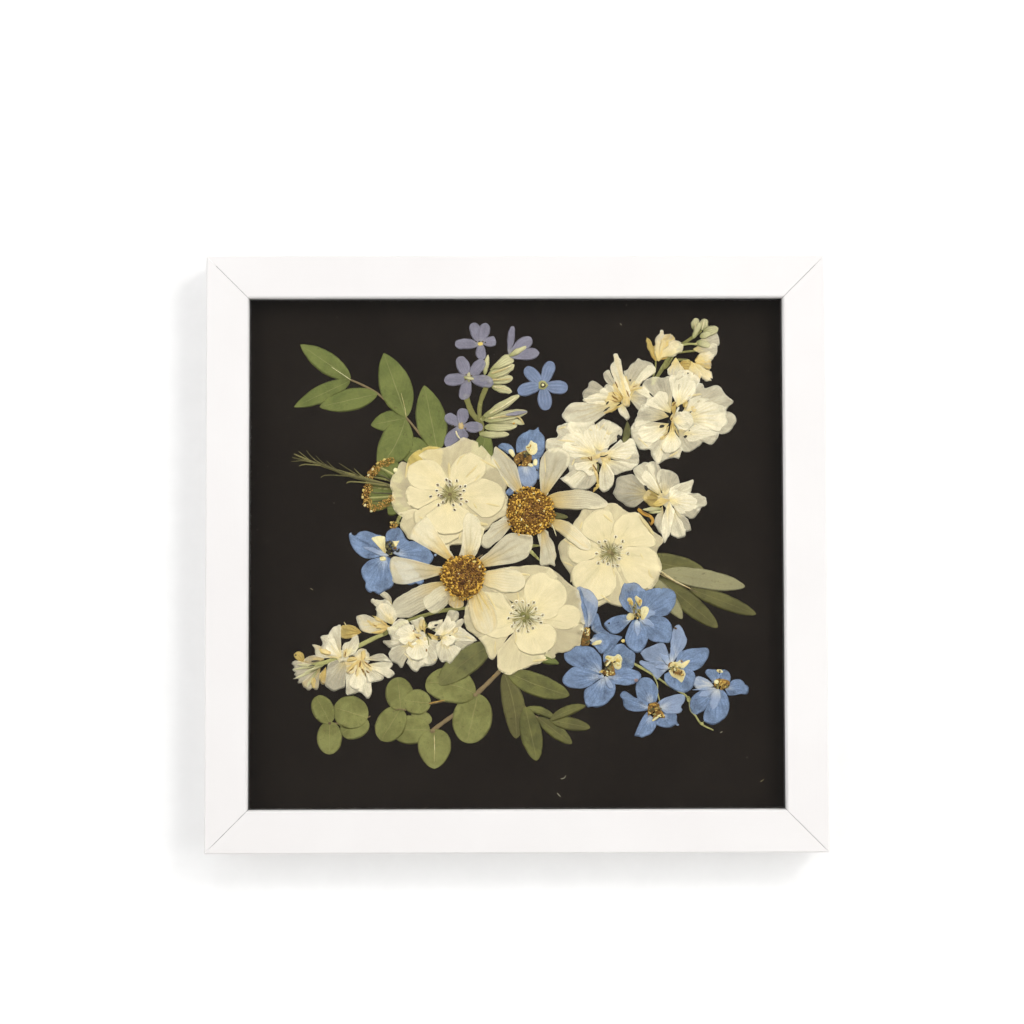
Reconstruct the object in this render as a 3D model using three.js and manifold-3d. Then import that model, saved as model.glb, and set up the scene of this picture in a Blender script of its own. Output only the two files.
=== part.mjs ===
// Pressed flower frame: a mitred white wooden frame, glass, a spacer, black card and a back board,
// with pressed flowers and leaves laid between the glass and the card.
//
// Millimetres, +Z up. The front faces -Y and the back of the rails lies on y = 0, so that plane is
// the wall. The origin is on the back of the top rail, at mid-width.

import * as THREE from 'three';
import Module from 'manifold-3d';
import { mergeVertices } from 'three/addons/utils/BufferGeometryUtils.js';

const wasm = await Module();
wasm.setup();

// ---------------------------------------------------------------- driving dimensions (mm)
const OPENING_W = 305;
const OPENING_H = 291;
const RAIL_FACE = 24;
const FRAME_DEPTH = 23;
const LIP_WIDTH = 6;
const LIP_THICK = 5;
const EDGE_CHAMFER = 0.8;
const MITRE_GAP = 0.2;

const GLASS_THICK = 2;
const SPACE_DEPTH = 3;
const CARD_THICK = 1.5;
const BOARD_THICK = 3;
const SHEET_CLEARANCE = 0.5;
const SPACER_SETBACK = 0.4;

const LAYER_PITCH = 0.5;
const SLAB = 0.4;
const PETAL = 0.28;
const JOIN_TOLERANCE = 0.01;

const TAB_WIDTH = 9;
const TAB_LENGTH = 13;
const TAB_THICK = 0.6;

const HANGER_LENGTH = 46;
const HANGER_HEIGHT = 9;
const HANGER_RISE = 2.2;
const HANGER_THICK = 0.8;
const HANGER_FOOT = 9;
const HANGER_TEETH = 7;
const HANGER_DROP = 16;
const RIVET_RADIUS = 2.2;
const RIVET_HEAD = 1.1;

// ---------------------------------------------------------------- derived positions
const OUTER_W = OPENING_W + 2 * RAIL_FACE;
const OUTER_H = OPENING_H + 2 * RAIL_FACE;
const RAIL_BODY = RAIL_FACE - LIP_WIDTH;
const SHEET_W = OPENING_W + 2 * LIP_WIDTH - 2 * SHEET_CLEARANCE;
const SHEET_H = OPENING_H + 2 * LIP_WIDTH - 2 * SHEET_CLEARANCE;
const CENTRE_Z = -(OUTER_H - RAIL_BODY) / 2;

const FRONT_Y = -FRAME_DEPTH;
const GLASS_FRONT_Y = FRONT_Y + LIP_THICK;
const GLASS_BACK_Y = GLASS_FRONT_Y + GLASS_THICK;
const CARD_FRONT_Y = GLASS_BACK_Y + SPACE_DEPTH;
const CARD_BACK_Y = CARD_FRONT_Y + CARD_THICK;
const BOARD_BACK_Y = CARD_BACK_Y + BOARD_THICK;

// ---------------------------------------------------------------- materials
function paint(color, roughness, metalness = 0) {
  return new THREE.MeshStandardMaterial({ color, roughness, metalness });
}

const whitePaint = paint(0xf6f3f0, 0.5);
const clearGlass = new THREE.MeshStandardMaterial({
  color: 0xf4f8f6, roughness: 0.02, transparent: true, opacity: 0.15,
});
const blackCard = paint(0x24211f, 0.9);
const blackSpacer = paint(0x1c1b1a, 0.85);
const hardboard = paint(0x6e4a2d, 0.8);
const zinc = paint(0xb4b2aa, 0.35, 1);
const leafGreen = paint(0x6f7d40, 0.75);
const oliveLeaf = paint(0x5f5f33, 0.75);
const eucalyptusGreen = paint(0x84884c, 0.8);
const creamPetal = paint(0xefe0b0, 0.7);
const paleDaisy = paint(0xd9d0ac, 0.7);
const whiteLarkspur = paint(0xece4cd, 0.7);
const bluePetal = paint(0x6f8cb5, 0.7);
const lilacPetal = paint(0x9590a8, 0.7);
const tweediaBlue = paint(0x7b93bd, 0.7);
const goldenHead = paint(0xb98a3a, 0.8);
const strawStem = paint(0x7c7a42, 0.8);

// ---------------------------------------------------------------- solids
function toSolid(geometry) {
  const bare = geometry.index ? geometry.toNonIndexed() : geometry.clone();
  bare.deleteAttribute('normal');
  bare.deleteAttribute('uv');
  const merged = mergeVertices(bare, 1e-5);
  return new wasm.Manifold(new wasm.Mesh({
    numProp: 3,
    vertProperties: new Float32Array(merged.attributes.position.array),
    triVerts: new Uint32Array(merged.index.array),
  }));
}

function toGeometry(solid) {
  const mesh = solid.getMesh();
  const geometry = new THREE.BufferGeometry();
  geometry.setAttribute('position', new THREE.BufferAttribute(mesh.vertProperties, 3));
  geometry.setIndex(new THREE.BufferAttribute(mesh.triVerts, 1));
  return geometry;
}

function box(x0, x1, y0, y1, z0, z1) {
  const geometry = new THREE.BoxGeometry(x1 - x0, y1 - y0, z1 - z0);
  return geometry.translate((x0 + x1) / 2, (y0 + y1) / 2, (z0 + z1) / 2);
}

// A flat piece: an outline in x, z pushed from backY towards the front by `thickness`.
function slab(outline, backY, thickness) {
  const ccw = THREE.ShapeUtils.isClockWise(outline) ? [...outline].reverse() : outline;
  const geometry = new THREE.ExtrudeGeometry(new THREE.Shape(ccw), {
    depth: thickness, bevelEnabled: false, curveSegments: 1,
  });
  return geometry.rotateX(Math.PI / 2).translate(0, backY, 0);
}

// The flat faces that the joined pieces share are merged into one, within JOIN_TOLERANCE.
function join(solids) {
  return solids.reduce((sum, solid) => sum.add(solid)).asOriginal().simplify(JOIN_TOLERANCE);
}

// ---------------------------------------------------------------- outlines of plant pieces
// Each form gives the half width along a blade as t^a (1-t)^b, t running from base to tip.
const FORM = {
  round: [0.7, 0.42],
  fan: [0.95, 0.36],
  oval: [0.5, 0.5],
  egg: [0.42, 0.62],
  leaf: [0.72, 0.85],
  lance: [0.6, 0.62],
  drop: [1.15, 0.5],
  cone: [0.9, 0.25],
};

function blade([bx, bz, tx, tz, width, form = 'round', bend = 0], steps) {
  const [a, b] = FORM[form];
  const peak = (a / (a + b)) ** a * (b / (a + b)) ** b;
  const axis = new THREE.Vector2(tx - bx, tz - bz);
  const side = new THREE.Vector2(-axis.y, axis.x).normalize();
  const left = [];
  const right = [];
  for (let i = 0; i <= steps; i++) {
    const t = (1 - Math.cos((Math.PI * i) / steps)) / 2;
    const half = (width / 2) * (t ** a * (1 - t) ** b / peak);
    const sway = bend * 4 * t * (1 - t);
    const spine = new THREE.Vector2(bx, bz).addScaledVector(axis, t).addScaledVector(side, sway);
    left.push(spine.clone().addScaledVector(side, half));
    if (i > 0 && i < steps) right.push(spine.clone().addScaledVector(side, -half));
  }
  return [...left, ...right.reverse()];
}

// A stem: a strip of even width that runs through its points and narrows to `tip` at the end.
function strand([width, tip, ...flat]) {
  const points = [];
  for (let i = 0; i < flat.length; i += 2) points.push(new THREE.Vector2(flat[i], flat[i + 1]));
  const last = points.length - 1;
  const left = [];
  const right = [];
  points.forEach((point, i) => {
    const along = points[Math.min(i + 1, last)].clone().sub(points[Math.max(i - 1, 0)]).normalize();
    const half = (width + ((tip - width) * i) / last) / 2;
    left.push(new THREE.Vector2(point.x - along.y * half, point.y + along.x * half));
    right.push(new THREE.Vector2(point.x + along.y * half, point.y - along.x * half));
  });
  return [...left, ...right.reverse()];
}

function star(x, z, outer, inner, points) {
  return Array.from({ length: points * 2 }, (_, i) => {
    const radius = i % 2 ? inner : outer;
    const angle = (Math.PI * i) / points + 0.2;
    return new THREE.Vector2(x + radius * Math.cos(angle), z + radius * Math.sin(angle));
  });
}

function disc(x, z, radius, corners) {
  return star(x, z, radius, radius, corners / 2);
}

// ---------------------------------------------------------------- the arrangement
// Sizes are in mm from the middle of the card, x to the right and z up.
// `level` counts the half-millimetre layers up from the card, in the order the pieces were laid.
// blades: [base x, base z, tip x, tip z, width, form, sideways bend]
// strands: [width, end width, x, z, x, z, ...]
// hearts: [x, z, outer radius, inner radius, points] for stamens, discs: [x, z, radius, corners]
const ARRANGEMENT = [
  {
    name: 'leaf_sprig_upper_left', level: 0, look: leafGreen, steps: 4, flat: true,
    blades: [
      [-95, 100, -124, 120, 12.5, 'leaf'], [-95.2, 99, -127.5, 84, 10.5, 'leaf'],
      [-79.5, 91.5, -113, 84, 13, 'leaf'], [-63, 78, -76, 115, 18.5, 'leaf'],
      [-45, 58, -52.7, 96.3, 17.5, 'leaf'], [-63, 77.5, -83.4, 73.5, 12, 'leaf'],
      [-50, 60, -68, 57, 16, 'leaf'], [-63.5, 77, -79, 48.5, 19, 'leaf', 2],
    ],
    strands: [[1.2, 1.6, -96, 100, -88, 96.5, -80, 92, -72, 85, -63, 77.5, -55, 68, -50, 62, -44, 56]],
  },
  {
    name: 'leaf_behind_rose', level: 0, look: leafGreen, steps: 4,
    blades: [[-22, 44, -17, 70.5, 13, 'leaf']],
  },
  {
    name: 'lilac_sprig', level: 1, look: lilacPetal, steps: 3, flat: true,
    blades: [
      [-4, 114, -1.8, 130.5, 4.2, 'round'], [-4, 113.5, 9, 123.5, 7.5, 'round'],
      [-4, 113, 13.3, 115, 7, 'round'], [-15, 105, -2, 112.5, 6.5, 'cone'],
      [-18, 102, -16, 114, 3, 'lance'], [-16, 101, -1, 108, 7, 'oval'],
      [-16, 99, -1.8, 100.5, 6, 'oval'], [-14, 96, -2.5, 92.5, 5, 'oval'],
      [-18, 78, 2, 90.5, 5, 'oval'], [-18, 76, 6.5, 81, 6, 'oval'],
      [-16, 75, 4.8, 74, 5, 'oval', 2], [-18, 72, 0.5, 73, 6, 'oval'],
      [-21, 68, -4, 68, 4.5, 'oval'],
    ],
    strands: [
      [3.6, 3.2, -29, 91, -27.5, 86, -25, 80, -20, 74, -20, 68],
      [3.4, 2.4, -14, 101, -18, 93, -20.5, 86, -21, 80, -20.5, 74],
      [4, 3, -20, 76, -12, 83, -4, 87], [4, 2, -21, 100, -15, 101, -10, 108, -3, 113],
    ],
  },
  {
    name: 'lilac_flower_top', level: 2, look: lilacPetal, steps: 3, flat: true,
    blades: [
      [-20.5, 120, -24.8, 132.3, 6.6], [-20, 120, -17, 132.2, 6.4], [-20.5, 120, -35, 120.3, 6.3],
      [-20, 120.5, -11.5, 122, 6.5, 'fan'], [-20.5, 121, -19.8, 111, 5.8],
    ],
    discs: [[-20.5, 120.4, 2.2, 8]],
  },
  {
    name: 'lilac_flower_middle', level: 3, look: lilacPetal, steps: 3, flat: true,
    blades: [
      [-27, 100, -32.5, 112.8, 7.5], [-27, 100.5, -18.5, 110.8, 7], [-27, 100.5, -13, 97.3, 7],
      [-27, 101, -30.5, 88, 6.8], [-26.5, 100.5, -41, 99, 7.3],
    ],
    discs: [[-27, 100.5, 2.4, 8]],
  },
  {
    name: 'lilac_flower_low', level: 2, look: lilacPetal, steps: 3, flat: true,
    blades: [
      [-31.5, 73, -40.5, 79, 6.5], [-31.5, 73, -40, 61, 7.5], [-31.5, 73, -30, 83, 7],
      [-31.5, 72.5, -30.5, 65, 7, 'fan'], [-32, 72.5, -19, 72, 6.4],
    ],
    discs: [[-31.5, 73, 2.2, 8]],
  },
  {
    name: 'tweedia_blue', level: 0, look: tweediaBlue, steps: 4, flat: true,
    blades: [
      [15.5, 96, 5.5, 106.5, 7.4], [15.5, 96, 20.5, 110, 7.2], [15.5, 96, 29.8, 94.5, 7.9],
      [15.5, 96, 17.3, 82, 8.2], [15.5, 96.5, 1, 92.5, 7.7],
    ],
    discs: [[15.5, 96.2, 3, 10]],
  },
  {
    name: 'delphinium_top', level: 2, look: bluePetal, steps: 4, flat: true,
    blades: [
      [3, 54, -11.5, 60, 9], [5, 52, -6.5, 34, 9], [6, 54, 4.5, 69.5, 13],
      [7, 50, 14.5, 44, 9], [8, 52, 14.5, 57, 8], [6, 54, 12.5, 72, 15], [5.5, 53, 7, 36.8, 13],
    ],
    discs: [[5, 54.5, 4.5, 8], [8.5, 60.5, 3.4, 8]],
  },
  {
    name: 'larkspur_tip_upper', level: 0, look: whiteLarkspur, steps: 3, flat: true,
    blades: [
      [81, 110, 75.5, 123.5, 4.5, 'lance'], [82, 110, 84, 128.2, 8], [83, 111, 92, 125.5, 9],
      [83, 112, 95.3, 120.5, 6], [103, 128, 104, 135, 5, 'oval'], [107, 128, 109.5, 134.5, 5, 'oval'],
      [108, 126, 116.5, 129, 7, 'oval'], [103, 120, 117, 122.8, 8], [102, 117, 116, 116, 9],
      [103, 110, 113.5, 113.5, 7], [103, 109, 112.5, 107.5, 6], [102, 109, 112.5, 99.5, 6],
      [101, 110, 104.5, 99, 6.5], [94, 108, 103.5, 106, 7, 'oval'], [92, 112, 92, 101, 9, 'cone'],
    ],
    strands: [
      [2.4, 1.8, 78, 96, 81, 100.5, 85, 107, 90, 115, 95, 119, 102, 124, 107, 128],
      [1.2, 1.2, 90, 114.5, 97, 115.4, 104, 116], [1.4, 1.4, 91, 110.5, 95, 110.8, 100, 110.5],
      [1.2, 1.2, 94, 118.8, 100, 120, 106, 119.5], [1.2, 1.2, 102, 123.5, 105, 128, 105, 131],
      [1.2, 1.2, 84, 106, 82, 109, 81, 113],
    ],
  },
  {
    name: 'larkspur_floret_1', level: 1, look: whiteLarkspur, steps: 3,
    blades: [
      [60, 88, 52, 104, 5.5], [61, 88, 38, 91, 13], [60, 88, 27, 79, 15, 'fan'],
      [61, 88, 57.5, 114.5, 6.5, 'oval'], [61, 90, 79.5, 106.5, 13, 'fan'], [62, 92, 66, 106, 6],
      [61, 88, 80, 90, 13], [61, 90, 73, 80.5, 9], [60, 88, 47, 77, 8], [61, 90, 65, 75.5, 5],
    ],
    discs: [[61, 89, 5, 8]],
  },
  {
    name: 'larkspur_floret_2', level: 2, look: whiteLarkspur, steps: 3,
    blades: [
      [91, 77, 78, 102, 17, 'fan'], [91, 77, 97, 105, 19, 'fan'], [91, 77, 109, 96, 17],
      [92, 76, 122, 91, 21, 'fan'], [92, 76, 127, 75, 20, 'fan'], [92, 75, 113, 62.5, 16, 'fan'],
      [90, 75, 102, 57.5, 14, 'fan'], [89, 74, 88, 54, 14, 'fan'], [88, 74, 78, 50.5, 13, 'fan'],
      [88, 76, 68, 63, 20, 'fan'], [88, 78, 70, 82, 18],
    ],
    discs: [[91, 77, 7, 10]],
  },
  {
    name: 'larkspur_floret_3', level: 3, look: whiteLarkspur, steps: 3,
    blades: [
      [47, 56, 33, 78, 18, 'fan'], [47, 57, 16.5, 66, 18], [47, 56, 24, 73, 17],
      [48, 56, 53, 77, 17, 'fan'], [49, 56, 69, 60, 15, 'fan'], [49, 55, 69, 48.5, 15, 'fan'],
      [48, 54, 31, 37.5, 17, 'fan'], [47, 52, 42, 36.5, 12, 'fan'], [50, 54, 50.5, 34.7, 9],
    ],
    strands: [[3.2, 2.4, 56, 60, 61.5, 66, 63.5, 76]],
    discs: [[48, 55, 7, 10]],
  },
  {
    name: 'larkspur_floret_4', level: 1, look: whiteLarkspur, steps: 3,
    blades: [
      [84, 31, 56.5, 37, 19, 'fan'], [84, 31, 71, 49.5, 13], [85, 31, 80, 50, 11],
      [85, 31, 89.5, 47.5, 15, 'fan'], [87, 30, 101.5, 40.5, 10], [86, 30, 109.5, 29, 14],
      [87, 29, 104, 20, 12], [87, 28, 101, 12.5, 7], [87, 30, 94, 8, 13, 'fan'],
      [86, 29, 85, 5, 9], [85, 29, 79, 12, 12],
    ],
    strands: [[2.4, 2, 84, 29, 78, 25.5, 73.5, 22.5, 77, 16]],
    discs: [[86, 30, 5, 8]],
  },
  {
    name: 'yarrow_head', level: 1, look: goldenHead, steps: 3, flat: true,
    blades: [
      [-66, 42, -81, 49.5, 9, 'cone'], [-66, 40, -73, 51, 10, 'cone'], [-66, 34, -84.5, 35, 12, 'cone'],
      [-66, 30, -84.5, 28, 9, 'cone'], [-64, 26, -74, 25.5, 9, 'cone'],
    ],
    strands: [
      [4, 4, -80, 50, -76, 52, -71.5, 53], [4, 4, -84.5, 42.5, -82.5, 46.5, -79.2, 49.5],
      [5.4, 5, -84.5, 38.5, -86, 33, -84, 26], [3.6, 3.4, -79.5, 29.5, -76.5, 26.5, -71.5, 31.5],
      [3, 2.4, -75, 27.5, -78, 25, -81, 25.6], [3.4, 2.6, -64, 25, -65, 36, -66, 47, -70.5, 47.8],
      [3.4, 2.8, -62, 26, -67, 20.5, -69, 14.5], [1.4, 1.2, -66, 17, -72, 17.6],
    ],
  },
  {
    name: 'feather_grass', level: 2, look: strawStem, steps: 4,
    strands: [
      [3.4, 0.9, -68, 37, -78, 39.8, -90, 43.6, -103, 47.4, -115, 51.6, -127.5, 57],
      [2.2, 0.8, -72, 38, -85, 41.4, -98, 45, -113, 51, -128.5, 55],
      [1, 0.6, -108, 49.5, -114, 52.5, -118, 56, -120.3, 59], [1, 0.6, -98, 46, -104, 48.5, -108.8, 53],
      [1, 0.6, -90, 44, -96, 48, -101.7, 51.6], [1, 0.6, -86, 42.5, -90, 45.5, -93, 48.7],
      [1, 0.7, -112, 50.2, -121, 51, -124.6, 50], [1, 0.7, -92, 43.6, -102, 44.6, -110, 44.6, -112, 43.2],
      [1.4, 0.8, -74, 38.6, -85, 40.2, -95, 41, -97.3, 40],
    ],
  },
  {
    name: 'delphinium_left', level: 2, look: bluePetal, steps: 4, flat: true,
    blades: [
      [-74, 1, -53, -16.5, 8, 'fan'], [-71, 2, -70, 14.5, 12, 'fan'], [-72, 1, -47.2, -1.5, 13],
      [-68, 4, -55, 7.5, 7], [-75, 0, -96.5, 7.5, 16], [-75, 2, -80, -24, 19],
    ],
    discs: [[-73, 3, 4.6, 8], [-78.5, 6, 3.2, 8]],
  },
  {
    name: 'rose_upper_left', level: 3, look: creamPetal, steps: 5,
    blades: [
      [-39, 33, -71, 23, 22], [-39, 34, -72.4, 38, 24], [-38, 33, -58, 9, 27], [-38, 34, -51, 62, 26],
      [-37, 35, -12, 48, 27], [-36, 32, -5, 28, 28, 'fan'], [-37, 32, -35, 2.5, 28, 'fan'],
      [-36, 31, -14, 9, 24, 'fan'], [-38, 35, -30, 66.5, 30, 'fan'], [-39, 35, -61, 51, 23],
    ],
    hearts: [[-38, 34, 9, 4, 11]],
  },
  {
    name: 'rose_right', level: 2, look: creamPetal, steps: 5,
    blades: [
      [53, 1, 26, 3, 20, 'fan'], [54, 2, 40, 26, 26, 'fan'], [55, 1, 84.3, 9, 19],
      [55, 0, 57, -30.5, 28, 'fan'], [56, -1, 80, -18, 20, 'fan'], [54, 2, 58, 27, 24, 'fan'],
      [55, 3, 70, 23, 19, 'fan'], [55, -1, 83.4, -6, 22], [52, -2, 31, -11, 22], [53, -2, 46, -30, 27, 'fan'],
    ],
    hearts: [[54, 0, 8, 3.4, 10]],
  },
  {
    name: 'rose_lower', level: 4, look: creamPetal, steps: 5,
    blades: [
      [4, -37, -30, -36, 30, 'fan'], [4, -35, -13, -10.5, 24, 'fan'], [5, -35, 4, -7.3, 26, 'fan'],
      [6, -36, 31, -18.5, 21], [7, -38, 33, -53, 24, 'fan'], [3, -39, -15, -61.8, 18],
      [4, -39, -6, -70, 24, 'fan'], [7, -37, 38.8, -39, 24, 'fan'], [6, -36, 17, -11.5, 25, 'fan'],
      [6, -39, 12, -65, 23, 'fan'],
    ],
    hearts: [[5, -36.5, 10, 4.6, 12]],
  },
  {
    name: 'daisy_upper', level: 5, look: paleDaisy, steps: 5, flat: true,
    blades: [
      [3, 32, -16, 59, 13, 'fan'], [13, 33, 25, 61, 16, 'fan'], [18, 29.5, 52.5, 28, 11.5, 'oval', 1.5],
      [17, 20, 42, 2, 9, 'round', 2], [16, 15, 29, -16, 10, 'round', -1], [14, 14, 17, -8, 8],
      [7, 14, -16.5, -5.2, 15, 'round', -2], [-1, 19, -19, 3.4, 12], [18, 22, 29.5, 20.3, 3.6, 'oval'],
    ],
    dome: [8, 23.5, 14],
  },
  {
    name: 'daisy_lower', level: 5, look: paleDaisy, steps: 5, flat: true,
    blades: [
      [-36, -8, -55, 18, 14], [-28, -6, -26, 21, 11], [-38, -10.5, -72.6, -10, 16.5, 'drop', -1],
      [-38, -17, -71, -34, 14.5], [-36, -18, -51.5, -31.5, 13, 'fan'], [-33, -20, -35, -31.5, 9],
      [-25, -19, -16, -46, 15], [-22, -14, 5, -17, 14],
    ],
    dome: [-30.5, -13.5, 12.8],
  },
  {
    name: 'leaf_sprig_right', level: 0, look: oliveLeaf, steps: 4, flat: true,
    blades: [
      [70, -4, 108, -11, 13, 'lance'], [83, -11, 131, -19.6, 11.5, 'lance'],
      [99, -20.6, 137.3, -35.5, 9, 'lance'], [81, -14, 115.2, -43, 11.5, 'lance'],
      [79, -15, 95, -38, 8.5, 'lance'],
    ],
    strands: [[2.4, 1.2, 74, -6, 83, -12, 92, -17, 101, -21.4], [2, 2, 76, -8, 80, -14, 82, -17]],
  },
  {
    name: 'delphinium_1', level: 3, look: bluePetal, steps: 4, flat: true,
    blades: [
      [42, -46, 36, -19, 13, 'round', -1], [43, -44, 45, -23, 11], [42, -47, 60.8, -48, 10],
      [42, -49, 50.5, -57.5, 10], [42, -48, 49, -38, 9],
    ],
    discs: [[40, -45.5, 3, 8], [39.8, -50.5, 3, 8]],
  },
  {
    name: 'delphinium_2', level: 4, look: bluePetal, steps: 4, flat: true,
    blades: [
      [67, -37, 50, -41.5, 11.5], [68, -33, 63, -17, 15], [70, -34, 91.6, -25.5, 17],
      [70, -36, 85.5, -51.5, 16.5, 'fan'], [68.5, -35, 68.5, -57.7, 13],
    ],
    discs: [[68, -33, 4, 8], [65, -27.5, 2.2, 6], [70.6, -27.5, 2.4, 6]],
  },
  {
    name: 'delphinium_3', level: 2, look: bluePetal, steps: 4, flat: true,
    blades: [
      [51, -68, 27.5, -58.5, 13.5], [51, -70, 26.5, -73.5, 13.5], [53, -69, 71.5, -71.5, 11],
      [54, -66, 60.5, -52.5, 18, 'fan'], [51, -70, 46, -89, 18, 'fan'],
    ],
    discs: [[53.5, -65, 5.5, 8], [57, -62, 3.6, 8]],
  },
  {
    name: 'delphinium_4', level: 3, look: bluePetal, steps: 4, flat: true,
    blades: [
      [89, -65, 69.8, -62.5, 10], [88, -64, 78, -53.5, 15, 'fan'], [89.5, -63, 92.5, -41.5, 9.5, 'oval'],
      [92, -64, 109.8, -56, 13], [91, -66, 95, -79.8, 17, 'fan'], [88, -65, 80.5, -72.5, 7, 'lance'],
    ],
    discs: [[91, -65.5, 5, 8], [94, -70, 3, 8]],
  },
  {
    name: 'delphinium_5', level: 1, look: bluePetal, steps: 4, flat: true,
    blades: [
      [79, -91, 74, -71, 12, 'oval'], [79, -91, 59, -80.5, 9, 'round', -1], [80, -91, 96.5, -84.5, 12, 'fan'],
      [80, -91, 88.5, -100, 12, 'fan'], [79, -92, 70, -105.5, 11.5, 'fan'],
    ],
    discs: [[79.5, -91, 4.8, 8]],
  },
  {
    name: 'delphinium_6', level: 2, look: bluePetal, steps: 4, flat: true,
    blades: [
      [116, -75, 112, -66.3, 12, 'fan'], [117, -75, 121, -68, 8], [118, -77, 132.8, -78.5, 9.5],
      [114, -76, 101, -75, 6.5], [114, -77, 100.5, -90, 14], [115, -77, 113.5, -98.7, 17, 'fan'],
    ],
    discs: [[118, -75.5, 4.6, 8]],
  },
  {
    name: 'delphinium_stem', level: 0, look: strawStem, steps: 4,
    strands: [
      [2.4, 1.2, 60, -59, 67, -63.4, 77, -69.2, 87, -76, 95, -80.6, 99, -85, 102, -92.5, 105.5, -98, 112.5, -101.6],
      [1.2, 1, 78, -70, 80.2, -77, 81.6, -85], [1, 0.8, 104.6, -97, 107.4, -96.2],
    ],
  },
  {
    name: 'larkspur_floret_5', level: 1, look: whiteLarkspur, steps: 3, flat: true,
    blades: [
      [-73, -33, -77.5, -21.8, 6], [-73, -41, -83.5, -26, 11], [-73, -42, -72.5, -26.5, 12, 'fan'],
      [-72, -42, -91.5, -38, 11], [-73, -43, -87, -46.5, 5], [-72, -41, -66, -36, 8],
    ],
    discs: [[-74, -40, 4, 8]],
  },
  {
    name: 'larkspur_floret_6', level: 2, look: whiteLarkspur, steps: 3, flat: true,
    blades: [
      [-100, -60, -116.8, -52.3, 8], [-100, -60, -112, -49, 12], [-100, -60, -103, -41, 13],
      [-88.8, -45, -101.8, -45, 8.5, 'egg'], [-98, -60, -92, -47.5, 9],
    ],
    discs: [[-100, -59, 4, 8]],
  },
  {
    name: 'larkspur_floret_7', level: 1, look: whiteLarkspur, steps: 3, flat: true,
    blades: [
      [-99, -60, -104, -79, 13.5], [-89, -63, -95.5, -81, 10, 'fan'], [-89, -62, -85, -83, 14, 'fan'],
      [-90, -62, -71, -66, 16, 'fan'], [-88, -63, -76, -58, 10], [-90, -63, -86, -54.5, 8],
      [-91, -61, -101, -61, 6],
    ],
    discs: [[-90, -62, 5, 8]],
  },
  {
    name: 'larkspur_tip_lower', level: 0, look: whiteLarkspur, steps: 3, flat: true,
    blades: [
      [-123, -63, -124.5, -56.5, 6, 'oval'], [-106, -61, -122.5, -62, 8, 'oval'],
      [-112, -65, -128, -63, 7], [-112, -66, -127, -69, 7], [-112, -66, -125, -74, 7],
      [-112, -66, -119.5, -78.6, 7, 'fan'], [-112, -66, -115, -77.8, 6.5, 'fan'],
      [-108, -64, -111.5, -74.5, 4.5],
    ],
    strands: [
      [2.6, 2.4, -118, -64, -108, -62, -98, -57, -90, -53, -82, -49, -74, -45.5],
      [2.2, 2, -76, -46.5, -66, -40.6, -58, -37.4, -48, -34.4, -38, -32.4, -27, -31.5],
      [1.6, 1.2, -54, -36.4, -51, -42, -44, -45],
    ],
  },
  {
    name: 'larkspur_floret_8', level: 2, look: whiteLarkspur, steps: 3, flat: true,
    blades: [
      [-58, -47, -74, -44, 12], [-60, -50, -76.8, -51.5, 7], [-58, -46, -66, -38, 10],
      [-56, -47, -54, -37, 9], [-58, -50, -68, -64.5, 14, 'fan'], [-56, -49, -57.5, -68, 14, 'fan'],
      [-54, -48, -49, -64.5, 13, 'fan'],
    ],
    discs: [[-57, -49, 5, 8]],
  },
  {
    name: 'larkspur_floret_9', level: 3, look: whiteLarkspur, steps: 3, flat: true,
    blades: [
      [-42, -48, -36.5, -32.5, 11.5, 'fan'], [-42, -48, -30, -38, 7], [-42, -48, -22, -50.7, 9],
      [-43, -48, -38, -62.8, 16, 'fan'], [-40, -48, -30, -54.5, 9], [-44, -48, -50, -45.5, 4],
    ],
    discs: [[-41, -48.5, 4, 8]],
  },
  {
    name: 'dark_leaf_lower', level: 2, look: oliveLeaf, steps: 6,
    blades: [[-14, -52, -44.6, -75, 15.5, 'lance', -1]],
  },
  {
    name: 'leaf_sprig_lower', level: 0, look: leafGreen, steps: 4, flat: true,
    blades: [
      [-7, -69, -0.2, -106, 12.8, 'lance', 2], [-5.5, -68, 30.2, -81.5, 13, 'lance', -1],
      [5, -88, 11.5, -118.6, 12.3, 'lance'], [12, -94, 31.5, -109, 8, 'lance'],
      [5.5, -88.5, 22, -94.5, 4.8, 'lance', 1], [19, -95.5, 42, -100, 7.6, 'lance'],
      [19, -95.5, 39.3, -87.4, 6, 'lance', 1],
    ],
    strands: [[1.4, 1, -9, -66, -5, -71, 1, -82, 5.5, -89, 12, -94, 20, -95.6]],
  },
  {
    name: 'leaf_tip_lower', level: 0, look: leafGreen, steps: 4,
    blades: [[4, -56, 24.2, -63.4, 6, 'lance']],
  },
  {
    name: 'eucalyptus_left', level: 0, look: eucalyptusGreen, steps: 4, flat: true,
    blades: [
      [-84.6, -96, -100, -101, 14, 'oval', -1], [-106.5, -97, -114.5, -81.6, 12.6, 'oval'],
      [-106.8, -96, -106.9, -114.8, 14.4, 'oval'], [-85, -94, -104.4, -86, 17, 'oval'],
    ],
    strands: [[1.2, 1, -112.5, -94.8, -106.5, -97.2, -100, -97, -92, -96, -86, -94, -83.4, -93]],
  },
  {
    name: 'eucalyptus_middle', level: 0, look: eucalyptusGreen, steps: 4, flat: true,
    blades: [
      [-66, -90, -68, -71, 16, 'oval'], [-66, -88.5, -77.5, -106.8, 17, 'oval'],
      [-49.5, -101, -71.4, -101, 16.6, 'oval'], [-49, -86, -64.7, -84.2, 14.6, 'oval'],
      [-48.5, -96, -60, -92, 8, 'oval'],
    ],
    strands: [[1.4, 1.4, -72, -86, -66, -89.2, -60, -88]],
  },
  {
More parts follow.
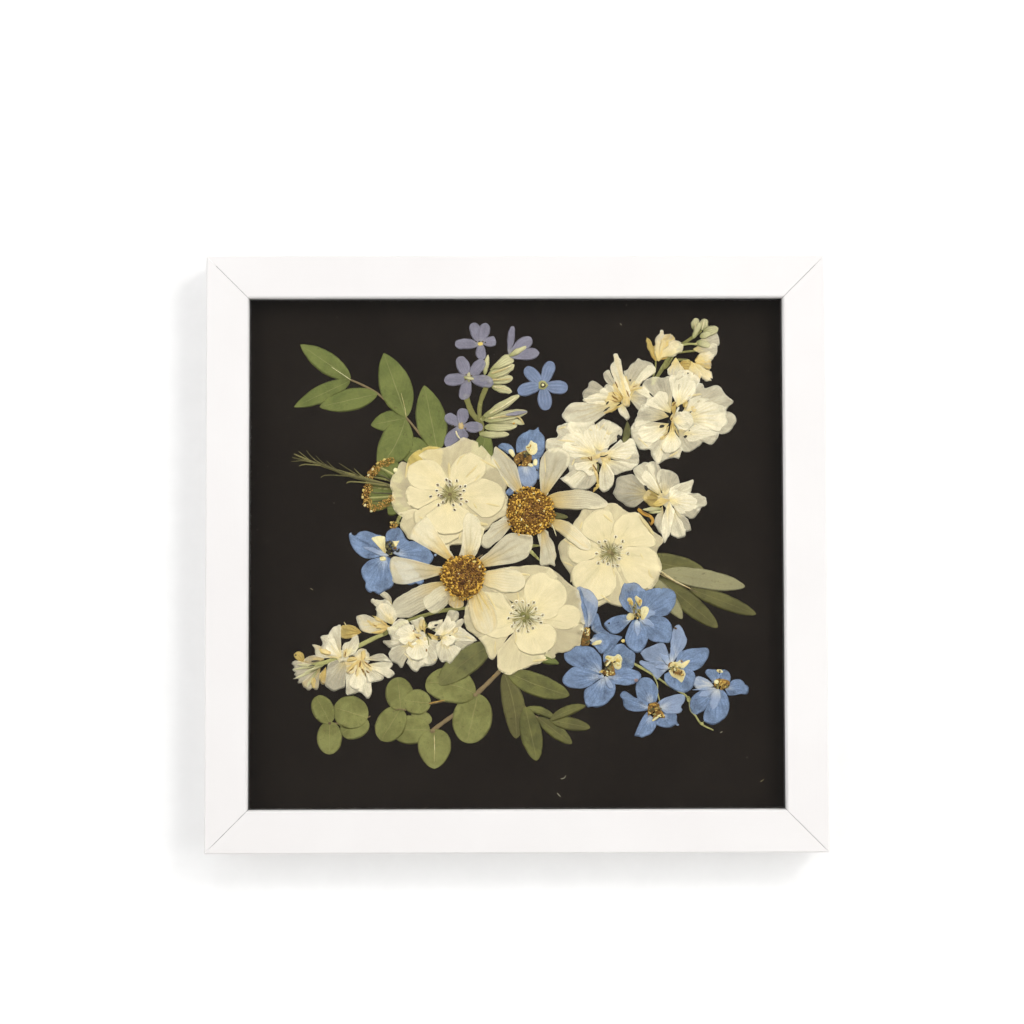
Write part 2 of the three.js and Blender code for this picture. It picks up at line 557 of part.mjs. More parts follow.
    name: 'eucalyptus_right', level: 1, look: eucalyptusGreen, steps: 4, flat: true,
    blades: [
      [-23.5, -80.5, -52, -74, 20.5, 'oval', -2], [-22, -80.5, -28.5, -108.5, 22.5, 'oval'],
      [-47, -100.5, -47, -123, 19, 'egg'],
    ],
    strands: [
      [2.4, 3.2, -9, -67, -17, -75, -24.5, -82], [2.4, 2.6, -33, -90.5, -40, -95.4, -48.5, -101.6],
      [1.4, 1.6, -40, -84, -44, -85, -50, -86],
    ],
  },
];

// ---------------------------------------------------------------- building
const root = new THREE.Group();
root.name = 'pressed_flower_frame';

function place(group, name, geometry, material) {
  const mesh = new THREE.Mesh(geometry, material);
  mesh.name = name;
  group.add(mesh);
}

// A rail is its cross-section swept along one side, with each point ending at its own mitre.
function rail(halfLength, halfAcross, turn) {
  const section = [
    [0, FRONT_Y + EDGE_CHAMFER], [EDGE_CHAMFER, FRONT_Y],
    [RAIL_FACE - EDGE_CHAMFER, FRONT_Y], [RAIL_FACE, FRONT_Y + EDGE_CHAMFER],
    [RAIL_FACE, GLASS_FRONT_Y], [RAIL_BODY, GLASS_FRONT_Y], [RAIL_BODY, 0], [0, 0],
  ];
  const count = section.length;
  const gap = MITRE_GAP / Math.SQRT2;
  const corner = (end, [inset, y]) => {
    const along = end * (halfLength - inset - gap);
    const across = halfAcross - inset;
    return [along * turn[0] + across * turn[1], y, across * turn[0] - along * turn[1]];
  };
  const points = [...section.map((p) => corner(-1, p)), ...section.map((p) => corner(1, p))];
  const faces = THREE.ShapeUtils.triangulateShape(section.map(([x, y]) => new THREE.Vector2(x, y)), []);
  const index = [];
  for (const [a, b, c] of faces) {
    index.push(a, b, c);
    index.push(count + c, count + b, count + a);
  }
  for (let i = 0; i < count; i++) {
    const next = (i + 1) % count;
    index.push(i, count + i, count + next, i, count + next, next);
  }
  const geometry = new THREE.BufferGeometry();
  geometry.setAttribute('position', new THREE.Float32BufferAttribute(points.flat(), 3));
  geometry.setIndex(index);
  const solid = toSolid(geometry);
  return solid.volume() > 0 ? geometry : flipped(geometry);
}

function flipped(geometry) {
  const array = geometry.index.array;
  for (let i = 0; i < array.length; i += 3) [array[i + 1], array[i + 2]] = [array[i + 2], array[i + 1]];
  return geometry;
}

function sheet(frontY, backY, inset = 0) {
  const x = SHEET_W / 2 - inset;
  const z = SHEET_H / 2 - inset;
  return box(-x, x, frontY, backY, -z, z);
}

function spacerRing() {
  const outer = toSolid(sheet(GLASS_BACK_Y, CARD_FRONT_Y));
  const x = OPENING_W / 2 + SPACER_SETBACK;
  const z = OPENING_H / 2 + SPACER_SETBACK;
  return toGeometry(outer.subtract(toSolid(box(-x, x, GLASS_BACK_Y - 1, CARD_FRONT_Y + 1, -z, z))));
}

function retainingTab(x, z, toX, toZ) {
  const side = new THREE.Vector2(-toZ, toX).multiplyScalar(TAB_WIDTH / 2);
  const base = new THREE.Vector2(x, z);
  const shoulder = base.clone().addScaledVector(new THREE.Vector2(toX, toZ), TAB_LENGTH * 0.62);
  const tip = base.clone().addScaledVector(new THREE.Vector2(toX, toZ), TAB_LENGTH);
  const outline = [
    base.clone().add(side), base.clone().sub(side), shoulder.clone().sub(side), tip,
    shoulder.clone().add(side),
  ];
  return slab(outline, BOARD_BACK_Y + TAB_THICK, TAB_THICK);
}

// The sawtooth hanger: two feet on the board and a raised bar with teeth along its lower edge.
function sawtoothHanger(topZ) {
  const half = HANGER_LENGTH / 2;
  const inner = half - HANGER_FOOT;
  const low = topZ - HANGER_HEIGHT;
  const pitch = (2 * inner) / HANGER_TEETH;
  const bar = [new THREE.Vector2(inner, topZ), new THREE.Vector2(-inner, topZ)];
  for (let i = 0; i < HANGER_TEETH; i++) {
    bar.push(new THREE.Vector2(-inner + i * pitch, low));
    bar.push(new THREE.Vector2(-inner + (i + 0.5) * pitch, low + pitch * 0.6));
  }
  bar.push(new THREE.Vector2(inner, low));
  const pieces = [toSolid(slab(bar, BOARD_BACK_Y + HANGER_RISE, HANGER_THICK))];
  for (const end of [-1, 1]) {
    const x0 = Math.min(end * inner, end * half);
    const foot = box(x0, x0 + HANGER_FOOT, BOARD_BACK_Y, BOARD_BACK_Y + HANGER_THICK, low, topZ);
    const riserX = end * inner;
    const riser = box(
      riserX - HANGER_THICK / 2, riserX + HANGER_THICK / 2,
      BOARD_BACK_Y, BOARD_BACK_Y + HANGER_RISE, low, topZ,
    );
    pieces.push(toSolid(foot), toSolid(riser));
  }
  return toGeometry(join(pieces));
}

function rivet(x, z) {
  const head = new THREE.CylinderGeometry(RIVET_RADIUS * 0.7, RIVET_RADIUS, RIVET_HEAD, 12);
  const y = BOARD_BACK_Y + HANGER_THICK + RIVET_HEAD / 2;
  return head.translate(x, y, z);
}

// Neighbouring petals of one flower lie a little higher and lower in turn, so that each edge shows.
function specimen(entry) {
  const backY = CARD_FRONT_Y - entry.level * LAYER_PITCH;
  const climb = SLAB - PETAL;
  const blades = entry.blades ?? [];
  const solids = blades.map((row, i) => {
    return toSolid(slab(blade(row, entry.steps), backY - (entry.flat ? 0 : climb * (i % 2)), PETAL));
  });
  for (const row of entry.strands ?? []) solids.push(toSolid(slab(strand(row), backY, PETAL)));
  for (const row of entry.discs ?? []) solids.push(toSolid(slab(disc(...row), backY, SLAB + 0.08)));
  for (const row of entry.hearts ?? []) solids.push(toSolid(slab(star(...row), backY, SLAB + 0.4)));
  if (entry.dome) {
    const [x, z, radius] = entry.dome;
    const top = backY - SLAB;
    solids.push(toSolid(slab(disc(x, z, radius, 18), backY, SLAB)));
    solids.push(toSolid(slab(disc(x, z, radius * 0.8, 14), top + 1.4, 1.4 + 0.08)));
  }
  return toGeometry(join(solids));
}

const frame = new THREE.Group();
frame.position.z = CENTRE_Z;
root.add(frame);

place(frame, 'frame_rail_top', rail(OUTER_W / 2, OUTER_H / 2, [1, 0]), whitePaint);
place(frame, 'frame_rail_bottom', rail(OUTER_W / 2, OUTER_H / 2, [-1, 0]), whitePaint);
place(frame, 'frame_rail_right', rail(OUTER_H / 2, OUTER_W / 2, [0, 1]), whitePaint);
place(frame, 'frame_rail_left', rail(OUTER_H / 2, OUTER_W / 2, [0, -1]), whitePaint);
place(frame, 'glass_pane', sheet(GLASS_FRONT_Y, GLASS_BACK_Y), clearGlass);
place(frame, 'spacer_ring', spacerRing(), blackSpacer);
place(frame, 'mount_card', sheet(CARD_FRONT_Y, CARD_BACK_Y), blackCard);
place(frame, 'back_board', sheet(CARD_BACK_Y, BOARD_BACK_Y), hardboard);

const wallX = OPENING_W / 2 + LIP_WIDTH;
const wallZ = OPENING_H / 2 + LIP_WIDTH;
const tabs = [
  [-90, wallZ, 0, -1], [90, wallZ, 0, -1], [-90, -wallZ, 0, 1], [90, -wallZ, 0, 1],
  [-wallX, 0, 1, 0], [wallX, 0, -1, 0],
];
tabs.forEach((row, i) => place(frame, `retaining_tab_${i + 1}`, retainingTab(...row), zinc));

const hangerTop = SHEET_H / 2 - HANGER_DROP;
place(frame, 'sawtooth_hanger', sawtoothHanger(hangerTop), zinc);
const rivetX = (HANGER_LENGTH - HANGER_FOOT) / 2 + 0.6;
place(frame, 'hanger_rivet_left', rivet(-rivetX, hangerTop - HANGER_HEIGHT / 2), zinc);
place(frame, 'hanger_rivet_right', rivet(rivetX, hangerTop - HANGER_HEIGHT / 2), zinc);

const flowers = new THREE.Group();
frame.add(flowers);
for (const entry of ARRANGEMENT) place(flowers, entry.name, specimen(entry), entry.look);

export default root;
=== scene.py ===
"""Pressed flower frame: the painted frame and its back are the CAD model's, and the flowers are laid here.

Every flower is built from blades, stems and lumps that are laid one on another on a pressing bed. The bed
remembers how high the pile is and what colour its top has, so each new petal drapes over what is under it
and lets a little of it show through.
"""
import math

import bpy
import numpy as np
from mathutils import Matrix, Vector


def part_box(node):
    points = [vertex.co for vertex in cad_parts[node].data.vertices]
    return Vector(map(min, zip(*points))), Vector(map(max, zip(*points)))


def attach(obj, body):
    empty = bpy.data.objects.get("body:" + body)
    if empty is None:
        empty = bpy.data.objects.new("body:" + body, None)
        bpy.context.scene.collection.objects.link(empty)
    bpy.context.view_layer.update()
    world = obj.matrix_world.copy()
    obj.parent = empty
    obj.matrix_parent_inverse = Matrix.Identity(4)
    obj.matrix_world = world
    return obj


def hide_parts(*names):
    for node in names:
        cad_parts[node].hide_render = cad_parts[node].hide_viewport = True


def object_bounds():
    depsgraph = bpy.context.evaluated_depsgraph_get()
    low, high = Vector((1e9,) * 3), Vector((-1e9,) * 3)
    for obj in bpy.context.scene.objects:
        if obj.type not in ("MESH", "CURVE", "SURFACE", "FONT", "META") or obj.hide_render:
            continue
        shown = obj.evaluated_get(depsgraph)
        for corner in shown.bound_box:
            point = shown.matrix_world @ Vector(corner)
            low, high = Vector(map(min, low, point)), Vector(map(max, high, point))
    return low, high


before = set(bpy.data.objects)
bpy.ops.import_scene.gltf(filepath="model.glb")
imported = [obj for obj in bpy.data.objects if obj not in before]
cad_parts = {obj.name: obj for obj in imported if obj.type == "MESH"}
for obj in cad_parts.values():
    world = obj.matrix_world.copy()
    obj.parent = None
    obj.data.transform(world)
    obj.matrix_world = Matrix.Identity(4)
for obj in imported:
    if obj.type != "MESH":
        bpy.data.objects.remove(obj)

CAD_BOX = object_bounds()

# ------------------------------------------------------------------------------- sizes (mm unless named)
MM = 0.001
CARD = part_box("mount_card")
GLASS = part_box("glass_pane")
CARD_FACE_Y = CARD[0].y
CENTRE_X = (CARD[0].x + CARD[1].x) / 2
CENTRE_Z = (CARD[0].z + CARD[1].z) / 2
SPACE = (CARD_FACE_Y - GLASS[1].y) / MM  # from the card to the glass

BED_CELL = 0.25
BED_HALF_W = 156
BED_HALF_H = 149
RIM_STEP = 0.5  # between the points of a traced outline
FAN_COARSER = 1.3  # how much larger the faces of a traced petal are than its finish says
DRAPE_REACH = 3  # cells over which a sheet smooths what lies under it
SHEET_GAP = 0.012  # left under a sheet
STEM_GAP = 0.03  # left under a stem
STEM_PRINTS = 9  # print points across a stem
STEM_RISE = 0.24  # the most that half a stem's thickness may be
# How near the glass the back of a sheet, its front, a stem or lump, and a floret may come.
LOW_TOP, SHEET_TOP, ROD_TOP, FLORET_TOP = SPACE - 0.2, SPACE - 0.15, SPACE - 0.1, SPACE - 0.08
PRINT_CELLS = 1.4  # print points for each cell of the bed, so that no cell is missed
CARD_COLOUR = (0.020, 0.0165, 0.0135)
ROOM_LIGHT = 1.42  # how much brighter than its own colour a surface looks under the lights below


def tone(red, green, blue):
    """The colour of a surface that looks like these 0 to 255 values under the light of the room."""
    return tuple(((v / 255 + 0.055) / 1.055) ** 2.4 / ROOM_LIGHT for v in (red, green, blue))


def put_down(x0, z0, x, z, angle):
    """The points x, z turned by an angle and put down at x0, z0."""
    return x0 + x * math.cos(angle) - z * math.sin(angle), z0 + x * math.sin(angle) + z * math.cos(angle)


# ------------------------------------------------------------------------------- the pressing bed
class Bed:
    """How high the pile of plants is above the card, and the colour of its top, on a fine grid."""

    def __init__(self):
        self.shape = (int(2 * BED_HALF_H / BED_CELL), int(2 * BED_HALF_W / BED_CELL))
        self.height = np.zeros(self.shape, np.float32)
        self.colour = np.empty(self.shape + (3,), np.float32)
        self.colour[:] = CARD_COLOUR

    def cells(self, x, z):
        """The grid cells that hold these points."""
        col = np.clip(((x + BED_HALF_W) / BED_CELL).astype(int), 0, self.shape[1] - 1)
        row = np.clip(((z + BED_HALF_H) / BED_CELL).astype(int), 0, self.shape[0] - 1)
        return row, col

    def drape(self, x, z, reach=DRAPE_REACH):
        """The height at which a soft sheet lies over the pile at these points."""
        row, col = self.cells(x, z)
        pad = 2 * reach + 1
        r0, r1 = max(row.min() - pad, 0), min(row.max() + pad + 1, self.shape[0])
        c0, c1 = max(col.min() - pad, 0), min(col.max() + pad + 1, self.shape[1])
        window = self.height[r0:r1, c0:c1]
        for axis in (0, 1):
            window = np.max([np.roll(window, k, axis) for k in range(-reach, reach + 1)], axis=0)
        for axis in (0, 1):
            window = np.mean([np.roll(window, k, axis) for k in range(-reach, reach + 1)], axis=0)
        return window[row - r0, col - c0]

    def seen(self, x, z):
        """The colour of the pile's top at these points."""
        return self.colour[self.cells(x, z)]

    def lay(self, x, z, top, colour, sheer):
        """Marks what has been laid. `colour` is one colour, or one for each point."""
        cell = self.cells(x, z)
        self.colour[cell] = self.colour[cell] * sheer + np.asarray(colour) * (1 - sheer)
        self.height[cell] = np.maximum(self.height[cell], top)

    def lay_disc(self, x0, z0, length, width, angle, top, colour):
        """Marks an oval. `top` gives its height from the distance to its middle, 0 to 1 at the rim."""
        grid = np.linspace(-1, 1, int(max(length, width) / BED_CELL) + 3)
        gx, gz = np.meshgrid(grid, grid)
        keep = gx ** 2 + gz ** 2 < 1
        gx, gz = gx[keep], gz[keep]
        x, z = put_down(x0, z0, gx * length / 2, gz * width / 2, angle)
        self.lay(x, z, top(np.hypot(gx, gz)), colour, 0)


BED = Bed()


# ------------------------------------------------------------------------------- gathering one plant's mesh
class Bundle:
    """The points and faces of one plant, with what its materials read."""

    def __init__(self):
        self.points, self.lay, self.under, self.tint = [], [], [], []
        self.quads, self.tris, self.quad_finish, self.tri_finish = [], [], [], []
        self.quad_smooth, self.tri_smooth = [], []
        self.finishes = []
        self.count = 0

    def finish_index(self, finish):
        """The material slot of a finish, a new one when the plant hasn't used it yet."""
        if finish not in self.finishes:
            self.finishes.append(finish)
        return self.finishes.index(finish)

    def add(self, x, z, height, quads, tris, finish, lay, tint, sheet=False):
        """Adds points and faces. A sheet's faces are its front and then its back, which is shaded flat so
        that the rim stays clean.
        """
        slot = self.finish_index(finish)
        self.points.append(np.stack([
            CENTRE_X + x * MM, CARD_FACE_Y - height * MM, CENTRE_Z + z * MM], axis=1))
        self.lay.append(lay)
        self.under.append(BED.seen(x, z))
        self.tint.append(np.broadcast_to(np.asarray(tint, np.float32), (len(x), 3)))
        for faces, held, finishes, smooth in (
                (quads, self.quads, self.quad_finish, self.quad_smooth),
                (tris, self.tris, self.tri_finish, self.tri_smooth)):
            if len(faces):
                held.append(np.asarray(faces) + self.count)
                finishes.append(np.full(len(faces), slot))
                smooth.append(np.arange(len(faces)) < len(faces) / (2 if sheet else 1))
        self.count += len(x)

    def build(self, name):
        """The plant as one object, with its map, its tint and the colour underneath on the mesh."""
        quads = np.concatenate(self.quads) if self.quads else np.zeros((0, 4), int)
        tris = np.concatenate(self.tris) if self.tris else np.zeros((0, 3), int)
        loops = np.concatenate([quads.ravel(), tris.ravel()])
        starts = np.concatenate([np.arange(len(quads)) * 4, 4 * len(quads) + np.arange(len(tris)) * 3])
        mesh = bpy.data.meshes.new(name)
        mesh.vertices.add(self.count)
        mesh.vertices.foreach_set("co", np.concatenate(self.points).astype(np.float32).ravel())
        mesh.loops.add(len(loops))
        mesh.loops.foreach_set("vertex_index", loops.astype(np.int32))
        mesh.polygons.add(len(starts))
        mesh.polygons.foreach_set("loop_start", starts.astype(np.int32))
        mesh.polygons.foreach_set("use_smooth", np.concatenate(self.quad_smooth + self.tri_smooth))
        mesh.polygons.foreach_set("material_index", np.concatenate(
            self.quad_finish + self.tri_finish).astype(np.int32))
        mesh.update(calc_edges=True)
        uv = mesh.uv_layers.new(name="lay")
        uv.data.foreach_set("uv", np.concatenate(self.lay)[loops].astype(np.float32).ravel())
        under = np.concatenate(self.under)
        colour = mesh.attributes.new("under", "FLOAT_COLOR", "POINT")
        colour.data.foreach_set("color", np.c_[under, np.ones(len(under))].astype(np.float32).ravel())
        tint = mesh.attributes.new("tint", "FLOAT_VECTOR", "POINT")
        tint.data.foreach_set("vector", np.concatenate(self.tint).astype(np.float32).ravel())
        for finish in self.finishes:
            mesh.materials.append(FINISHES[finish]["material"])
        piece = bpy.data.objects.new(name, mesh)
        bpy.context.scene.collection.objects.link(piece)
        return piece


# ------------------------------------------------------------------------------- forms
# The half width along a blade is t^a (1-t)^b, t running from base to tip.
FORM = {"round": (0.7, 0.42), "fan": (0.95, 0.36), "oval": (0.5, 0.5), "egg": (0.42, 0.62), "leaf": (0.72,
        0.85), "lance": (0.6, 0.62), "cone": (0.9, 0.25)}


def wave(t, phase, waves):
    """A lively line between -1 and 1: two sines that don't repeat together."""
    return 0.65 * np.sin(2 * np.pi * (waves * t + phase)) + 0.35 * np.sin(
        2 * np.pi * (2.3 * waves * t + 1.7 * phase))


def jag(t, chance, knots):
    """A line between -1 and 1 with corners in it, as a torn edge has."""
    return np.interp(t, np.linspace(0, 1, knots + 2), 2 * chance.random(knots + 2) - 1)


def blade_grid(row, style, chance, across, along):
    """Points of a blade on a grid, rows from base to tip and columns from left to right."""
    bx, bz, tx, tz, width = row[:5]
    form = row[5] if len(row) > 5 else "round"
    bend = row[6] if len(row) > 6 else 0
    a, b = FORM[form]
    peak = (a / (a + b)) ** a * (b / (a + b)) ** b
    axis = np.array([tx - bx, tz - bz], float)
    length = np.hypot(*axis)
    side = np.array([-axis[1], axis[0]]) / length
    t = (1 - np.cos(np.pi * np.arange(along + 1) / along)) / 2
    u = np.linspace(0, 1, across + 1)
    half = width / 2 * (t ** a * (1 - t) ** b / peak)
    phases = chance.random(4)
    fade = np.minimum(t * 2.5, 1) * np.minimum(half / 1.5, 1)
    knots = int(length / style["tooth"]) + 2
    left, right = (half + fade * (style["frill"] * wave(t, phases[i], style["waves"])
                                  + style["jag"] * jag(t, chance, knots)) for i in (0, 1))
    sway = bend * 4 * t * (1 - t)
    offset = sway[:, None] + left[:, None] * (1 - u) - right[:, None] * u
    tip = style["frill"] * wave(u, phases[2], style["waves"] * 0.6) + 1.5 * style["jag"] * jag(
        u, chance, int(row[4] / style["tooth"]) + 2)
    reach = t[:, None] + (tip * (1 - (2 * u - 1) ** 2) / length)[None] * t[:, None] ** 5
    x = bx + axis[0] * reach + side[0] * offset
    z = bz + axis[1] * reach + side[1] * offset
    return x, z, np.broadcast_to(u, x.shape), np.broadcast_to(t[:, None], x.shape)


def closed_grid(along, across):
    """Quads and triangles of a thin closed leaf whose front and back share their rim and two end points."""
    front = np.zeros((along + 1, across + 1), int)
    inner = np.arange((along - 1) * (across + 1)).reshape(along - 1, across + 1) + 2
    front[0], front[along] = 0, 1
    front[1:along] = inner
    back = front.copy()
    back[1:along, 1:across] = np.arange((along - 1) * (across - 1)).reshape(
        along - 1, across - 1) + inner.max() + 1
    quads, tris = [], []
    for grid, flip in ((front, False), (back, True)):
        q = np.stack([grid[1:-2, :-1], grid[1:-2, 1:], grid[2:-1, 1:], grid[2:-1, :-1]], -1).reshape(-1, 4)
        base = np.stack([np.zeros(across, int), grid[1, 1:], grid[1, :-1]], -1)
        tip = np.stack([np.ones(across, int), grid[-2, :-1], grid[-2, 1:]], -1)
        for faces, out in ((q, quads), (base, tris), (tip, tris)):
            out.append(faces[:, ::-1] if flip else faces)
    return np.concatenate(quads), np.concatenate(tris)


def draped(x, z, u, t, rim, style, seed):
    """Heights of the back and the front of a sheet laid on the pile. `rim` is 0 at its edge, 1 inside."""
    crinkle = style["crinkle"] * rim * (
        1 + wave(u * 0.9, seed, 1.4) * np.sin(np.pi * t) + 0.6 * wave(t, seed * 3, 1.3))
    low = np.minimum(BED.drape(x, z) + SHEET_GAP + crinkle, LOW_TOP)
    return low, np.minimum(low + style["thick"] * rim, SHEET_TOP)


def petals(bundle, finish, rows, chance):
    """Lays blades: [base x, base z, tip x, tip z, width, form, bend, shade, gold].

    shade runs from -1, thin and grey, to 1, thick and pale. gold is how stained it is.
    """
    style = FINISHES[finish]
    for row in rows:
        shade = row[7] if len(row) > 7 else 0
        gold = row[8] if len(row) > 8 else 0
        length = math.hypot(row[2] - row[0], row[3] - row[1])
        along = max(6, int(length / style["mesh"]) + 3)
        across = max(4, int(row[4] / style["mesh"]))
        seed = chance.random()
        state = chance.bit_generator.state
        x, z, u, t = blade_grid(row, style, chance, across, along)
        rim = np.minimum(1, 8 * t * (1 - t)) * (1 - np.abs(2 * u - 1) ** 4)
        low, top = draped(x, z, u, t, rim, style, seed)
        inner = (slice(1, along), slice(0, across + 1))
        back = (slice(1, along), slice(1, across))
        ends = [(0, across // 2), (along, across // 2)]

        def gather(on_front, on_back):
            tips = np.array([on_front[e] for e in ends])
            return np.concatenate([tips, on_front[inner].ravel(), on_back[back].ravel()])

        bundle.add(gather(x, x), gather(z, z), gather(top, low), *closed_grid(along, across), finish,
                   np.stack([gather(u, u), gather(t, t)], 1), (shade, gold, seed), sheet=True)
        chance.bit_generator.state = state  # so that the print has the same rim as the blade
        fine = int(max(length, row[4]) / BED_CELL * PRINT_CELLS) + 8
        print_blade(*blade_grid(row, style, chance, fine, fine), style, shade, gold)


def closed_fan(along, across):
    """Quads and triangles of a closed fan: all columns start in one point, front and back share the rim."""
    front = np.zeros((along + 1, across + 1), int)
    front[1:] = 1 + np.arange(along * (across + 1)).reshape(along, across + 1)
    back = front.copy()
    back[1:along, 1:across] = np.arange((along - 1) * (across - 1)).reshape(
        along - 1, across - 1) + front.max() + 1
    quads, tris = [], []
    for grid, step in ((front, 1), (back, -1)):
        q = np.stack([grid[1:-1, :-1], grid[1:-1, 1:], grid[2:, 1:], grid[2:, :-1]], -1).reshape(-1, 4)
        base = np.stack([np.zeros(across, int), grid[1, 1:], grid[1, :-1]], -1)
        quads.append(q[:, ::step])
        tris.append(base[:, ::step])
    return np.concatenate(quads), np.concatenate(tris)


def fan_grid(base, rim, across, along):
    """Rows from the base point out to the rim line, which is given as points on it."""
    u, t = np.linspace(0, 1, across + 1), np.linspace(0, 1, along + 1)
    run = np.r_[0, np.cumsum(np.hypot(*np.diff(rim, axis=0).T))]
    edge = [np.interp(u, run / run[-1], rim[:, i]) for i in (0, 1)]
    x = base[0] + (edge[0] - base[0]) * t[:, None]
    z = base[1] + (edge[1] - base[1]) * t[:, None]
    return x, z, np.broadcast_to(u, x.shape), np.broadcast_to(t[:, None], x.shape)


def fans(bundle, finish, rows, chance):
    """Lays petals of a given outline: [shade, gold, base x, base z, rim x, rim z, rim x, rim z, ...]."""
    style = FINISHES[finish]
    for row in rows:
        shade, gold = row[:2]
        base = np.array(row[2:4], float)
        rim = smooth_path(row[4:], RIM_STEP)
        spokes = rim - base
        if np.sum(spokes[:-1, 0] * spokes[1:, 1] - spokes[:-1, 1] * spokes[1:, 0]) > 0:
            rim = rim[::-1]
            spokes = spokes[::-1]
        reach = np.hypot(*spokes.T)
        run = np.linspace(0, 1, len(rim))
        seed = chance.random()
        ruffle = 0.4 * style["frill"] * wave(run, seed, len(rim) / 14) + 0.5 * style["jag"] * jag(
            run, chance, int(len(rim) * RIM_STEP / style["tooth"]) + 2)
        rim = rim + spokes / np.maximum(reach, 1)[:, None] * (ruffle * np.sin(np.pi * run) ** 0.5)[:, None]
        along = max(5, int(reach.max() / style["mesh"] / FAN_COARSER))
        across = max(8, int(len(rim) * RIM_STEP / style["mesh"] / FAN_COARSER))
        x, z, u, t = fan_grid(base, rim, across, along)
        inside = np.minimum(1, 6 * (1 - t)) * np.minimum(1, 8 * t) * (1 - np.abs(2 * u - 1) ** 8)
        low, top = draped(x, z, u, t, inside, style, seed)

        def gather(on_front, on_back):
            return np.concatenate([on_front[0, :1], on_front[1:].ravel(), on_back[1:along, 1:across].ravel()])

        bundle.add(gather(x, x), gather(z, z), gather(top, low), *closed_fan(along, across), finish,
                   np.stack([gather(u, u), gather(t, t)], 1), (shade, gold, seed), sheet=True)
        fine = fan_grid(base, rim, len(rim) * 3, int(reach.max() / BED_CELL * PRINT_CELLS) + 4)
        print_blade(*fine, style, shade, gold)


def print_blade(x, z, u, t, style, shade, gold):
    """Leaves the blade's colour and height on the bed. Its rim, partly painted edge light, shows through."""
    top = BED.drape(x, z) + style["thick"] + SHEET_GAP
    body = np.array(style["colour"])
    stain = np.array(style.get("stain", style["colour"]))
    colour = body + (stain - body) * min(1, gold) * 0.7
    # The rim is partly a dried margin and partly painted edge light, a seam that shows through later blades.
    rim = np.clip((np.maximum(np.abs(2 * u - 1), t ** 3) - 0.93) / 0.07, 0, 1)[..., None]
    painted = colour * (1 - rim) + np.array(style.get("rim", style["colour"])) * rim
    sheer = np.clip(style["sheer"] - 0.15 * shade, 0, 0.9)
    row, col = BED.cells(x.ravel(), z.ravel())
    _, first = np.unique(row * BED.shape[1] + col, return_index=True)
    BED.lay(x.ravel()[first], z.ravel()[first], top.ravel()[first], painted.reshape(-1, 3)[first], sheer)


def smooth_path(flat, step):
    """A Catmull-Rom line through the points of a flat list x, z, x, z, ..."""
    points = np.asarray(flat, float).reshape(-1, 2)
    ends = np.vstack([2 * points[0] - points[1], points, 2 * points[-1] - points[-2]])
    out = []
    for i in range(1, len(ends) - 2):
        p0, p1, p2, p3 = ends[i - 1:i + 3]
        count = max(2, int(np.hypot(*(p2 - p1)) / step))
        s = np.linspace(0, 1, count, endpoint=False)[:, None]
        out.append(0.5 * (2 * p1 + (p2 - p0) * s + (2 * p0 - 5 * p1 + 4 * p2 - p3) * s ** 2
                          + (3 * p1 - p0 - 3 * p2 + p3) * s ** 3))
    out.append(points[-1:])
    return np.vstack(out)


def stems(bundle, finish, rows, chance):
    """Lays stems: [width, end width, x, z, x, z, ...], each a flattened tube with closed ends."""
    style = FINISHES[finish]
    for row in rows:
        width, end_width = row[:2]
        path = smooth_path(row[2:], style.get("step", 1.2))
        count, sides = len(path), style.get("sides", 8)
        along = np.gradient(path, axis=0)
        along /= np.maximum(np.hypot(*along.T), 1e-9)[:, None]
        left = np.stack([-along[:, 1], along[:, 0]], 1)
        run = np.linspace(0, 1, count)
        seed = chance.random()
        half = (width + (end_width - width) * run) / 2 * (1 + 0.1 * wave(run, seed, 3))
        half[[0, -1]] *= 0.6
        rise = np.minimum(half * style.get("rise", 0.5), STEM_RISE)
        floor = BED.drape(path[:, 0], path[:, 1], 2) + STEM_GAP
        turn = 2 * np.pi * np.arange(sides) / sides
        x = path[:, :1] + left[:, :1] * half[:, None] * np.cos(turn)
        z = path[:, 1:] + left[:, 1:] * half[:, None] * np.cos(turn)
        h = np.minimum(floor[:, None] + rise[:, None] * (1 + np.sin(turn)), ROD_TOP)
        ring = np.arange(count * sides).reshape(count, sides) + 2
        nxt = np.roll(ring, -1, 1)
        quads = np.stack([ring[:-1], ring[1:], nxt[1:], nxt[:-1]], -1).reshape(-1, 4)
        start = np.stack([np.zeros(sides, int), ring[0], nxt[0]], -1)
        stop = np.stack([np.ones(sides, int), nxt[-1], ring[-1]], -1)
        mid = floor + rise
        px = np.concatenate([[path[0, 0], path[-1, 0]], x.ravel()])
        pz = np.concatenate([[path[0, 1], path[-1, 1]], z.ravel()])
        ph = np.concatenate([[mid[0], mid[-1]], h.ravel()])
        lay = np.stack([np.concatenate([[0.5, 0.5], np.tile(np.arange(sides) / sides, count)]),
                        np.concatenate([[0, 1], np.repeat(run, sides)])], 1)
        bundle.add(px, pz, ph, quads, np.concatenate([start, stop]), finish, lay, (0, 0, seed))
        if style.get("prints", True):
            spread = np.linspace(-1, 1, STEM_PRINTS)
            fine = smooth_path(row[2:], BED_CELL * 0.8)
            k = np.interp(np.linspace(0, 1, len(fine)), run, half)
            d = np.gradient(fine, axis=0)
            d /= np.maximum(np.hypot(*d.T), 1e-9)[:, None]
            fx = fine[:, :1] - d[:, 1:] * k[:, None] * spread
            fz = fine[:, 1:] + d[:, :1] * k[:, None] * spread
            top = np.interp(np.linspace(0, 1, len(fine)), run, floor + 2 * rise)[:, None] + 0 * fx
            BED.lay(fx.ravel(), fz.ravel(), top.ravel(), style["colour"], 0)


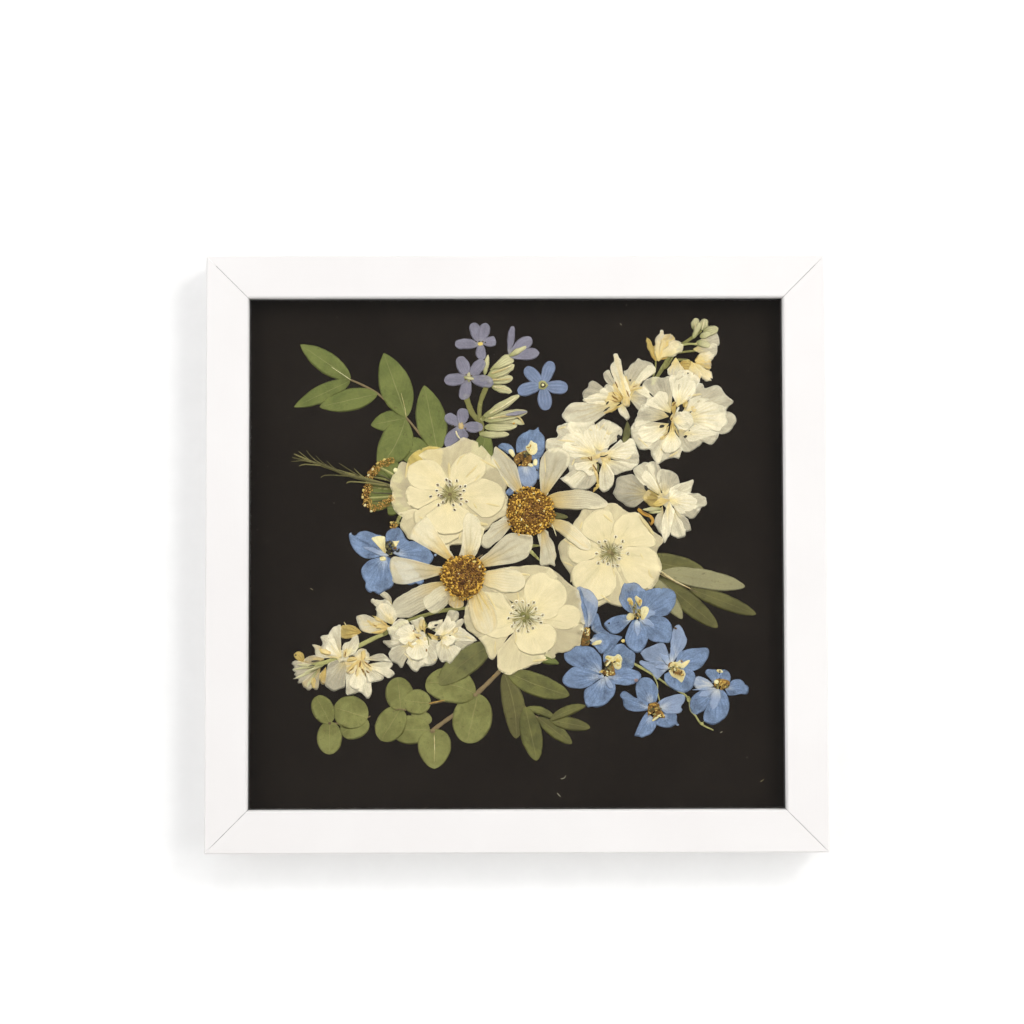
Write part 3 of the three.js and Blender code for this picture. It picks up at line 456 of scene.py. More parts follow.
def lumps(bundle, finish, rows, chance):
    """Lays lumps: [x, z, length, width, turn in degrees, height], rounded and a little uneven."""
    style = FINISHES[finish]
    rings, sides = style.get("rings", 6), style.get("sides", 10)
    for row in rows:
        x0, z0, length, width, turn = row[:5]
        rise = row[5] if len(row) > 5 else style.get("rise", 0.5)
        seed = chance.random(3)
        polar = np.pi * np.arange(1, rings) / rings
        around = 2 * np.pi * np.arange(sides) / sides
        rough = 1 + style.get("rough", 0.12) * (
            np.sin(3 * around + 6 * seed[0])[None] * np.sin(2 * polar + seed[1])[:, None]
            + 0.5 * np.sin(5 * around + 6 * seed[2])[None])
        out = np.sin(polar)[:, None] * rough
        lx = length / 2 * out * np.cos(around)
        lz = width / 2 * out * np.sin(around)
        angle = math.radians(turn)
        x, z = put_down(x0, z0, lx, lz, angle)
        floor = float(BED.drape(np.array([x0]), np.array([z0]), 2)[0])
        rise = min(rise, ROD_TOP - floor)
        h = floor + rise / 2 * (1 + np.cos(polar))[:, None] + 0 * x
        ring = np.arange((rings - 1) * sides).reshape(rings - 1, sides) + 2
        nxt = np.roll(ring, -1, 1)
        quads = np.stack([ring[:-1], nxt[:-1], nxt[1:], ring[1:]], -1).reshape(-1, 4)
        cap = np.stack([np.zeros(sides, int), nxt[0], ring[0]], -1)
        foot = np.stack([np.ones(sides, int), ring[-1], nxt[-1]], -1)
        px = np.concatenate([[x0, x0], x.ravel()])
        pz = np.concatenate([[z0, z0], z.ravel()])
        ph = np.concatenate([[floor + rise, floor], h.ravel()])
        lay = np.stack([np.concatenate([[0.5, 0.5], np.tile(np.arange(sides) / sides, rings - 1)]),
                        np.concatenate([[0, 1], np.repeat(polar / np.pi, sides)])], 1)
        bundle.add(px, pz, ph, quads[:, ::-1], np.concatenate([cap, foot])[:, ::-1], finish, lay,
                   (0, 0, seed[0]))
        BED.lay_disc(x0, z0, length, width, angle, lambda out: floor + rise * np.sqrt(
            np.maximum(0, 1 - out ** 2)), style["colour"])


def rays(bundle, finish, rows, chance):
    """Lays bursts of fine threads: [x, z, inner radius, outer radius, count, width]."""
    for x0, z0, inner, outer, count, width in rows:
        threads = []
        for i in range(count):
            angle = 2 * np.pi * (i + 0.7 * chance.random()) / count
            reach = outer * (0.6 + 0.4 * chance.random())
            start = inner * chance.random()
            swing = 0.35 * (chance.random() - 0.5)
            mid = (start + reach) / 2
            threads.append([
                width, width * 0.7,
                x0 + start * math.cos(angle), z0 + start * math.sin(angle),
                x0 + mid * math.cos(angle + swing * 0.5), z0 + mid * math.sin(angle + swing * 0.5),
                x0 + reach * math.cos(angle + swing), z0 + reach * math.sin(angle + swing)])
        stems(bundle, finish, threads, chance)


THREAD_START = 2.5  # how far from the flower's middle a stamen starts
THREAD_WIDTHS = (0.34, 0.26)
HALO_LENGTH, HALO_WIDTH = 2.3, 2.1  # the pale spot of pollen under an anther


def anthers(bundle, finish, rows, chance):
    """Lays single stamens: [flower x, flower z, x, z, x, z, ...], a thread to each point with its anther."""
    for row in rows:
        cx, cz = row[:2]
        for x, z in np.asarray(row[2:], float).reshape(-1, 2):
            angle = math.atan2(z - cz, x - cx)
            start = (cx + THREAD_START * math.cos(angle), cz + THREAD_START * math.sin(angle))
            swing = 0.5 * (chance.random() - 0.5)
            mid = ((start[0] + x) / 2 - swing * math.sin(angle), (start[1] + z) / 2 + swing * math.cos(angle))
            petals(bundle, "pollen", [[x - HALO_LENGTH / 2, z, x + HALO_LENGTH / 2, z, HALO_WIDTH, "oval"]],
                   chance)
            stems(bundle, "pale_thread", [[*THREAD_WIDTHS, *start, *mid, x, z]], chance)
            lumps(bundle, finish, [[x, z, 1.4 + 0.4 * chance.random(), 1.0,
                                    math.degrees(angle) + 60 * chance.random(), 0.4]], chance)


def clumps(bundle, finish, rows, chance):
    """Heaps small lumps of several finishes: [x, z, length, width, turn, count, lump size, finish, ...]."""
    for row in rows:
        x0, z0, length, width, turn, count, size = row[:7]
        angle = math.radians(turn)
        for _ in range(count):
            r, around = math.sqrt(chance.random()), 2 * math.pi * chance.random()
            lx, lz = length / 2 * r * math.cos(around), width / 2 * r * math.sin(around)
            grown = size * (0.5 + chance.random())
            lumps(bundle, row[7 + int(chance.random() * (len(row) - 7))], [[
                *put_down(x0, z0, lx, lz, angle), grown * 1.5, grown, 360 * chance.random(),
                0.3 + 0.25 * chance.random()]], chance)


# ------------------------------------------------------------------------------- florets by Geometry Nodes
BUD_DENSITY = 4e6  # tries for each square metre, far more than the spacing leaves
BUD_TURN = 3.1  # radians about a bud's own axis
BUD_SIZES = (0.6, 1.3)  # the smallest and the largest, as parts of the floret size


def floret_tree():
    """Small buds scattered over a surface and stood on it, each turned, leaned and sized by chance."""
    tree = bpy.data.node_groups.new("florets on a surface", "GeometryNodeTree")
    sockets = {}
    for name, kind, value in (
            ("Surface", "NodeSocketGeometry", None), ("Spacing", "NodeSocketFloat", 0.001),
            ("Floret size", "NodeSocketFloat", 0.0005), ("Floret length", "NodeSocketFloat", 1.4),
            ("Lean", "NodeSocketFloat", 0.5), ("Seed", "NodeSocketInt", 1),
            ("Finish", "NodeSocketMaterial", None)):
        socket = tree.interface.new_socket(name=name, in_out="INPUT", socket_type=kind)
        if value is not None:
            socket.default_value = value
        sockets[name] = socket.identifier
    tree.interface.new_socket(name="Florets", in_out="OUTPUT", socket_type="NodeSocketGeometry")
    kit = Kit(tree)
    given = kit.add("NodeGroupInput").outputs
    points = kit.add("GeometryNodeDistributePointsOnFaces", {
        "Mesh": given["Surface"], "Distance Min": given["Spacing"], "Density Max": BUD_DENSITY,
        "Seed": given["Seed"]}, distribute_method="POISSON")
    bud = kit.add("GeometryNodeMeshIcoSphere", {"Radius": 1.0, "Subdivisions": 1})
    shape = kit.add("GeometryNodeTransform", {
        "Geometry": bud.outputs["Mesh"], "Scale": kit.vector(1.0, 1.0, given["Floret length"])})
    other = kit.times(given["Lean"], -1.0)
    lean = kit.add("FunctionNodeRandomValue", data_type="FLOAT_VECTOR", inputs={
        "Min": kit.vector(other, other, 0.0), "Max": kit.vector(given["Lean"], given["Lean"], BUD_TURN),
        "Seed": given["Seed"]})
    turned = kit.add("FunctionNodeRotateRotation", {0: points.outputs["Rotation"], 1: lean.outputs["Value"]},
                     rotation_space="LOCAL")
    size = kit.add("FunctionNodeRandomValue", {"Seed": given["Seed"]}, data_type="FLOAT")
    for socket, value in zip([s for s in size.inputs if s.type == "VALUE"], BUD_SIZES):
        kit.put(socket, value)
    amount = next(s for s in size.outputs if s.type == "VALUE")
    placed = kit.add("GeometryNodeInstanceOnPoints", {
        "Points": points.outputs["Points"], "Instance": shape.outputs["Geometry"],
        "Rotation": turned.outputs[0], "Scale": kit.times(amount, given["Floret size"])})
    chance = kit.add("FunctionNodeRandomValue", {"Seed": given["Seed"]}, data_type="FLOAT_VECTOR")
    kept = kit.add("GeometryNodeStoreNamedAttribute", {
        "Geometry": placed.outputs["Instances"], "Name": "tint"}, data_type="FLOAT_VECTOR", domain="INSTANCE")
    kit.put(next(s for s in kept.inputs if s.name == "Value" and s.type == "VECTOR"), chance.outputs["Value"])
    real = kit.add("GeometryNodeRealizeInstances", {"Geometry": kept.outputs["Geometry"]})
    painted = kit.add("GeometryNodeSetMaterial", {
        "Geometry": real.outputs["Geometry"], "Material": given["Finish"]})
    kit.add("NodeGroupOutput", {"Florets": painted.outputs["Geometry"]})
    return tree, sockets


def florets(bundle, finish, rows, chance):
    """Covers domes with florets: [x, z, radius, rise, spacing, floret size, floret length, lean, seed]."""
    for x0, z0, radius, rise, spacing, size, length, lean, seed in rows:
        rings, sides = 7, 28
        r = radius * np.linspace(0, 1, rings + 1)[1:]
        around = 2 * np.pi * np.arange(sides) / sides
        uneven = 1 + 0.05 * np.sin(3 * around + seed) + 0.03 * np.sin(7 * around + 2 * seed)
        x = np.concatenate([[x0], (x0 + (r[:, None] * uneven) * np.cos(around)).ravel()])
        z = np.concatenate([[z0], (z0 + (r[:, None] * uneven) * np.sin(around)).ravel()])
        floor = float(np.median(BED.drape(x, z)))
        h = floor + rise * (1 - np.concatenate([[0], np.repeat((r / radius) ** 4, sides)]) * 0.8)
        ring = np.arange(rings * sides).reshape(rings, sides) + 1
        nxt = np.roll(ring, -1, 1)
        faces = [(0, int(a), int(b)) for a, b in zip(ring[0], nxt[0])]
        faces += [tuple(map(int, f)) for f in np.stack(
            [ring[:-1], ring[1:], nxt[1:], nxt[:-1]], -1).reshape(-1, 4)]
        points = [(CENTRE_X + a * MM, CARD_FACE_Y - c * MM, CENTRE_Z + b * MM) for a, b, c in zip(x, z, h)]
        mesh = bpy.data.meshes.new("floret bed")
        mesh.from_pydata(points, [], faces)
        scatter(bundle, finish, mesh, spacing, size, length, lean, seed)
        BED.lay_disc(x0, z0, 2 * radius, 2 * radius, 0, lambda out: floor + rise + 0 * out,
                     FINISHES[finish]["colour"])


def scatter(bundle, finish, mesh, spacing, size, length, lean, seed):
    """Runs the floret tree over a mesh and adds what it makes to the bundle."""
    tree, sockets = TREES["florets"]
    bed = bpy.data.objects.new("floret bed", mesh)
    bpy.context.scene.collection.objects.link(bed)
    modifier = bed.modifiers.new("florets", "NODES")
    modifier.node_group = tree
    for socket, value in (("Spacing", spacing * MM), ("Floret size", size * MM), ("Seed", int(seed)),
                          ("Floret length", float(length)), ("Lean", float(lean)),
                          ("Finish", FINISHES[finish]["material"])):
        modifier[sockets[socket]] = value
    shown = bed.evaluated_get(bpy.context.evaluated_depsgraph_get())
    made = bpy.data.meshes.new_from_object(shown)
    bed.modifiers.remove(modifier)
    co = np.zeros(len(made.vertices) * 3, np.float32)
    made.vertices.foreach_get("co", co)
    co = co.reshape(-1, 3)
    tris = np.zeros(len(made.polygons) * 3, np.int32)
    made.polygons.foreach_get("vertices", tris)
    tint = np.zeros(len(made.vertices) * 3, np.float32)
    if "tint" in made.attributes:
        made.attributes["tint"].data.foreach_get("vector", tint)
    x = (co[:, 0] - CENTRE_X) / MM
    z = (co[:, 2] - CENTRE_Z) / MM
    h = np.minimum((CARD_FACE_Y - co[:, 1]) / MM, FLORET_TOP)
    bundle.add(x, z, h, [], tris.reshape(-1, 3), finish, np.zeros((len(x), 2)), tint.reshape(-1, 3))
    bpy.data.objects.remove(bed)
    bpy.data.meshes.remove(made)
    bpy.data.meshes.remove(mesh)


# ------------------------------------------------------------------------------- node helpers
class Kit:
    """Short calls that add nodes to a tree and join them. A value may be a number, colour or socket."""

    def __init__(self, tree):
        self.tree = tree

    def add(self, kind, inputs=None, **settings):
        """A new node with these settings, and values or other nodes' outputs for its inputs."""
        node = self.tree.nodes.new(kind)
        for name, value in settings.items():
            setattr(node, name, value)
        for key, value in (inputs or {}).items():
            self.put(node.inputs[key], value)
        return node

    def put(self, socket, value):
        """Sets an input, or joins it when the value is another node's output."""
        if isinstance(value, bpy.types.NodeSocket):
            self.tree.links.new(value, socket)
        elif socket.type == "RGBA" and len(value) == 3:
            socket.default_value = (*value, 1)
        else:
            socket.default_value = value

    def maths(self, operation, *values, clamp=False):
        return self.add("ShaderNodeMath", dict(enumerate(values)), operation=operation,
                        use_clamp=clamp).outputs[0]

    def times(self, first, second):
        return self.maths("MULTIPLY", first, second)

    def plus(self, first, second):
        return self.maths("ADD", first, second)

    def minus(self, first, second, clamp=False):
        return self.maths("SUBTRACT", first, second, clamp=clamp)

    def swing(self, value, amount):
        """How far a value between 0 and 1 lies from its middle, times an amount."""
        return self.times(self.minus(value, 0.5), amount)

    def lit(self, colour, light):
        """The colour made lighter or darker by a number near 1."""
        return self.blend(1.0, colour, self.vector(light, light, light), "MULTIPLY")

    def blend(self, amount, first, second, kind="MIX"):
        """The first colour with an amount of the second in it."""
        return self.add("ShaderNodeMix", {"Factor": amount, 6: first, 7: second}, data_type="RGBA",
                        blend_type=kind, clamp_factor=True).outputs[2]

    def span(self, value, low, high, to_low=0.0, to_high=1.0):
        """The value's place between low and high, on a soft curve."""
        given = dict(enumerate((value, low, high, to_low, to_high)))
        return self.add("ShaderNodeMapRange", given, interpolation_type="SMOOTHSTEP").outputs[0]

    def noise(self, place, scale, detail=3.0, rough=0.55, bend=0.0):
        """Noise between 0 and 1, its scale in patches for each metre."""
        return self.add("ShaderNodeTexNoise", {
            "Vector": place, "Scale": scale, "Detail": detail, "Roughness": rough,
            "Distortion": bend}).outputs["Fac"]

    def parts(self, vector):
        """The three numbers of a vector."""
        return tuple(self.add("ShaderNodeSeparateXYZ", {0: vector}).outputs)

    def vector(self, x, y, z):
        return self.add("ShaderNodeCombineXYZ", {0: x, 1: y, 2: z}).outputs[0]


GROUPS = {}
TREES = {}


def shader_group(name, inputs, outputs, build):
    """Makes a node group with named inputs and keeps it in GROUPS. `build` returns its outputs."""
    tree = bpy.data.node_groups.new(name, "ShaderNodeTree")
    for socket, value in inputs.items():
        kind = ("NodeSocketFloat" if isinstance(value, (int, float))
                else "NodeSocketColor" if len(value) == 4 else "NodeSocketVector")
        made = tree.interface.new_socket(name=socket, in_out="INPUT", socket_type=kind)
        made.default_value = value
    for socket, kind in outputs.items():
        tree.interface.new_socket(name=socket, in_out="OUTPUT", socket_type=kind)
    kit = Kit(tree)
    given = kit.add("NodeGroupInput").outputs
    kit.add("NodeGroupOutput", build(kit, given))
    GROUPS[name] = tree


def use_group(kit, name, **values):
    """The outputs of a group node. An underscore in a name stands for the space in the input's name."""
    given = {socket.replace("_", " "): value for socket, value in values.items()}
    return kit.add("ShaderNodeGroup", given, node_tree=GROUPS[name]).outputs


GREY = (0.5, 0.5, 0.5, 1)
FULL_TURN = 6.2832


def petal_pattern(kit, given):
    """Veins that fan from the base, a tinted base, soft streaks, stains and a rim, partly painted edge light.
    """
    u, t, _ = kit.parts(given["Lay"])
    shade, gold, seed = kit.parts(given["Tint"])
    offset = kit.times(seed, 40.0)
    streak_place = kit.vector(kit.times(u, 7.0), kit.times(t, 1.6), offset)
    streak = kit.noise(streak_place, 1.0, 3.0, 0.6, 0.4)
    patch = kit.noise(given["Place"], 170.0, 3.0, 0.55)
    grain = kit.noise(given["Place"], 1400.0, 2.0, 0.6)
    wander = kit.swing(patch, 0.09)
    phase = kit.times(kit.plus(u, wander), given["Vein count"])
    ripple = kit.maths("SINE", kit.times(phase, FULL_TURN))
    line = kit.maths("POWER", kit.maths("ABSOLUTE", ripple), 9.0)
    fade = kit.span(t, 1.0, 0.55)
    veins = kit.times(kit.times(line, fade), given["Vein strength"])
    reach = kit.plus(given["Base reach"], kit.times(gold, 0.35))
    base = kit.times(kit.span(kit.minus(t, kit.times(streak, 0.25)),
                                          reach, -0.12), given["Base amount"])
    colour = kit.blend(base, given["Body"], given["Base"])
    stain = kit.times(kit.span(kit.plus(streak, kit.times(gold, 0.45)),
                                           0.62, 0.95), kit.maths("MINIMUM", gold, 1.0))
    colour = kit.blend(stain, colour, given["Stain"])
    colour = kit.blend(veins, colour, given["Vein"])
    light = kit.plus(kit.swing(streak, given["Streaks"]),
                      kit.swing(patch, given["Patches"]))
    light = kit.plus(light, kit.swing(grain, given["Grain"]))
    light = kit.plus(kit.plus(light, 1.0), kit.times(shade, 0.05))
    colour = kit.lit(colour, light)
    side = kit.maths("ABSOLUTE", kit.minus(kit.times(u, 2.0), 1.0))
    # The rim colour is partly a dried margin and partly painted light along the edge: lighter on most
    # finishes, darker on the blue ones.
    rim = kit.maths("MAXIMUM", kit.span(side, 0.88, 1.0), kit.span(t, 0.965, 1.0))
    colour = kit.blend(kit.times(rim, given["Rim amount"]), colour, given["Rim"])
    dense = kit.plus(kit.swing(streak, 0.5),
                      kit.plus(kit.times(base, 0.3), kit.times(rim, 0.3)))
    height = kit.plus(kit.times(veins, 0.6), kit.plus(streak, grain))
    return {"Colour": colour, "Density": dense, "Height": height}


def leaf_pattern(kit, given):
    """A midrib, slanting side veins, blotches, specks and a dry rim."""
    u, t, _ = kit.parts(given["Lay"])
    shade, _, _ = kit.parts(given["Tint"])
    patch = kit.noise(given["Place"], 110.0, 4.0, 0.6, 0.3)
    grain = kit.noise(given["Place"], 1500.0, 2.0, 0.7)
    side = kit.maths("ABSOLUTE", kit.minus(u, 0.5))
    rib = kit.span(side, kit.plus(kit.times(t, -0.018), 0.034), 0.006)
    slant = kit.minus(kit.times(t, given["Side veins"]),
                      kit.times(side, kit.times(given["Side veins"], 0.75)))
    bent = kit.plus(slant, kit.times(patch, 0.5))
    gap = kit.maths("ABSOLUTE", kit.minus(kit.maths("FRACT", bent), 0.5))
    branch = kit.times(kit.span(gap, 0.09, 0.0), given["Side amount"])
    colour = kit.blend(kit.span(patch, 0.32, 0.68), given["Dark"], given["Light"])
    colour = kit.blend(kit.times(kit.maths("ABSOLUTE", shade), 0.5), colour, given["Turned"])
    colour = kit.blend(branch, colour, given["Vein"])
    specks = kit.noise(given["Place"], 460.0, 3.0, 0.55)
    colour = kit.blend(kit.times(kit.span(specks, 0.60, 0.72), given["Speck amount"]),
                       colour, given["Speck"])
    rim = kit.maths("MAXIMUM", kit.span(side, 0.465, 0.5), kit.span(t, 0.975, 1.0))
    colour = kit.blend(kit.times(rim, 0.35), colour, given["Speck"])
    colour = kit.blend(kit.times(rib, given["Rib amount"]), colour, given["Vein"])
    light = kit.plus(1.0, kit.swing(grain, 0.5))
    colour = kit.lit(colour, light)
    height = kit.plus(kit.times(rib, 1.2),
                       kit.plus(kit.times(branch, 0.5), kit.times(grain, 0.5)))
    return {"Colour": colour, "Height": height}


def show_through(kit, given):
    """What lies under a thin blade, mixed in by how sheer the blade is."""
    shade, _, _ = kit.parts(given["Tint"])
    sheer = kit.minus(given["Sheer"], kit.times(shade, 0.15))
    sheer = kit.minus(sheer, kit.times(given["Density"], 0.35), clamp=True)
    return {"Colour": kit.blend(sheer, given["Colour"], given["Under"])}


def mottle(kit, given):
    """Two colours in patches of a chosen size, with fine grain over them."""
    _, _, seed = kit.parts(given["Tint"])
    patch = kit.noise(given["Place"], given["Patch scale"], 4.0, 0.6, 0.4)
    mixed = kit.plus(patch, kit.swing(seed, given["By piece"]))
    colour = kit.blend(kit.span(mixed, 0.35, 0.65), given["First"], given["Second"])
    grain = kit.noise(given["Place"], 1800.0, 2.0, 0.6)
    light = kit.plus(1.0, kit.swing(grain, given["Grain"]))
    return {"Colour": kit.lit(colour, light), "Height": grain}


def painted_grain(kit, given):
    """The grain of wood and the drag of a brush under paint, running along one direction."""
    drawn = kit.add("ShaderNodeVectorMath", {0: given["Place"], 1: given["Stretch"]}, operation="MULTIPLY")
    lines = kit.noise(drawn.outputs[0], 900.0, 4.0, 0.65, 0.2)
    broad = kit.noise(given["Place"], 14.0, 2.0, 0.5)
    return {"Lines": lines, "Cloud": broad}


def build_groups():
    """The node groups that the materials share."""
    colour, number = "NodeSocketColor", "NodeSocketFloat"
    shader_group("petal pattern", {
        "Lay": (0, 0, 0), "Place": (0, 0, 0), "Tint": (0, 0, 0), "Body": GREY, "Base": GREY, "Stain": GREY,
        "Vein": GREY, "Rim": GREY, "Vein count": 8.0, "Vein strength": 0.2, "Base reach": 0.3,
        "Base amount": 0.6, "Streaks": 0.2, "Patches": 0.1, "Grain": 0.1, "Rim amount": 0.2,
    }, {"Colour": colour, "Density": number, "Height": number}, petal_pattern)
    shader_group("leaf pattern", {
        "Lay": (0, 0, 0), "Place": (0, 0, 0), "Tint": (0, 0, 0), "Dark": GREY, "Light": GREY, "Vein": GREY,
        "Turned": GREY, "Speck": GREY, "Side veins": 8.0, "Side amount": 0.2, "Rib amount": 0.7,
        "Speck amount": 0.4,
    }, {"Colour": colour, "Height": number}, leaf_pattern)
    shader_group("show through", {
        "Colour": GREY, "Under": GREY, "Tint": (0, 0, 0), "Density": 0.0, "Sheer": 0.3,
    }, {"Colour": colour}, show_through)
    shader_group("mottle", {
        "Place": (0, 0, 0), "Tint": (0, 0, 0), "First": GREY, "Second": GREY, "Patch scale": 300.0,
        "By piece": 0.5, "Grain": 0.3,
    }, {"Colour": colour, "Height": number}, mottle)
    shader_group("painted grain", {"Place": (0, 0, 0), "Stretch": (1, 1, 1)},
                 {"Lines": number, "Cloud": number}, painted_grain)


def new_material(name, roughness=0.6, **constants):
    material = bpy.data.materials.new(name)
    material.use_nodes = True
    kit = Kit(material.node_tree)
    shader = material.node_tree.nodes["Principled BSDF"]
    shader.inputs["Roughness"].default_value = roughness
    for socket, value in constants.items():
        shader.inputs[socket.replace("_", " ")].default_value = value
    place = kit.add("ShaderNodeTexCoord").outputs["Object"]
    return material, kit, shader, place


def bump(kit, shader, height, strength, distance):
    """Roughens the look of a surface by a height pattern."""
    node = kit.add("ShaderNodeBump", {"Height": height, "Strength": strength, "Distance": distance})
    kit.put(shader.inputs["Normal"], node.outputs["Normal"])


def laid_inputs(kit):
    """The blade's own map, and the tint and the colour underneath that the bed gave it."""
    lay = kit.add("ShaderNodeUVMap", uv_map="lay").outputs["UV"]
    tint = kit.add("ShaderNodeAttribute", attribute_name="tint").outputs["Vector"]
    under = kit.add("ShaderNodeAttribute", attribute_name="under").outputs["Color"]
    return lay, tint, under


def petal_material(name, style):
    material, kit, shader, place = new_material(name, 0.7, Specular_IOR_Level=0.15)
    lay, tint, under = laid_inputs(kit)
    pattern = use_group(kit, "petal pattern", Lay=lay, Place=place, Tint=tint, Body=style["colour"],
                        Base=style["base"], Stain=style["stain"], Vein=style["vein"], Rim=style["rim"],
                        **style["pattern"])
    shown = use_group(kit, "show through", Colour=pattern["Colour"], Under=under, Tint=tint,
                      Density=pattern["Density"], Sheer=style["sheer"])
    kit.put(shader.inputs["Base Color"], shown["Colour"])
    bump(kit, shader, pattern["Height"], 0.25, 0.0002)
    return material


def leaf_material(name, style):
    material, kit, shader, place = new_material(name, 0.7, Specular_IOR_Level=0.15)
    lay, tint, under = laid_inputs(kit)
    pattern = use_group(kit, "leaf pattern", Lay=lay, Place=place, Tint=tint, Dark=style["dark"],
                        Light=style["colour"], Vein=style["vein"], Turned=style["turned"],
                        Speck=style["speck"], **style["pattern"])
    shown = use_group(kit, "show through", Colour=pattern["Colour"], Under=under, Tint=tint, Density=0.0,
                      Sheer=style["sheer"])
    kit.put(shader.inputs["Base Color"], shown["Colour"])
    bump(kit, shader, pattern["Height"], 0.4, 0.0002)
    return material


def mottled_material(name, style):
    material, kit, shader, place = new_material(name, 0.75, Specular_IOR_Level=0.2)
    tint = kit.add("ShaderNodeAttribute", attribute_name="tint").outputs["Vector"]
    spots = use_group(kit, "mottle", Place=place, Tint=tint, First=style["dark"], Second=style["colour"],
                      Patch_scale=400.0, By_piece=style.get("by_piece", 0.6),
                      Grain=style.get("grain", 0.5))
    kit.put(shader.inputs["Base Color"], spots["Colour"])
    bump(kit, shader, spots["Height"], 0.4, 0.00015)
    return material


# ------------------------------------------------------------------------------- finishes of the plants
PETAL = {"kind": petal_material, "thick": 0.05, "mesh": 1.0, "frill": 0.4, "waves": 2.0, "crinkle": 0.02,
         "jag": 0.2, "tooth": 2.4}
LEAF = {"kind": leaf_material, "thick": 0.12, "mesh": 1.3, "frill": 0.10, "waves": 3.0, "crinkle": 0.03,
        "jag": 0.12, "tooth": 2.0, "sheer": 0.04}
PETAL_PATTERN = ("Vein_count", "Vein_strength", "Base_reach", "Base_amount", "Streaks", "Patches", "Grain",
                 "Rim_amount")
LEAF_PATTERN = ("Side_veins", "Side_amount", "Rib_amount", "Speck_amount")


def petal(colour, base, stain, vein, rim, pattern, **more):
    return {**PETAL, "colour": tone(*colour), "base": tone(*base), "stain": tone(*stain), "vein": tone(*vein),
            "rim": tone(*rim), "pattern": dict(zip(PETAL_PATTERN, pattern)), **more}


def leaf(colour, dark, vein, turned_over, speck, pattern, **more):
    return {**LEAF, "colour": tone(*colour), "dark": tone(*dark), "vein": tone(*vein),
            "turned": tone(*turned_over), "speck": tone(*speck), "pattern": dict(zip(LEAF_PATTERN, pattern)),
            **more}


def plain(colour, dark, **more):
    return {"kind": mottled_material, "colour": tone(*colour), "dark": tone(*dark), **more}
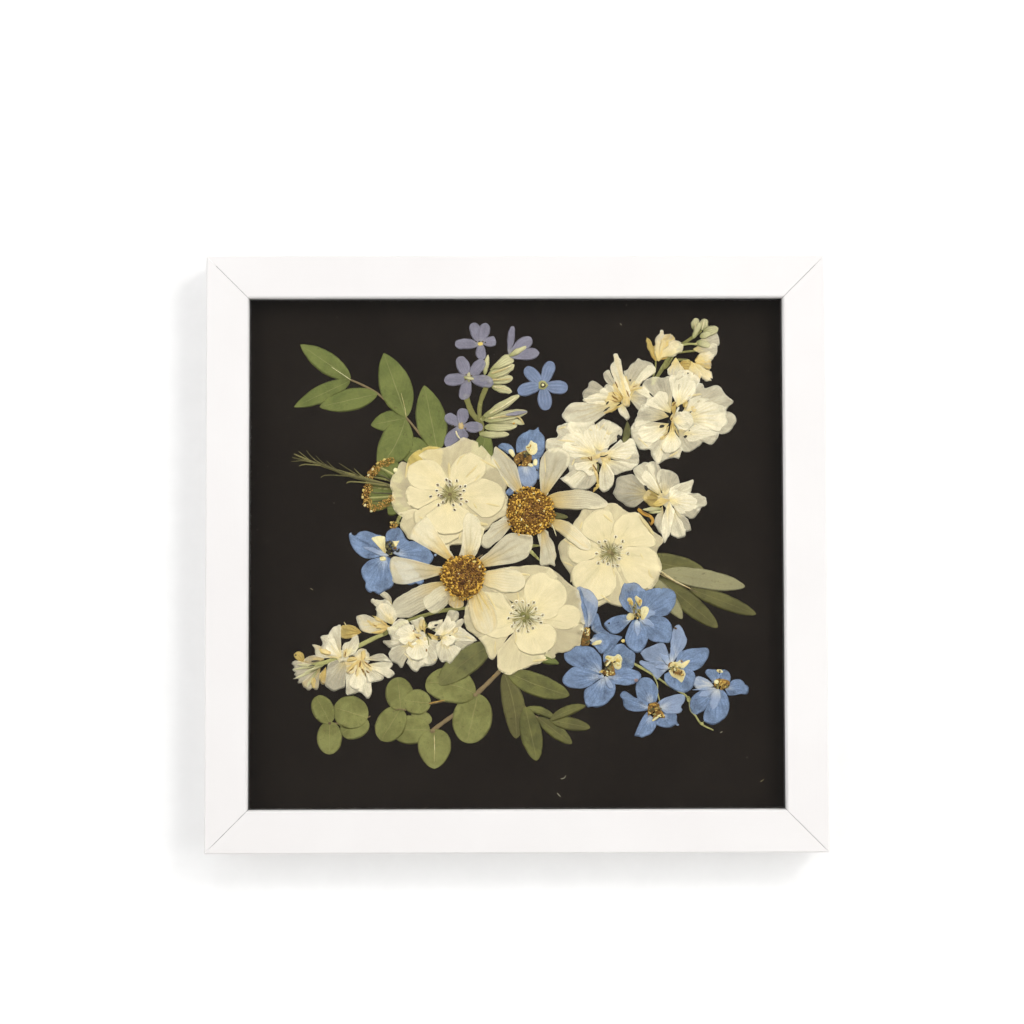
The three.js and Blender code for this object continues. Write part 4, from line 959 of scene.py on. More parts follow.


# Petals: body, base, stain, veins, rim (a dried margin with painted edge light), then the numbers of
# PETAL_PATTERN. Leaves: body, dark patches, veins, turned side, specks, then those of LEAF_PATTERN. Plain:
# body, dark patches. thick, mesh (the size of a face), frill, crinkle, jag and tooth are in mm. sheer is
# how much of what lies under shows through.
FINISHES = {
    "rose_petal": petal(
        (232, 216, 172), (230, 210, 152), (216, 182, 104), (216, 195, 132), (241, 228, 190),
        (9.0, 0.2, 0.5, 0.6, 0.3, 0.26, 0.24, 0.3), sheer=0.19, frill=0.45, waves=1.6, jag=0.25,
        crinkle=0.012, thick=0.03),
    "daisy_petal": petal(
        (234, 222, 188), (216, 182, 100), (200, 162, 76), (184, 164, 112), (238, 226, 190),
        (4.5, 0.44, 0.46, 1.0, 0.55, 0.4, 0.35, 0.5), sheer=0.28, frill=0.4, waves=1.5, jag=0.3),
    "larkspur_petal": petal(
        (243, 231, 198), (232, 206, 128), (218, 182, 92), (212, 188, 128), (250, 243, 218),
        (6.0, 0.46, 0.46, 0.9, 0.8, 0.6, 0.45, 0.6), sheer=0.3, frill=0.55, waves=2.2, crinkle=0.06,
        jag=0.8, tooth=2.6),
    "blue_petal": petal(
        (118, 136, 164), (192, 196, 198), (142, 156, 184), (84, 102, 136), (104, 124, 158),
        (6.0, 0.55, 0.34, 0.75, 1.1, 1.2, 1.1, 0.4), sheer=0.08, frill=0.35, waves=2.0, jag=0.5, tooth=3.0),
    "pale_blue_petal": petal(
        (142, 156, 180), (206, 206, 200), (196, 192, 180), (112, 128, 158), (128, 144, 172),
        (5.0, 0.35, 0.45, 0.8, 0.6, 0.5, 0.5, 0.3), sheer=0.12, frill=0.35, waves=2.0, jag=0.4, tooth=3.0),
    "cream_petal": petal(
        (234, 222, 170), (224, 196, 110), (214, 176, 80), (200, 168, 90), (238, 230, 190),
        (2.0, 0.3, 0.4, 0.7, 0.6, 0.4, 0.4, 0.5), sheer=0.05, frill=0.15, mesh=0.6, jag=0.2, tooth=1.6,
        thick=0.15),
    "bee_brown": petal(
        (150, 112, 56), (120, 84, 40), (190, 146, 62), (96, 68, 34), (176, 146, 88),
        (3.0, 0.5, 0.3, 0.5, 1.2, 0.8, 0.8, 0.4), sheer=0.0, frill=0.3, mesh=0.7, jag=0.4, tooth=1.6,
        thick=0.12),
    "lilac_petal": petal(
        (138, 134, 147), (172, 168, 158), (120, 108, 104), (108, 102, 122), (156, 150, 162),
        (3.5, 0.5, 0.2, 0.7, 0.5, 0.5, 0.6, 0.6), sheer=0.12, frill=0.2, waves=1.5, mesh=0.8, jag=0.15),
    "tweedia_petal": petal(
        (119, 132, 159), (150, 152, 160), (100, 104, 136), (150, 160, 184), (150, 160, 186),
        (2.0, 0.5, 0.16, 0.5, 0.4, 0.5, 0.5, 0.5), sheer=0.08, frill=0.15, waves=1.2, mesh=0.8, jag=0.1),
    "bud_green": petal(
        (204, 196, 150), (150, 148, 92), (150, 136, 112), (128, 126, 76), (224, 216, 176),
        (2.5, 0.6, 0.5, 0.9, 0.6, 0.4, 0.4, 0.5), sheer=0.06, thick=0.25, frill=0.15, mesh=0.8, jag=0.25),
    "gold_petal": petal(
        (228, 198, 112), (206, 166, 74), (150, 104, 40), (178, 134, 56), (236, 214, 146),
        (2.5, 0.6, 0.4, 0.7, 0.9, 0.5, 0.4, 0.4), sheer=0.35, frill=0.4, mesh=0.8, jag=0.5, tooth=1.8),
    "rose_fold": petal(
        (234, 210, 144), (232, 206, 136), (210, 170, 84), (214, 184, 110), (240, 222, 168),
        (1.0, 0.3, 0.3, 0.4, 0.4, 0.3, 0.3, 0.8), sheer=0.42, thick=0.03, frill=0.2, mesh=0.7, crinkle=0.0,
        jag=0.15),
    "pollen": petal(
        (246, 238, 212), (244, 234, 202), (242, 230, 196), (240, 232, 206), (248, 240, 214),
        (2.0, 0.2, 0.1, 0.2, 0.2, 0.2, 0.2, 0.8), sheer=0.15, thick=0.04, frill=0.15, mesh=0.6, crinkle=0.0,
        jag=0.1),
    "sprig_leaf": leaf(
        (118, 124, 64), (100, 107, 51), (162, 158, 106), (118, 116, 64), (84, 80, 42),
        (9.0, 0.12, 0.42, 0.5)),
    "olive_leaf": leaf(
        (108, 104, 58), (86, 82, 44), (146, 136, 88), (186, 178, 138), (66, 60, 32),
        (12.0, 0.16, 0.4, 0.5)),
    "lower_leaf": leaf(
        (115, 114, 60), (88, 86, 45), (146, 136, 90), (94, 84, 52), (66, 60, 34),
        (14.0, 0.26, 0.5, 0.6)),
    "eucalyptus_leaf": leaf(
        (138, 137, 79), (112, 111, 58), (166, 156, 102), (128, 122, 66), (100, 92, 50),
        (6.0, 0.08, 0.32, 0.6), thick=0.18),
    "sheer_leaf": leaf(
        (120, 118, 68), (96, 94, 52), (140, 130, 84), (120, 114, 66), (70, 66, 36),
        (12.0, 0.18, 0.45, 0.5), sheer=0.16),
    "brown_stem": plain((132, 112, 78), (98, 80, 54)),
    "green_stem": plain((170, 166, 104), (124, 120, 66)),
    "straw_stem": plain((132, 124, 74), (92, 86, 48), step=1.6),
    "pale_stem": plain((232, 220, 176), (196, 176, 120)),
    "pale_thread": plain((236, 228, 196), (196, 184, 136), step=1.5, sides=5, prints=False),
    "olive_thread": plain((158, 152, 108), (116, 110, 74), step=1.5, sides=5, prints=False),
    "dark_anther": plain((112, 86, 46), (66, 52, 30), rings=5, sides=8),
    "stamen_thread": plain((164, 154, 98), (122, 114, 66), step=1.5, sides=5, prints=False),
    "gold_petal_strap": plain((222, 184, 92), (188, 142, 58), rise=0.3),
    "disc_bed": plain((176, 128, 58), (132, 92, 42), rough=0.05, sides=24),
    "card_gap": plain((50, 46, 40), (40, 36, 32), rough=0.25, grain=0.2),
    "tan_anther": plain((168, 150, 104), (120, 104, 64), rings=5, sides=8),
    "gold_lump": plain((222, 188, 100), (190, 146, 64), rough=0.2),
    "cream_lump": plain((244, 232, 176), (226, 200, 110), rough=0.15),
    "brown_lump": plain((150, 108, 52), (92, 66, 34), rough=0.25),
    "olive_lump": plain((152, 144, 88), (100, 96, 56), rough=0.25),
    "stain_lump": plain((150, 124, 120), (120, 96, 96), rough=0.25),
    "pale_blue_lump": plain((160, 174, 196), (120, 136, 166)),
    "dark_lump": plain((84, 76, 54), (50, 46, 38), rough=0.2),
    "gold_floret": plain((228, 180, 74), (150, 106, 34), by_piece=0.9),
    "brown_floret": plain((158, 111, 52), (98, 62, 30), by_piece=0.8),
    "yarrow_floret": plain((220, 178, 90), (166, 118, 46), by_piece=0.9),
}


def build_finishes():
    for name, style in FINISHES.items():
        style["material"] = style["kind"](name, style)


# ------------------------------------------------------------------------------- the plants, from the card up
# Places are in mm from the middle of the card, x to the right and z up. Each layer is a way of laying, a
# finish and its rows; the order is the order in which the pieces were laid.
PLANTS = [
    ("leaf_sprig_upper_left", [
        (stems, "brown_stem", [[1.1, 1.4, -96, 100, -88, 96.5, -80, 92, -72, 85, -63, 77.5, -55, 68, -50,
            62, -44, 56], [0.8, 0.8, -63, 77.5, -61, 66, -58, 56]]),
        (petals, "sprig_leaf", [[-95, 100, -124, 120, 12.5, "leaf"], [-95.2, 99, -127.5, 84, 10.5, "leaf"],
            [-79.5, 91.5, -113, 84, 13, "leaf"], [-50, 60, -68, 57, 16, "leaf"],
            [-63, 77.5, -83.4, 73.5, 12, "leaf"], [-63.5, 77, -79, 48.5, 19, "leaf", 2],
            [-45, 58, -52.7, 96.3, 17.5, "leaf"], [-63, 78, -76, 115, 18.5, "leaf"]]),
        (stems, "pale_stem", [[0.35, 0.2, -95, 99.6, -100, 103, -106, 107],
            [0.35, 0.2, -63, 78, -64, 84, -66, 92]]),
    ]),
    ("leaf_behind_rose", [
        (petals, "sprig_leaf", [[-22, 44, -17, 70.5, 13, "leaf"]]),
    ]),
    ("tweedia_blue", [
        (petals, "tweedia_petal", [[15.5, 96, 5.5, 106.5, 7.4], [15.5, 96, 20.5, 110, 7.2],
            [15.5, 96, 29.8, 94.5, 7.9], [15.5, 96, 17.3, 82, 8.2], [15.5, 96.5, 1, 92.5, 7.7]]),
        (lumps, "green_stem", [[15.5, 96.3, 5.6, 5.4, 0, 0.4]]),
        (lumps, "dark_lump", [[15.5, 96.3, 3.2, 3.2, 0, 0.4]]),
        (lumps, "cream_lump", [[15.5, 96.3, 1.5, 1.4, 0, 0.4]]),
    ]),
    ("larkspur_tip_upper", [
        (stems, "green_stem", [[2.4, 1.8, 78, 96, 81, 100.5, 85, 107, 90, 115, 95, 119, 102, 124, 107, 128],
            [1.2, 1.2, 90, 114.5, 97, 115.4, 104, 116], [1.4, 1.4, 91, 110.5, 95, 110.8, 100, 110.5],
            [1.2, 1.2, 94, 118.8, 100, 120, 106, 119.5], [1.2, 1.2, 102, 123.5, 105, 128, 105, 131],
            [1.2, 1.2, 84, 106, 86, 106, 88, 108.5, 91, 114], [0.9, 0.9, 80.5, 112, 80.3, 106, 78, 98]]),
        (petals, "gold_petal", [[81, 110, 75.5, 123.5, 4, "lance"], [82, 110, 84, 122, 7],
            [83, 111, 92, 122, 8], [94, 108, 103.5, 106, 7, "oval"], [103, 110, 111, 113, 6],
            [102, 109, 112, 100, 6]]),
        (petals, "larkspur_petal", [[82, 110, 84, 128.2, 6, "lance", 0, 0.2, 0.5],
            [83, 111, 89, 125.5, 8, "fan", 0, 0, 0.8], [83, 112, 95.3, 120.5, 8, "fan", 0, -0.5, 0.4],
            [103, 120, 117, 122.8, 8, "fan", 0, -0.5, 0.2], [102, 117, 116, 116, 9, "fan", 0, -0.7, 0.2],
            [103, 110, 113.5, 113.5, 7, "fan", 0, -0.2, 0.5], [103, 109, 112.5, 107.5, 6, "fan", 0, 0, 0.8],
            [102, 109, 112.5, 99.5, 6, "fan", 0, 0, 0.5], [101, 110, 104.5, 99, 6.5, "fan", 0, 0.2, 0.6],
            [92, 112, 92, 101, 9, "cone", 0, 0.2, 0.4]]),
        (petals, "bud_green", [[103, 128, 104, 135, 5, "oval"], [107, 128, 109.5, 134.5, 5, "oval"],
            [108, 126, 116.5, 129, 6, "oval"], [106, 124, 112, 126, 4, "oval"],
            [102, 123, 106, 132, 3.4, "oval"], [104, 121, 112, 119, 4.5, "oval"]]),
        (stems, "pale_stem", [[0.7, 0.5, 107, 128, 108, 131, 108.6, 134],
            [0.7, 0.5, 103, 128, 103.6, 132]]),
    ]),
    ("leaf_sprig_right", [
        (petals, "olive_leaf", [[81, -14, 115.2, -43, 11.5, "lance"],
            [79, -15, 95, -38, 8.5, "lance", 0, 0.9], [99, -20.6, 137.3, -35.5, 9, "lance"],
            [70, -4, 108, -11, 13, "lance"], [83, -11, 131, -19.6, 11.5, "lance", 0, 1]]),
        (stems, "pale_stem", [[1.1, 0.5, 80, -9.5, 83, -11, 92, -17],
            [1.1, 0.7, 80, -11, 83, -12.5, 100, -21]]),
        (stems, "brown_stem", [[0.5, 0.4, 80, -10.3, 90, -16.6, 104, -23]]),
    ]),
    ("delphinium_stem", [
        (stems, "green_stem", [[1.5, 0.9, 60, -59, 67, -63.4, 77, -69.2, 87, -76, 95, -80.6, 98.4, -84,
            99.4, -90, 102, -93, 105.5, -98, 112.5, -101.6],
            [0.8, 0.6, 78, -70, 80.4, -75, 80.6, -80, 81.8, -85], [0.7, 0.5, 104.6, -98.4, 107.4, -96.2]]),
        (lumps, "green_stem", [[98.4, -84, 4.2, 2.4, -70, 0.6], [105.8, -97.8, 2.4, 1.8, -40, 0.5]]),
        (lumps, "cream_lump", [[61, -50.5, 2.2, 2, 0, 0.6]]),
    ]),
    ("larkspur_tip_lower", [
        (stems, "green_stem", [[2.6, 2.4, -118, -64, -108, -62, -98, -57, -90, -53, -82, -49, -74, -45.5],
            [2.2, 2, -76, -46.5, -66, -40.6, -58, -37.4, -48, -34.4, -38, -32.4, -27, -31.5],
            [1.6, 1.2, -54, -36.4, -51, -42, -44, -45]]),
        (fans, "gold_petal", [[0, 0.3, -121, -63, -124, -62, -126.6, -60, -127.4, -58, -126, -56.4, -124,
            -56, -122, -57.4, -121.2, -60]]),
        (fans, "larkspur_petal", [[-0.9, 0.7, -110, -61, -121, -64.4, -122, -62, -120.6, -60, -118, -58.6,
            -114, -58.2, -110, -59.6], [-1.1, 0.1, -112, -65, -121, -63, -124, -61.6, -127, -61.4, -128.4,
            -63, -126.6, -65, -128, -66.6, -126.2, -68, -127.4, -69.4, -125.8, -70.6, -127.8, -71.8, -124.4,
            -72, -125.4, -74.2, -122.6, -74, -121.6, -72], [-1, 0.6, -112, -65, -123, -72, -122.4, -75.4,
            -120.6, -77, -119, -78.8, -117.4, -78, -116.6, -76.6, -114.4, -78.2, -113, -76.4, -113.2, -73,
            -113.8, -69], [-0.5, 0.9, -109, -65, -113.6, -70, -112.4, -72.6, -111.4, -75, -109.4, -75,
            -108.6, -70]]),
        (petals, "bud_green", [[-112, -64, -127.6, -66.4, 1.8, "lance", 0, 0.6],
            [-112, -65, -126.6, -71.6, 1.8, "lance", 0, 0.6],
            [-113, -65, -125.6, -63.4, 1.6, "lance", 0, 0.6],
            [-114, -67, -120, -76.6, 1.8, "lance", 0, 0.8], [-110, -64, -121, -68, 1.6, "lance", 0, 0.2]]),
        (petals, "gold_petal", [[-116, -71, -115.6, -77.4, 3, "oval"]]),
        (lumps, "card_gap", [[-126.2, -58.2, 1.2, 0.9, 0, 0.1]]),
        (stems, "pale_stem", [[0.7, 0.6, -52, -43, -42, -38]]),
    ]),
    ("leaf_sprig_lower", [
        (stems, "brown_stem", [[1.4, 1, -9, -66, -5, -71, 1, -82, 5.5, -89, 12, -94, 20, -95.6]]),
        (petals, "lower_leaf", [[-7, -69, -0.2, -106, 12.8, "lance", 2, 0.9],
            [12, -94, 31.5, -109, 8, "lance", 0, 0.4], [5.5, -88.5, 22, -94.5, 4.8, "lance", 1],
            [19, -95.5, 42, -100, 7.6, "lance", 0, 0.5], [19, -95.5, 39.3, -87.4, 6, "lance", 1, 0.5],
            [5, -88, 11.5, -118.6, 12.3, "lance"], [-5.5, -68, 30.2, -81.5, 13, "lance", -1]]),
    ]),
    ("leaf_tip_lower", [
        (petals, "sprig_leaf", [[4, -56, 24.2, -63.4, 6, "lance"]]),
    ]),
    ("eucalyptus_left", [
        (stems, "brown_stem", [[1.2, 1, -112.5, -94.8, -106.5, -97.2, -100, -97, -92, -96, -86, -94, -83.4,
            -93]]),
        (petals, "eucalyptus_leaf", [[-84.6, -96, -100, -103, 15, "oval", -1],
            [-85, -94, -104.4, -88, 19, "oval"], [-106.8, -96, -106.9, -114.8, 14.4, "oval"],
            [-106.5, -97, -114.5, -81.6, 12.6, "oval"]]),
        (lumps, "brown_stem", [[-106.6, -97, 1.8, 1.6, 0, 0.4]]),
    ]),
    ("eucalyptus_middle", [
        (stems, "brown_stem", [[1.4, 1.4, -72, -86, -66, -89.2, -60, -88]]),
        (petals, "eucalyptus_leaf", [[-48.5, -96, -60, -92, 8, "oval"],
            [-49.5, -101, -71.4, -101, 16.6, "oval"], [-66, -88.5, -77.5, -106.8, 17, "oval"],
            [-66, -90, -68, -71, 16, "oval"], [-49, -86, -64.7, -84.2, 14.6, "oval"]]),
        (stems, "brown_stem", [[0.7, 0.6, -63, -90, -66, -89, -69.5, -89.6]]),
    ]),
    ("lilac_sprig", [
        (stems, "green_stem", [[3.4, 3, -29, 91, -27.5, 86, -25, 80, -20, 74, -20, 68],
            [3.2, 2.2, -14, 101, -18, 93, -20.5, 86, -21, 80, -20.5, 74],
            [3.2, 2.2, -20, 76, -12, 83, -4, 87], [3.4, 1.8, -21, 100, -15, 101, -10, 108, -3, 113]]),
        (petals, "bud_green", [[-21, 68, -4, 68, 4.5, "oval"], [-18, 72, 0.5, 73, 6, "oval"],
            [-16, 75, 4.8, 74, 5, "oval", 2], [-18, 76, 6.5, 81, 6, "oval"], [-18, 78, 2, 90.5, 5, "oval"],
            [-14, 96, -2.5, 92.5, 5, "oval"], [-16, 99, -1.8, 100.5, 6, "oval"],
            [-16, 101, -1, 108, 7, "oval"], [-15, 105, -2, 112.5, 6.5, "cone"],
            [-18, 102, -16, 114, 3, "lance"]]),
        (stems, "pale_stem", [[1.2, 0.8, -14, 103, -8, 105, -2.5, 107.6],
            [1.2, 0.8, -15, 99.4, -8, 99.6, -3, 100], [1.1, 0.7, -13, 95.5, -8, 94.6, -4, 93],
            [1, 0.8, -16, 77, -6, 78.5, 5, 81], [1.4, 1, -9, 78, -2, 79, 2, 77.5, 4.5, 74],
            [1, 0.8, -15, 80, -6, 85, 0, 89.4]]),
        (petals, "lilac_petal", [[-4, 114, -1.8, 130.5, 4.2], [-4, 113.5, 9, 123.5, 7.5, "round", 0, 0.4],
            [-4, 113, 13.3, 115, 7, "round", 0, 0.2], [-6, 79, 6.5, 81, 2.4, "oval", 0, 0.3]]),
        (petals, "bud_green", [[-4, 113, 6, 118.6, 3.4, "oval", 0, 0.6]]),
        (lumps, "gold_lump", [[-1.2, 74.2, 1.6, 1.2, 20, 0.4]]),
    ]),
    ("larkspur_floret_1", [
        (fans, "larkspur_petal", [[-0.7, 0.1, 60, 90, 52.4, 97.6, 50.8, 100, 50, 103.2, 51.6, 104.4, 53.8,
            105, 54.2, 102.6, 56, 100.2, 58.4, 97.4], [-1.1, 0, 58, 89, 50, 94.6, 49, 95.8, 47, 97.6, 44.6,
            98.8, 42.4, 97.6, 41.2, 95.2, 39.4, 93.4, 38.4, 91.2, 39, 88.6],
            [0.1, 0, 59, 89, 57, 96, 53, 97, 51, 95.6, 49.6, 93.4], [0.1, 0.3, 60, 88, 51, 94.6, 47.6, 94.2,
            44, 92.4, 41, 89.4, 38.4, 88.4, 38.4, 87.4, 40.8, 86.2, 45, 86, 50, 85], [-0.3, 0.05, 60, 86,
            50.4, 88, 45, 86.8, 41, 86.2, 38.4, 85.2, 36, 86.4, 32.4, 86, 29.4, 84, 28, 81.4, 26.4, 78.8,
            27.4, 76.8, 30, 74, 36, 73, 44.8, 74.6, 46, 77, 48.4, 77.4, 50, 79.4, 51, 81.6], [0.1, 0.2, 61,
            86, 58.4, 83, 59.6, 80, 62, 77.6, 63.6, 75.8, 65.4, 77.4, 64.8, 80, 63.4, 82.8, 62.8, 85],
            [-0.8, 0, 62, 92, 62, 104.4, 64.4, 105.4, 66, 108, 69.2, 110.4, 70.4, 112.2, 72.4, 111, 76,
            109.8, 79, 108.2, 80.6, 105.6, 79.8, 103.2, 76.4, 100.6, 73, 98, 70, 95], [0.1, 0, 64, 92, 68,
            100, 72, 104.6, 76, 107.6, 79.4, 107, 80.4, 105, 77, 101.4, 72.6, 98.6], [-0.7, 0.1, 64, 90, 66,
            87.4, 70, 82.2, 71.4, 81.4, 74, 82.4, 77.4, 85.4, 78.6, 88, 77.4, 91.6, 74.6, 94.6, 71, 95.8,
            67, 94.4], [0.4, 0.1, 67, 94, 71, 95.2, 74.6, 94, 77, 91.6, 78.4, 88, 76.4, 88, 73, 91.6]]),
        (fans, "gold_petal", [[0, 0.2, 62, 88, 56, 92, 55.4, 96, 58, 99, 60, 97.6, 62, 101.6, 64.6, 100.4,
            66, 96, 69, 100.4, 71.4, 98, 70.6, 94.6, 67.6, 92, 66.4, 88], [0, 0.3, 62, 87, 53, 85, 50.6,
            87.6, 51.4, 90.6, 54.6, 92.4, 58.4, 92]]),
        (petals, "gold_petal", [[50, 79.8, 61, 84.6, 2.2, "lance"], [66, 93, 75, 94.8, 1.2, "lance", 0.5]]),
        (fans, "larkspur_petal", [[0.7, 0.5, 64, 86, 58, 95.6, 56.4, 100, 54.6, 104.4, 54.8, 108.4, 56.6,
            110.4, 56.2, 114.2, 58.6, 114.6, 59.2, 112.2, 60.6, 110.6, 60.4, 107, 61.4, 103.4, 63.6, 99, 66,
            92], [0.3, 0.8, 62, 90, 60.4, 86.4, 62.6, 84, 65, 84.2, 66, 87, 66, 90]]),
        (petals, "bee_brown", [[57, 98.4, 58.8, 94.6, 0.8, "lance"], [63.4, 93.4, 65.2, 89.4, 0.9, "lance"],
            [55, 90.4, 58.8, 87.6, 1.1, "lance"], [55.4, 92.6, 57.4, 90, 0.5, "lance"],
            [55, 87.6, 58, 86.4, 0.5, "lance"], [67, 95, 69.6, 96, 0.5, "lance"]]),
        (lumps, "card_gap", [[52.6, 86, 2.4, 1.1, 50, 0.1], [66, 99, 1.8, 1.6, 0, 0.1],
            [73, 98.6, 2, 0.5, 50, 0.1], [52.4, 82.6, 5.4, 1.1, 36, 0.1], [73, 84, 1.6, 0.7, 60, 0.1]]),
    ]),
    ("larkspur_floret_4", [
        (petals, "larkspur_petal", [[81, 31, 91, 31, 10, "round"]]),
        (fans, "larkspur_petal", [[-1.7, 0.1, 77, 33.5, 74.4, 31, 71, 28, 68, 26, 66.4, 25.8, 63, 27, 59,
            30, 56.4, 33, 55.8, 34.4, 57.2, 37, 57, 41, 58, 43, 61, 44.2, 64, 44.6, 67, 44.8, 70, 42.6, 73,
            40, 75, 38], [0.1, 0, 82, 33, 70.6, 40, 68.4, 44, 67.4, 47, 69, 49.6, 72, 51, 74, 52, 78, 50.6,
            79, 46], [-0.9, 0, 83, 34, 74, 50, 78, 52.6, 81.6, 50.8, 82.6, 48.6, 83.4, 47.4, 80, 42], [-0.6,
            0, 85, 32, 79, 44.6, 82, 47.4, 86, 47.6, 89, 46.8, 92.6, 44.6, 93.4, 42, 94, 40, 93.6, 38], [0,
            0, 87, 31, 88, 37, 94, 39.6, 99, 41, 101.4, 41.6, 102, 40, 101, 38, 100.6, 36, 100, 34], [-0.4,
            0, 88, 30, 99, 34.6, 101.6, 33.8, 104.6, 34, 106.4, 32.6, 108.8, 31.6, 109.4, 29.6, 109.8, 28.4,
            109, 26.6, 106.4, 26, 105.6, 24], [-1.3, 0.1, 91, 27, 106, 25.4, 104.6, 22.4, 102.6, 19.8, 99.6,
            19.2, 98, 20.4, 94, 20.4, 92.4, 22], [-1.4, 0, 90, 26, 98.6, 19, 99.6, 16, 100.4, 13.6, 101,
            12.8, 99, 12.2, 97, 11.6, 95, 14, 93, 18], [0.1, 0.1, 88, 28, 97.6, 14, 97, 11.4, 97, 9.4, 95,
            8.6, 93, 8.2, 91, 9, 88.6, 10.2, 89, 14], [-0.8, 0, 84, 27, 79.8, 20, 79, 17, 80, 14.6, 82,
            11.6, 84, 10.4, 86, 12], [0.1, 0, 84, 32, 73, 41, 71, 45, 74, 47.4, 78, 44, 81, 39], [0.3, 0,
            87.6, 30, 88, 35, 92, 36, 98, 34, 103, 32, 105, 28, 103, 24.6, 98, 22, 93.4, 22.6, 90.4, 26],
            [0.6, 0, 87.6, 29.4, 84, 20, 83, 14, 84, 8, 84.6, 5.4, 85.4, 5.4, 86.6, 8, 88.2, 10.6, 90, 18,
            91, 24]]),
        (fans, "gold_petal", [[-1, 0, 86, 30, 80, 33.6, 76.4, 36, 73.2, 34.4, 72.6, 30.6, 75, 28.4, 77,
            26.4, 81, 25.6, 84, 27.6], [0, 0, 88.6, 30.4, 83, 31.4, 78, 27.6, 80, 26.4, 84, 27, 87, 29]]),
        (petals, "bud_green", [[84, 25, 72.6, 24.6, 2.6, "lance"],
            [76, 22.8, 83.4, 23.4, 1.6, "lance", 0, 0.6]]),
        (stems, "gold_petal_strap", [[2.2, 1.6, 69.8, 25, 73, 22.4, 77, 20.6, 78.4, 18, 77, 15.8]]),
        (petals, "bee_brown", [[71.6, 24, 76.6, 21, 0.8, "lance"], [76, 18, 77.4, 15.6, 0.7, "lance"]]),
        (lumps, "card_gap", [[74.6, 37, 1.9, 3.6, 22, 0.1], [62.8, 38, 1.1, 1, 0, 0.05],
            [76, 19, 1.9, 2.6, 30, 0.1]]),
    ]),
    ("yarrow_head", [
        (petals, "sprig_leaf", [[-66, 42, -81, 49.5, 9, "cone"], [-66, 40, -73, 51, 10, "cone"],
            [-66, 34, -84.5, 35, 12, "cone"], [-66, 30, -84.5, 28, 9, "cone"],
            [-64, 26, -74, 25.5, 9, "cone"]]),
        (stems, "green_stem", [[1.5, 0.9, -66, 42, -74, 47, -80, 50], [1.5, 0.9, -66, 40, -74, 42, -84, 44],
            [1.5, 0.9, -66, 36, -76, 37, -85, 38], [1.5, 0.9, -66, 33, -76, 32, -85, 31.6],
            [1.5, 0.9, -66, 28, -74, 27, -80, 28], [1.4, 1.2, -66, 17, -72, 17.6],
            [2.2, 1.8, -62, 26, -67, 20.5, -69, 14.5]]),
        (stems, "dark_lump", [[0.9, 0.4, -69, 40, -80, 46], [0.9, 0.4, -69, 37.4, -82, 40.6],
            [0.9, 0.4, -69, 34, -83, 34.6], [0.8, 0.4, -69, 30.6, -82, 29.6]]),
        (florets, "yarrow_floret", [[-78, 50.6, 2.4, 0.5, 0.55, 0.36, 1.2, 0.7, 3],
            [-74.5, 52, 2.4, 0.6, 0.55, 0.36, 1.2, 0.7, 4], [-71.6, 53, 2, 0.6, 0.55, 0.36, 1.2, 0.7, 5],
            [-80.4, 48, 2.4, 0.6, 0.55, 0.36, 1.2, 0.7, 6],
            [-82.8, 45.4, 2.4, 0.6, 0.55, 0.36, 1.2, 0.7, 7],
            [-84.6, 42.2, 2.3, 0.6, 0.55, 0.36, 1.2, 0.7, 8],
            [-85, 37.4, 2.8, 0.6, 0.55, 0.36, 1.2, 0.7, 9], [-86, 33.2, 2.6, 0.6, 0.55, 0.36, 1.2, 0.7, 10],
            [-85, 28.8, 2.8, 0.6, 0.55, 0.36, 1.2, 0.7, 11],
            [-82, 25.6, 2.2, 0.6, 0.55, 0.36, 1.2, 0.7, 12],
            [-77.6, 27, 2.2, 0.6, 0.55, 0.36, 1.2, 0.7, 13],
            [-74.6, 28.6, 2.2, 0.6, 0.55, 0.36, 1.2, 0.7, 14],
            [-71.8, 31, 1.9, 0.6, 0.55, 0.36, 1.2, 0.7, 15],
            [-70, 16, 2.2, 0.6, 0.55, 0.36, 1.2, 0.7, 16]]),
        (lumps, "cream_lump", [[-75.5, 53.6, 1.8, 1.3, 20, 0.9], [-79.4, 51.4, 1.6, 1.2, 40, 0.9],
            [-82.2, 48, 1.6, 1.2, 50, 0.9], [-84.6, 44.6, 1.6, 1.2, 60, 0.9],
            [-87.6, 36, 1.8, 1.2, 80, 0.9], [-88, 32, 1.8, 1.2, 90, 0.9], [-86.6, 27.4, 1.8, 1.3, 50, 0.9],
            [-83, 23.9, 1.6, 1.2, 0, 0.9], [-69, 47.5, 3, 2.8, 0, 0.9], [-71.5, 17.5, 1.8, 1.2, 0, 0.8]]),
    ]),
    ("delphinium_5", [
        (fans, "blue_petal", [[0, 0, 77, -86, 74.6, -87, 72, -84.6, 69.2, -84, 68.2, -80, 68.2, -75.4, 70,
            -72.6, 73, -71.2, 76, -71.6, 79, -74.4, 80.8, -78, 80.6, -82, 79.6, -85.6], [0.2, 0, 75.5,
            -88.6, 75, -86.4, 71, -84, 67, -82.6, 63.6, -80, 61.4, -79.2, 58.8, -81.4, 60.6, -84, 61, -87.6,
            63.4, -89.8, 68, -90.8, 72, -90.6, 75, -90], [0.1, 0, 83, -93, 84.5, -91.6, 88, -92, 91.4,
            -92.4, 91.6, -96, 92.4, -98.4, 90.4, -98.6, 88, -100, 84, -100, 80.2, -98.6, 79, -96.4], [0.3,
            0, 77, -93.6, 74.4, -91, 72, -94, 70, -98, 68.2, -102, 67.4, -104.6, 69.6, -104.8, 71.6, -105.8,
            73.4, -105, 76.4, -104, 78.6, -101.4, 79.8, -98, 79, -95]]),
        (fans, "pale_blue_petal", [[0.4, 0, 81.5, -89, 80.6, -86, 82.6, -84.2, 88, -82, 93, -81, 96.2, -82,
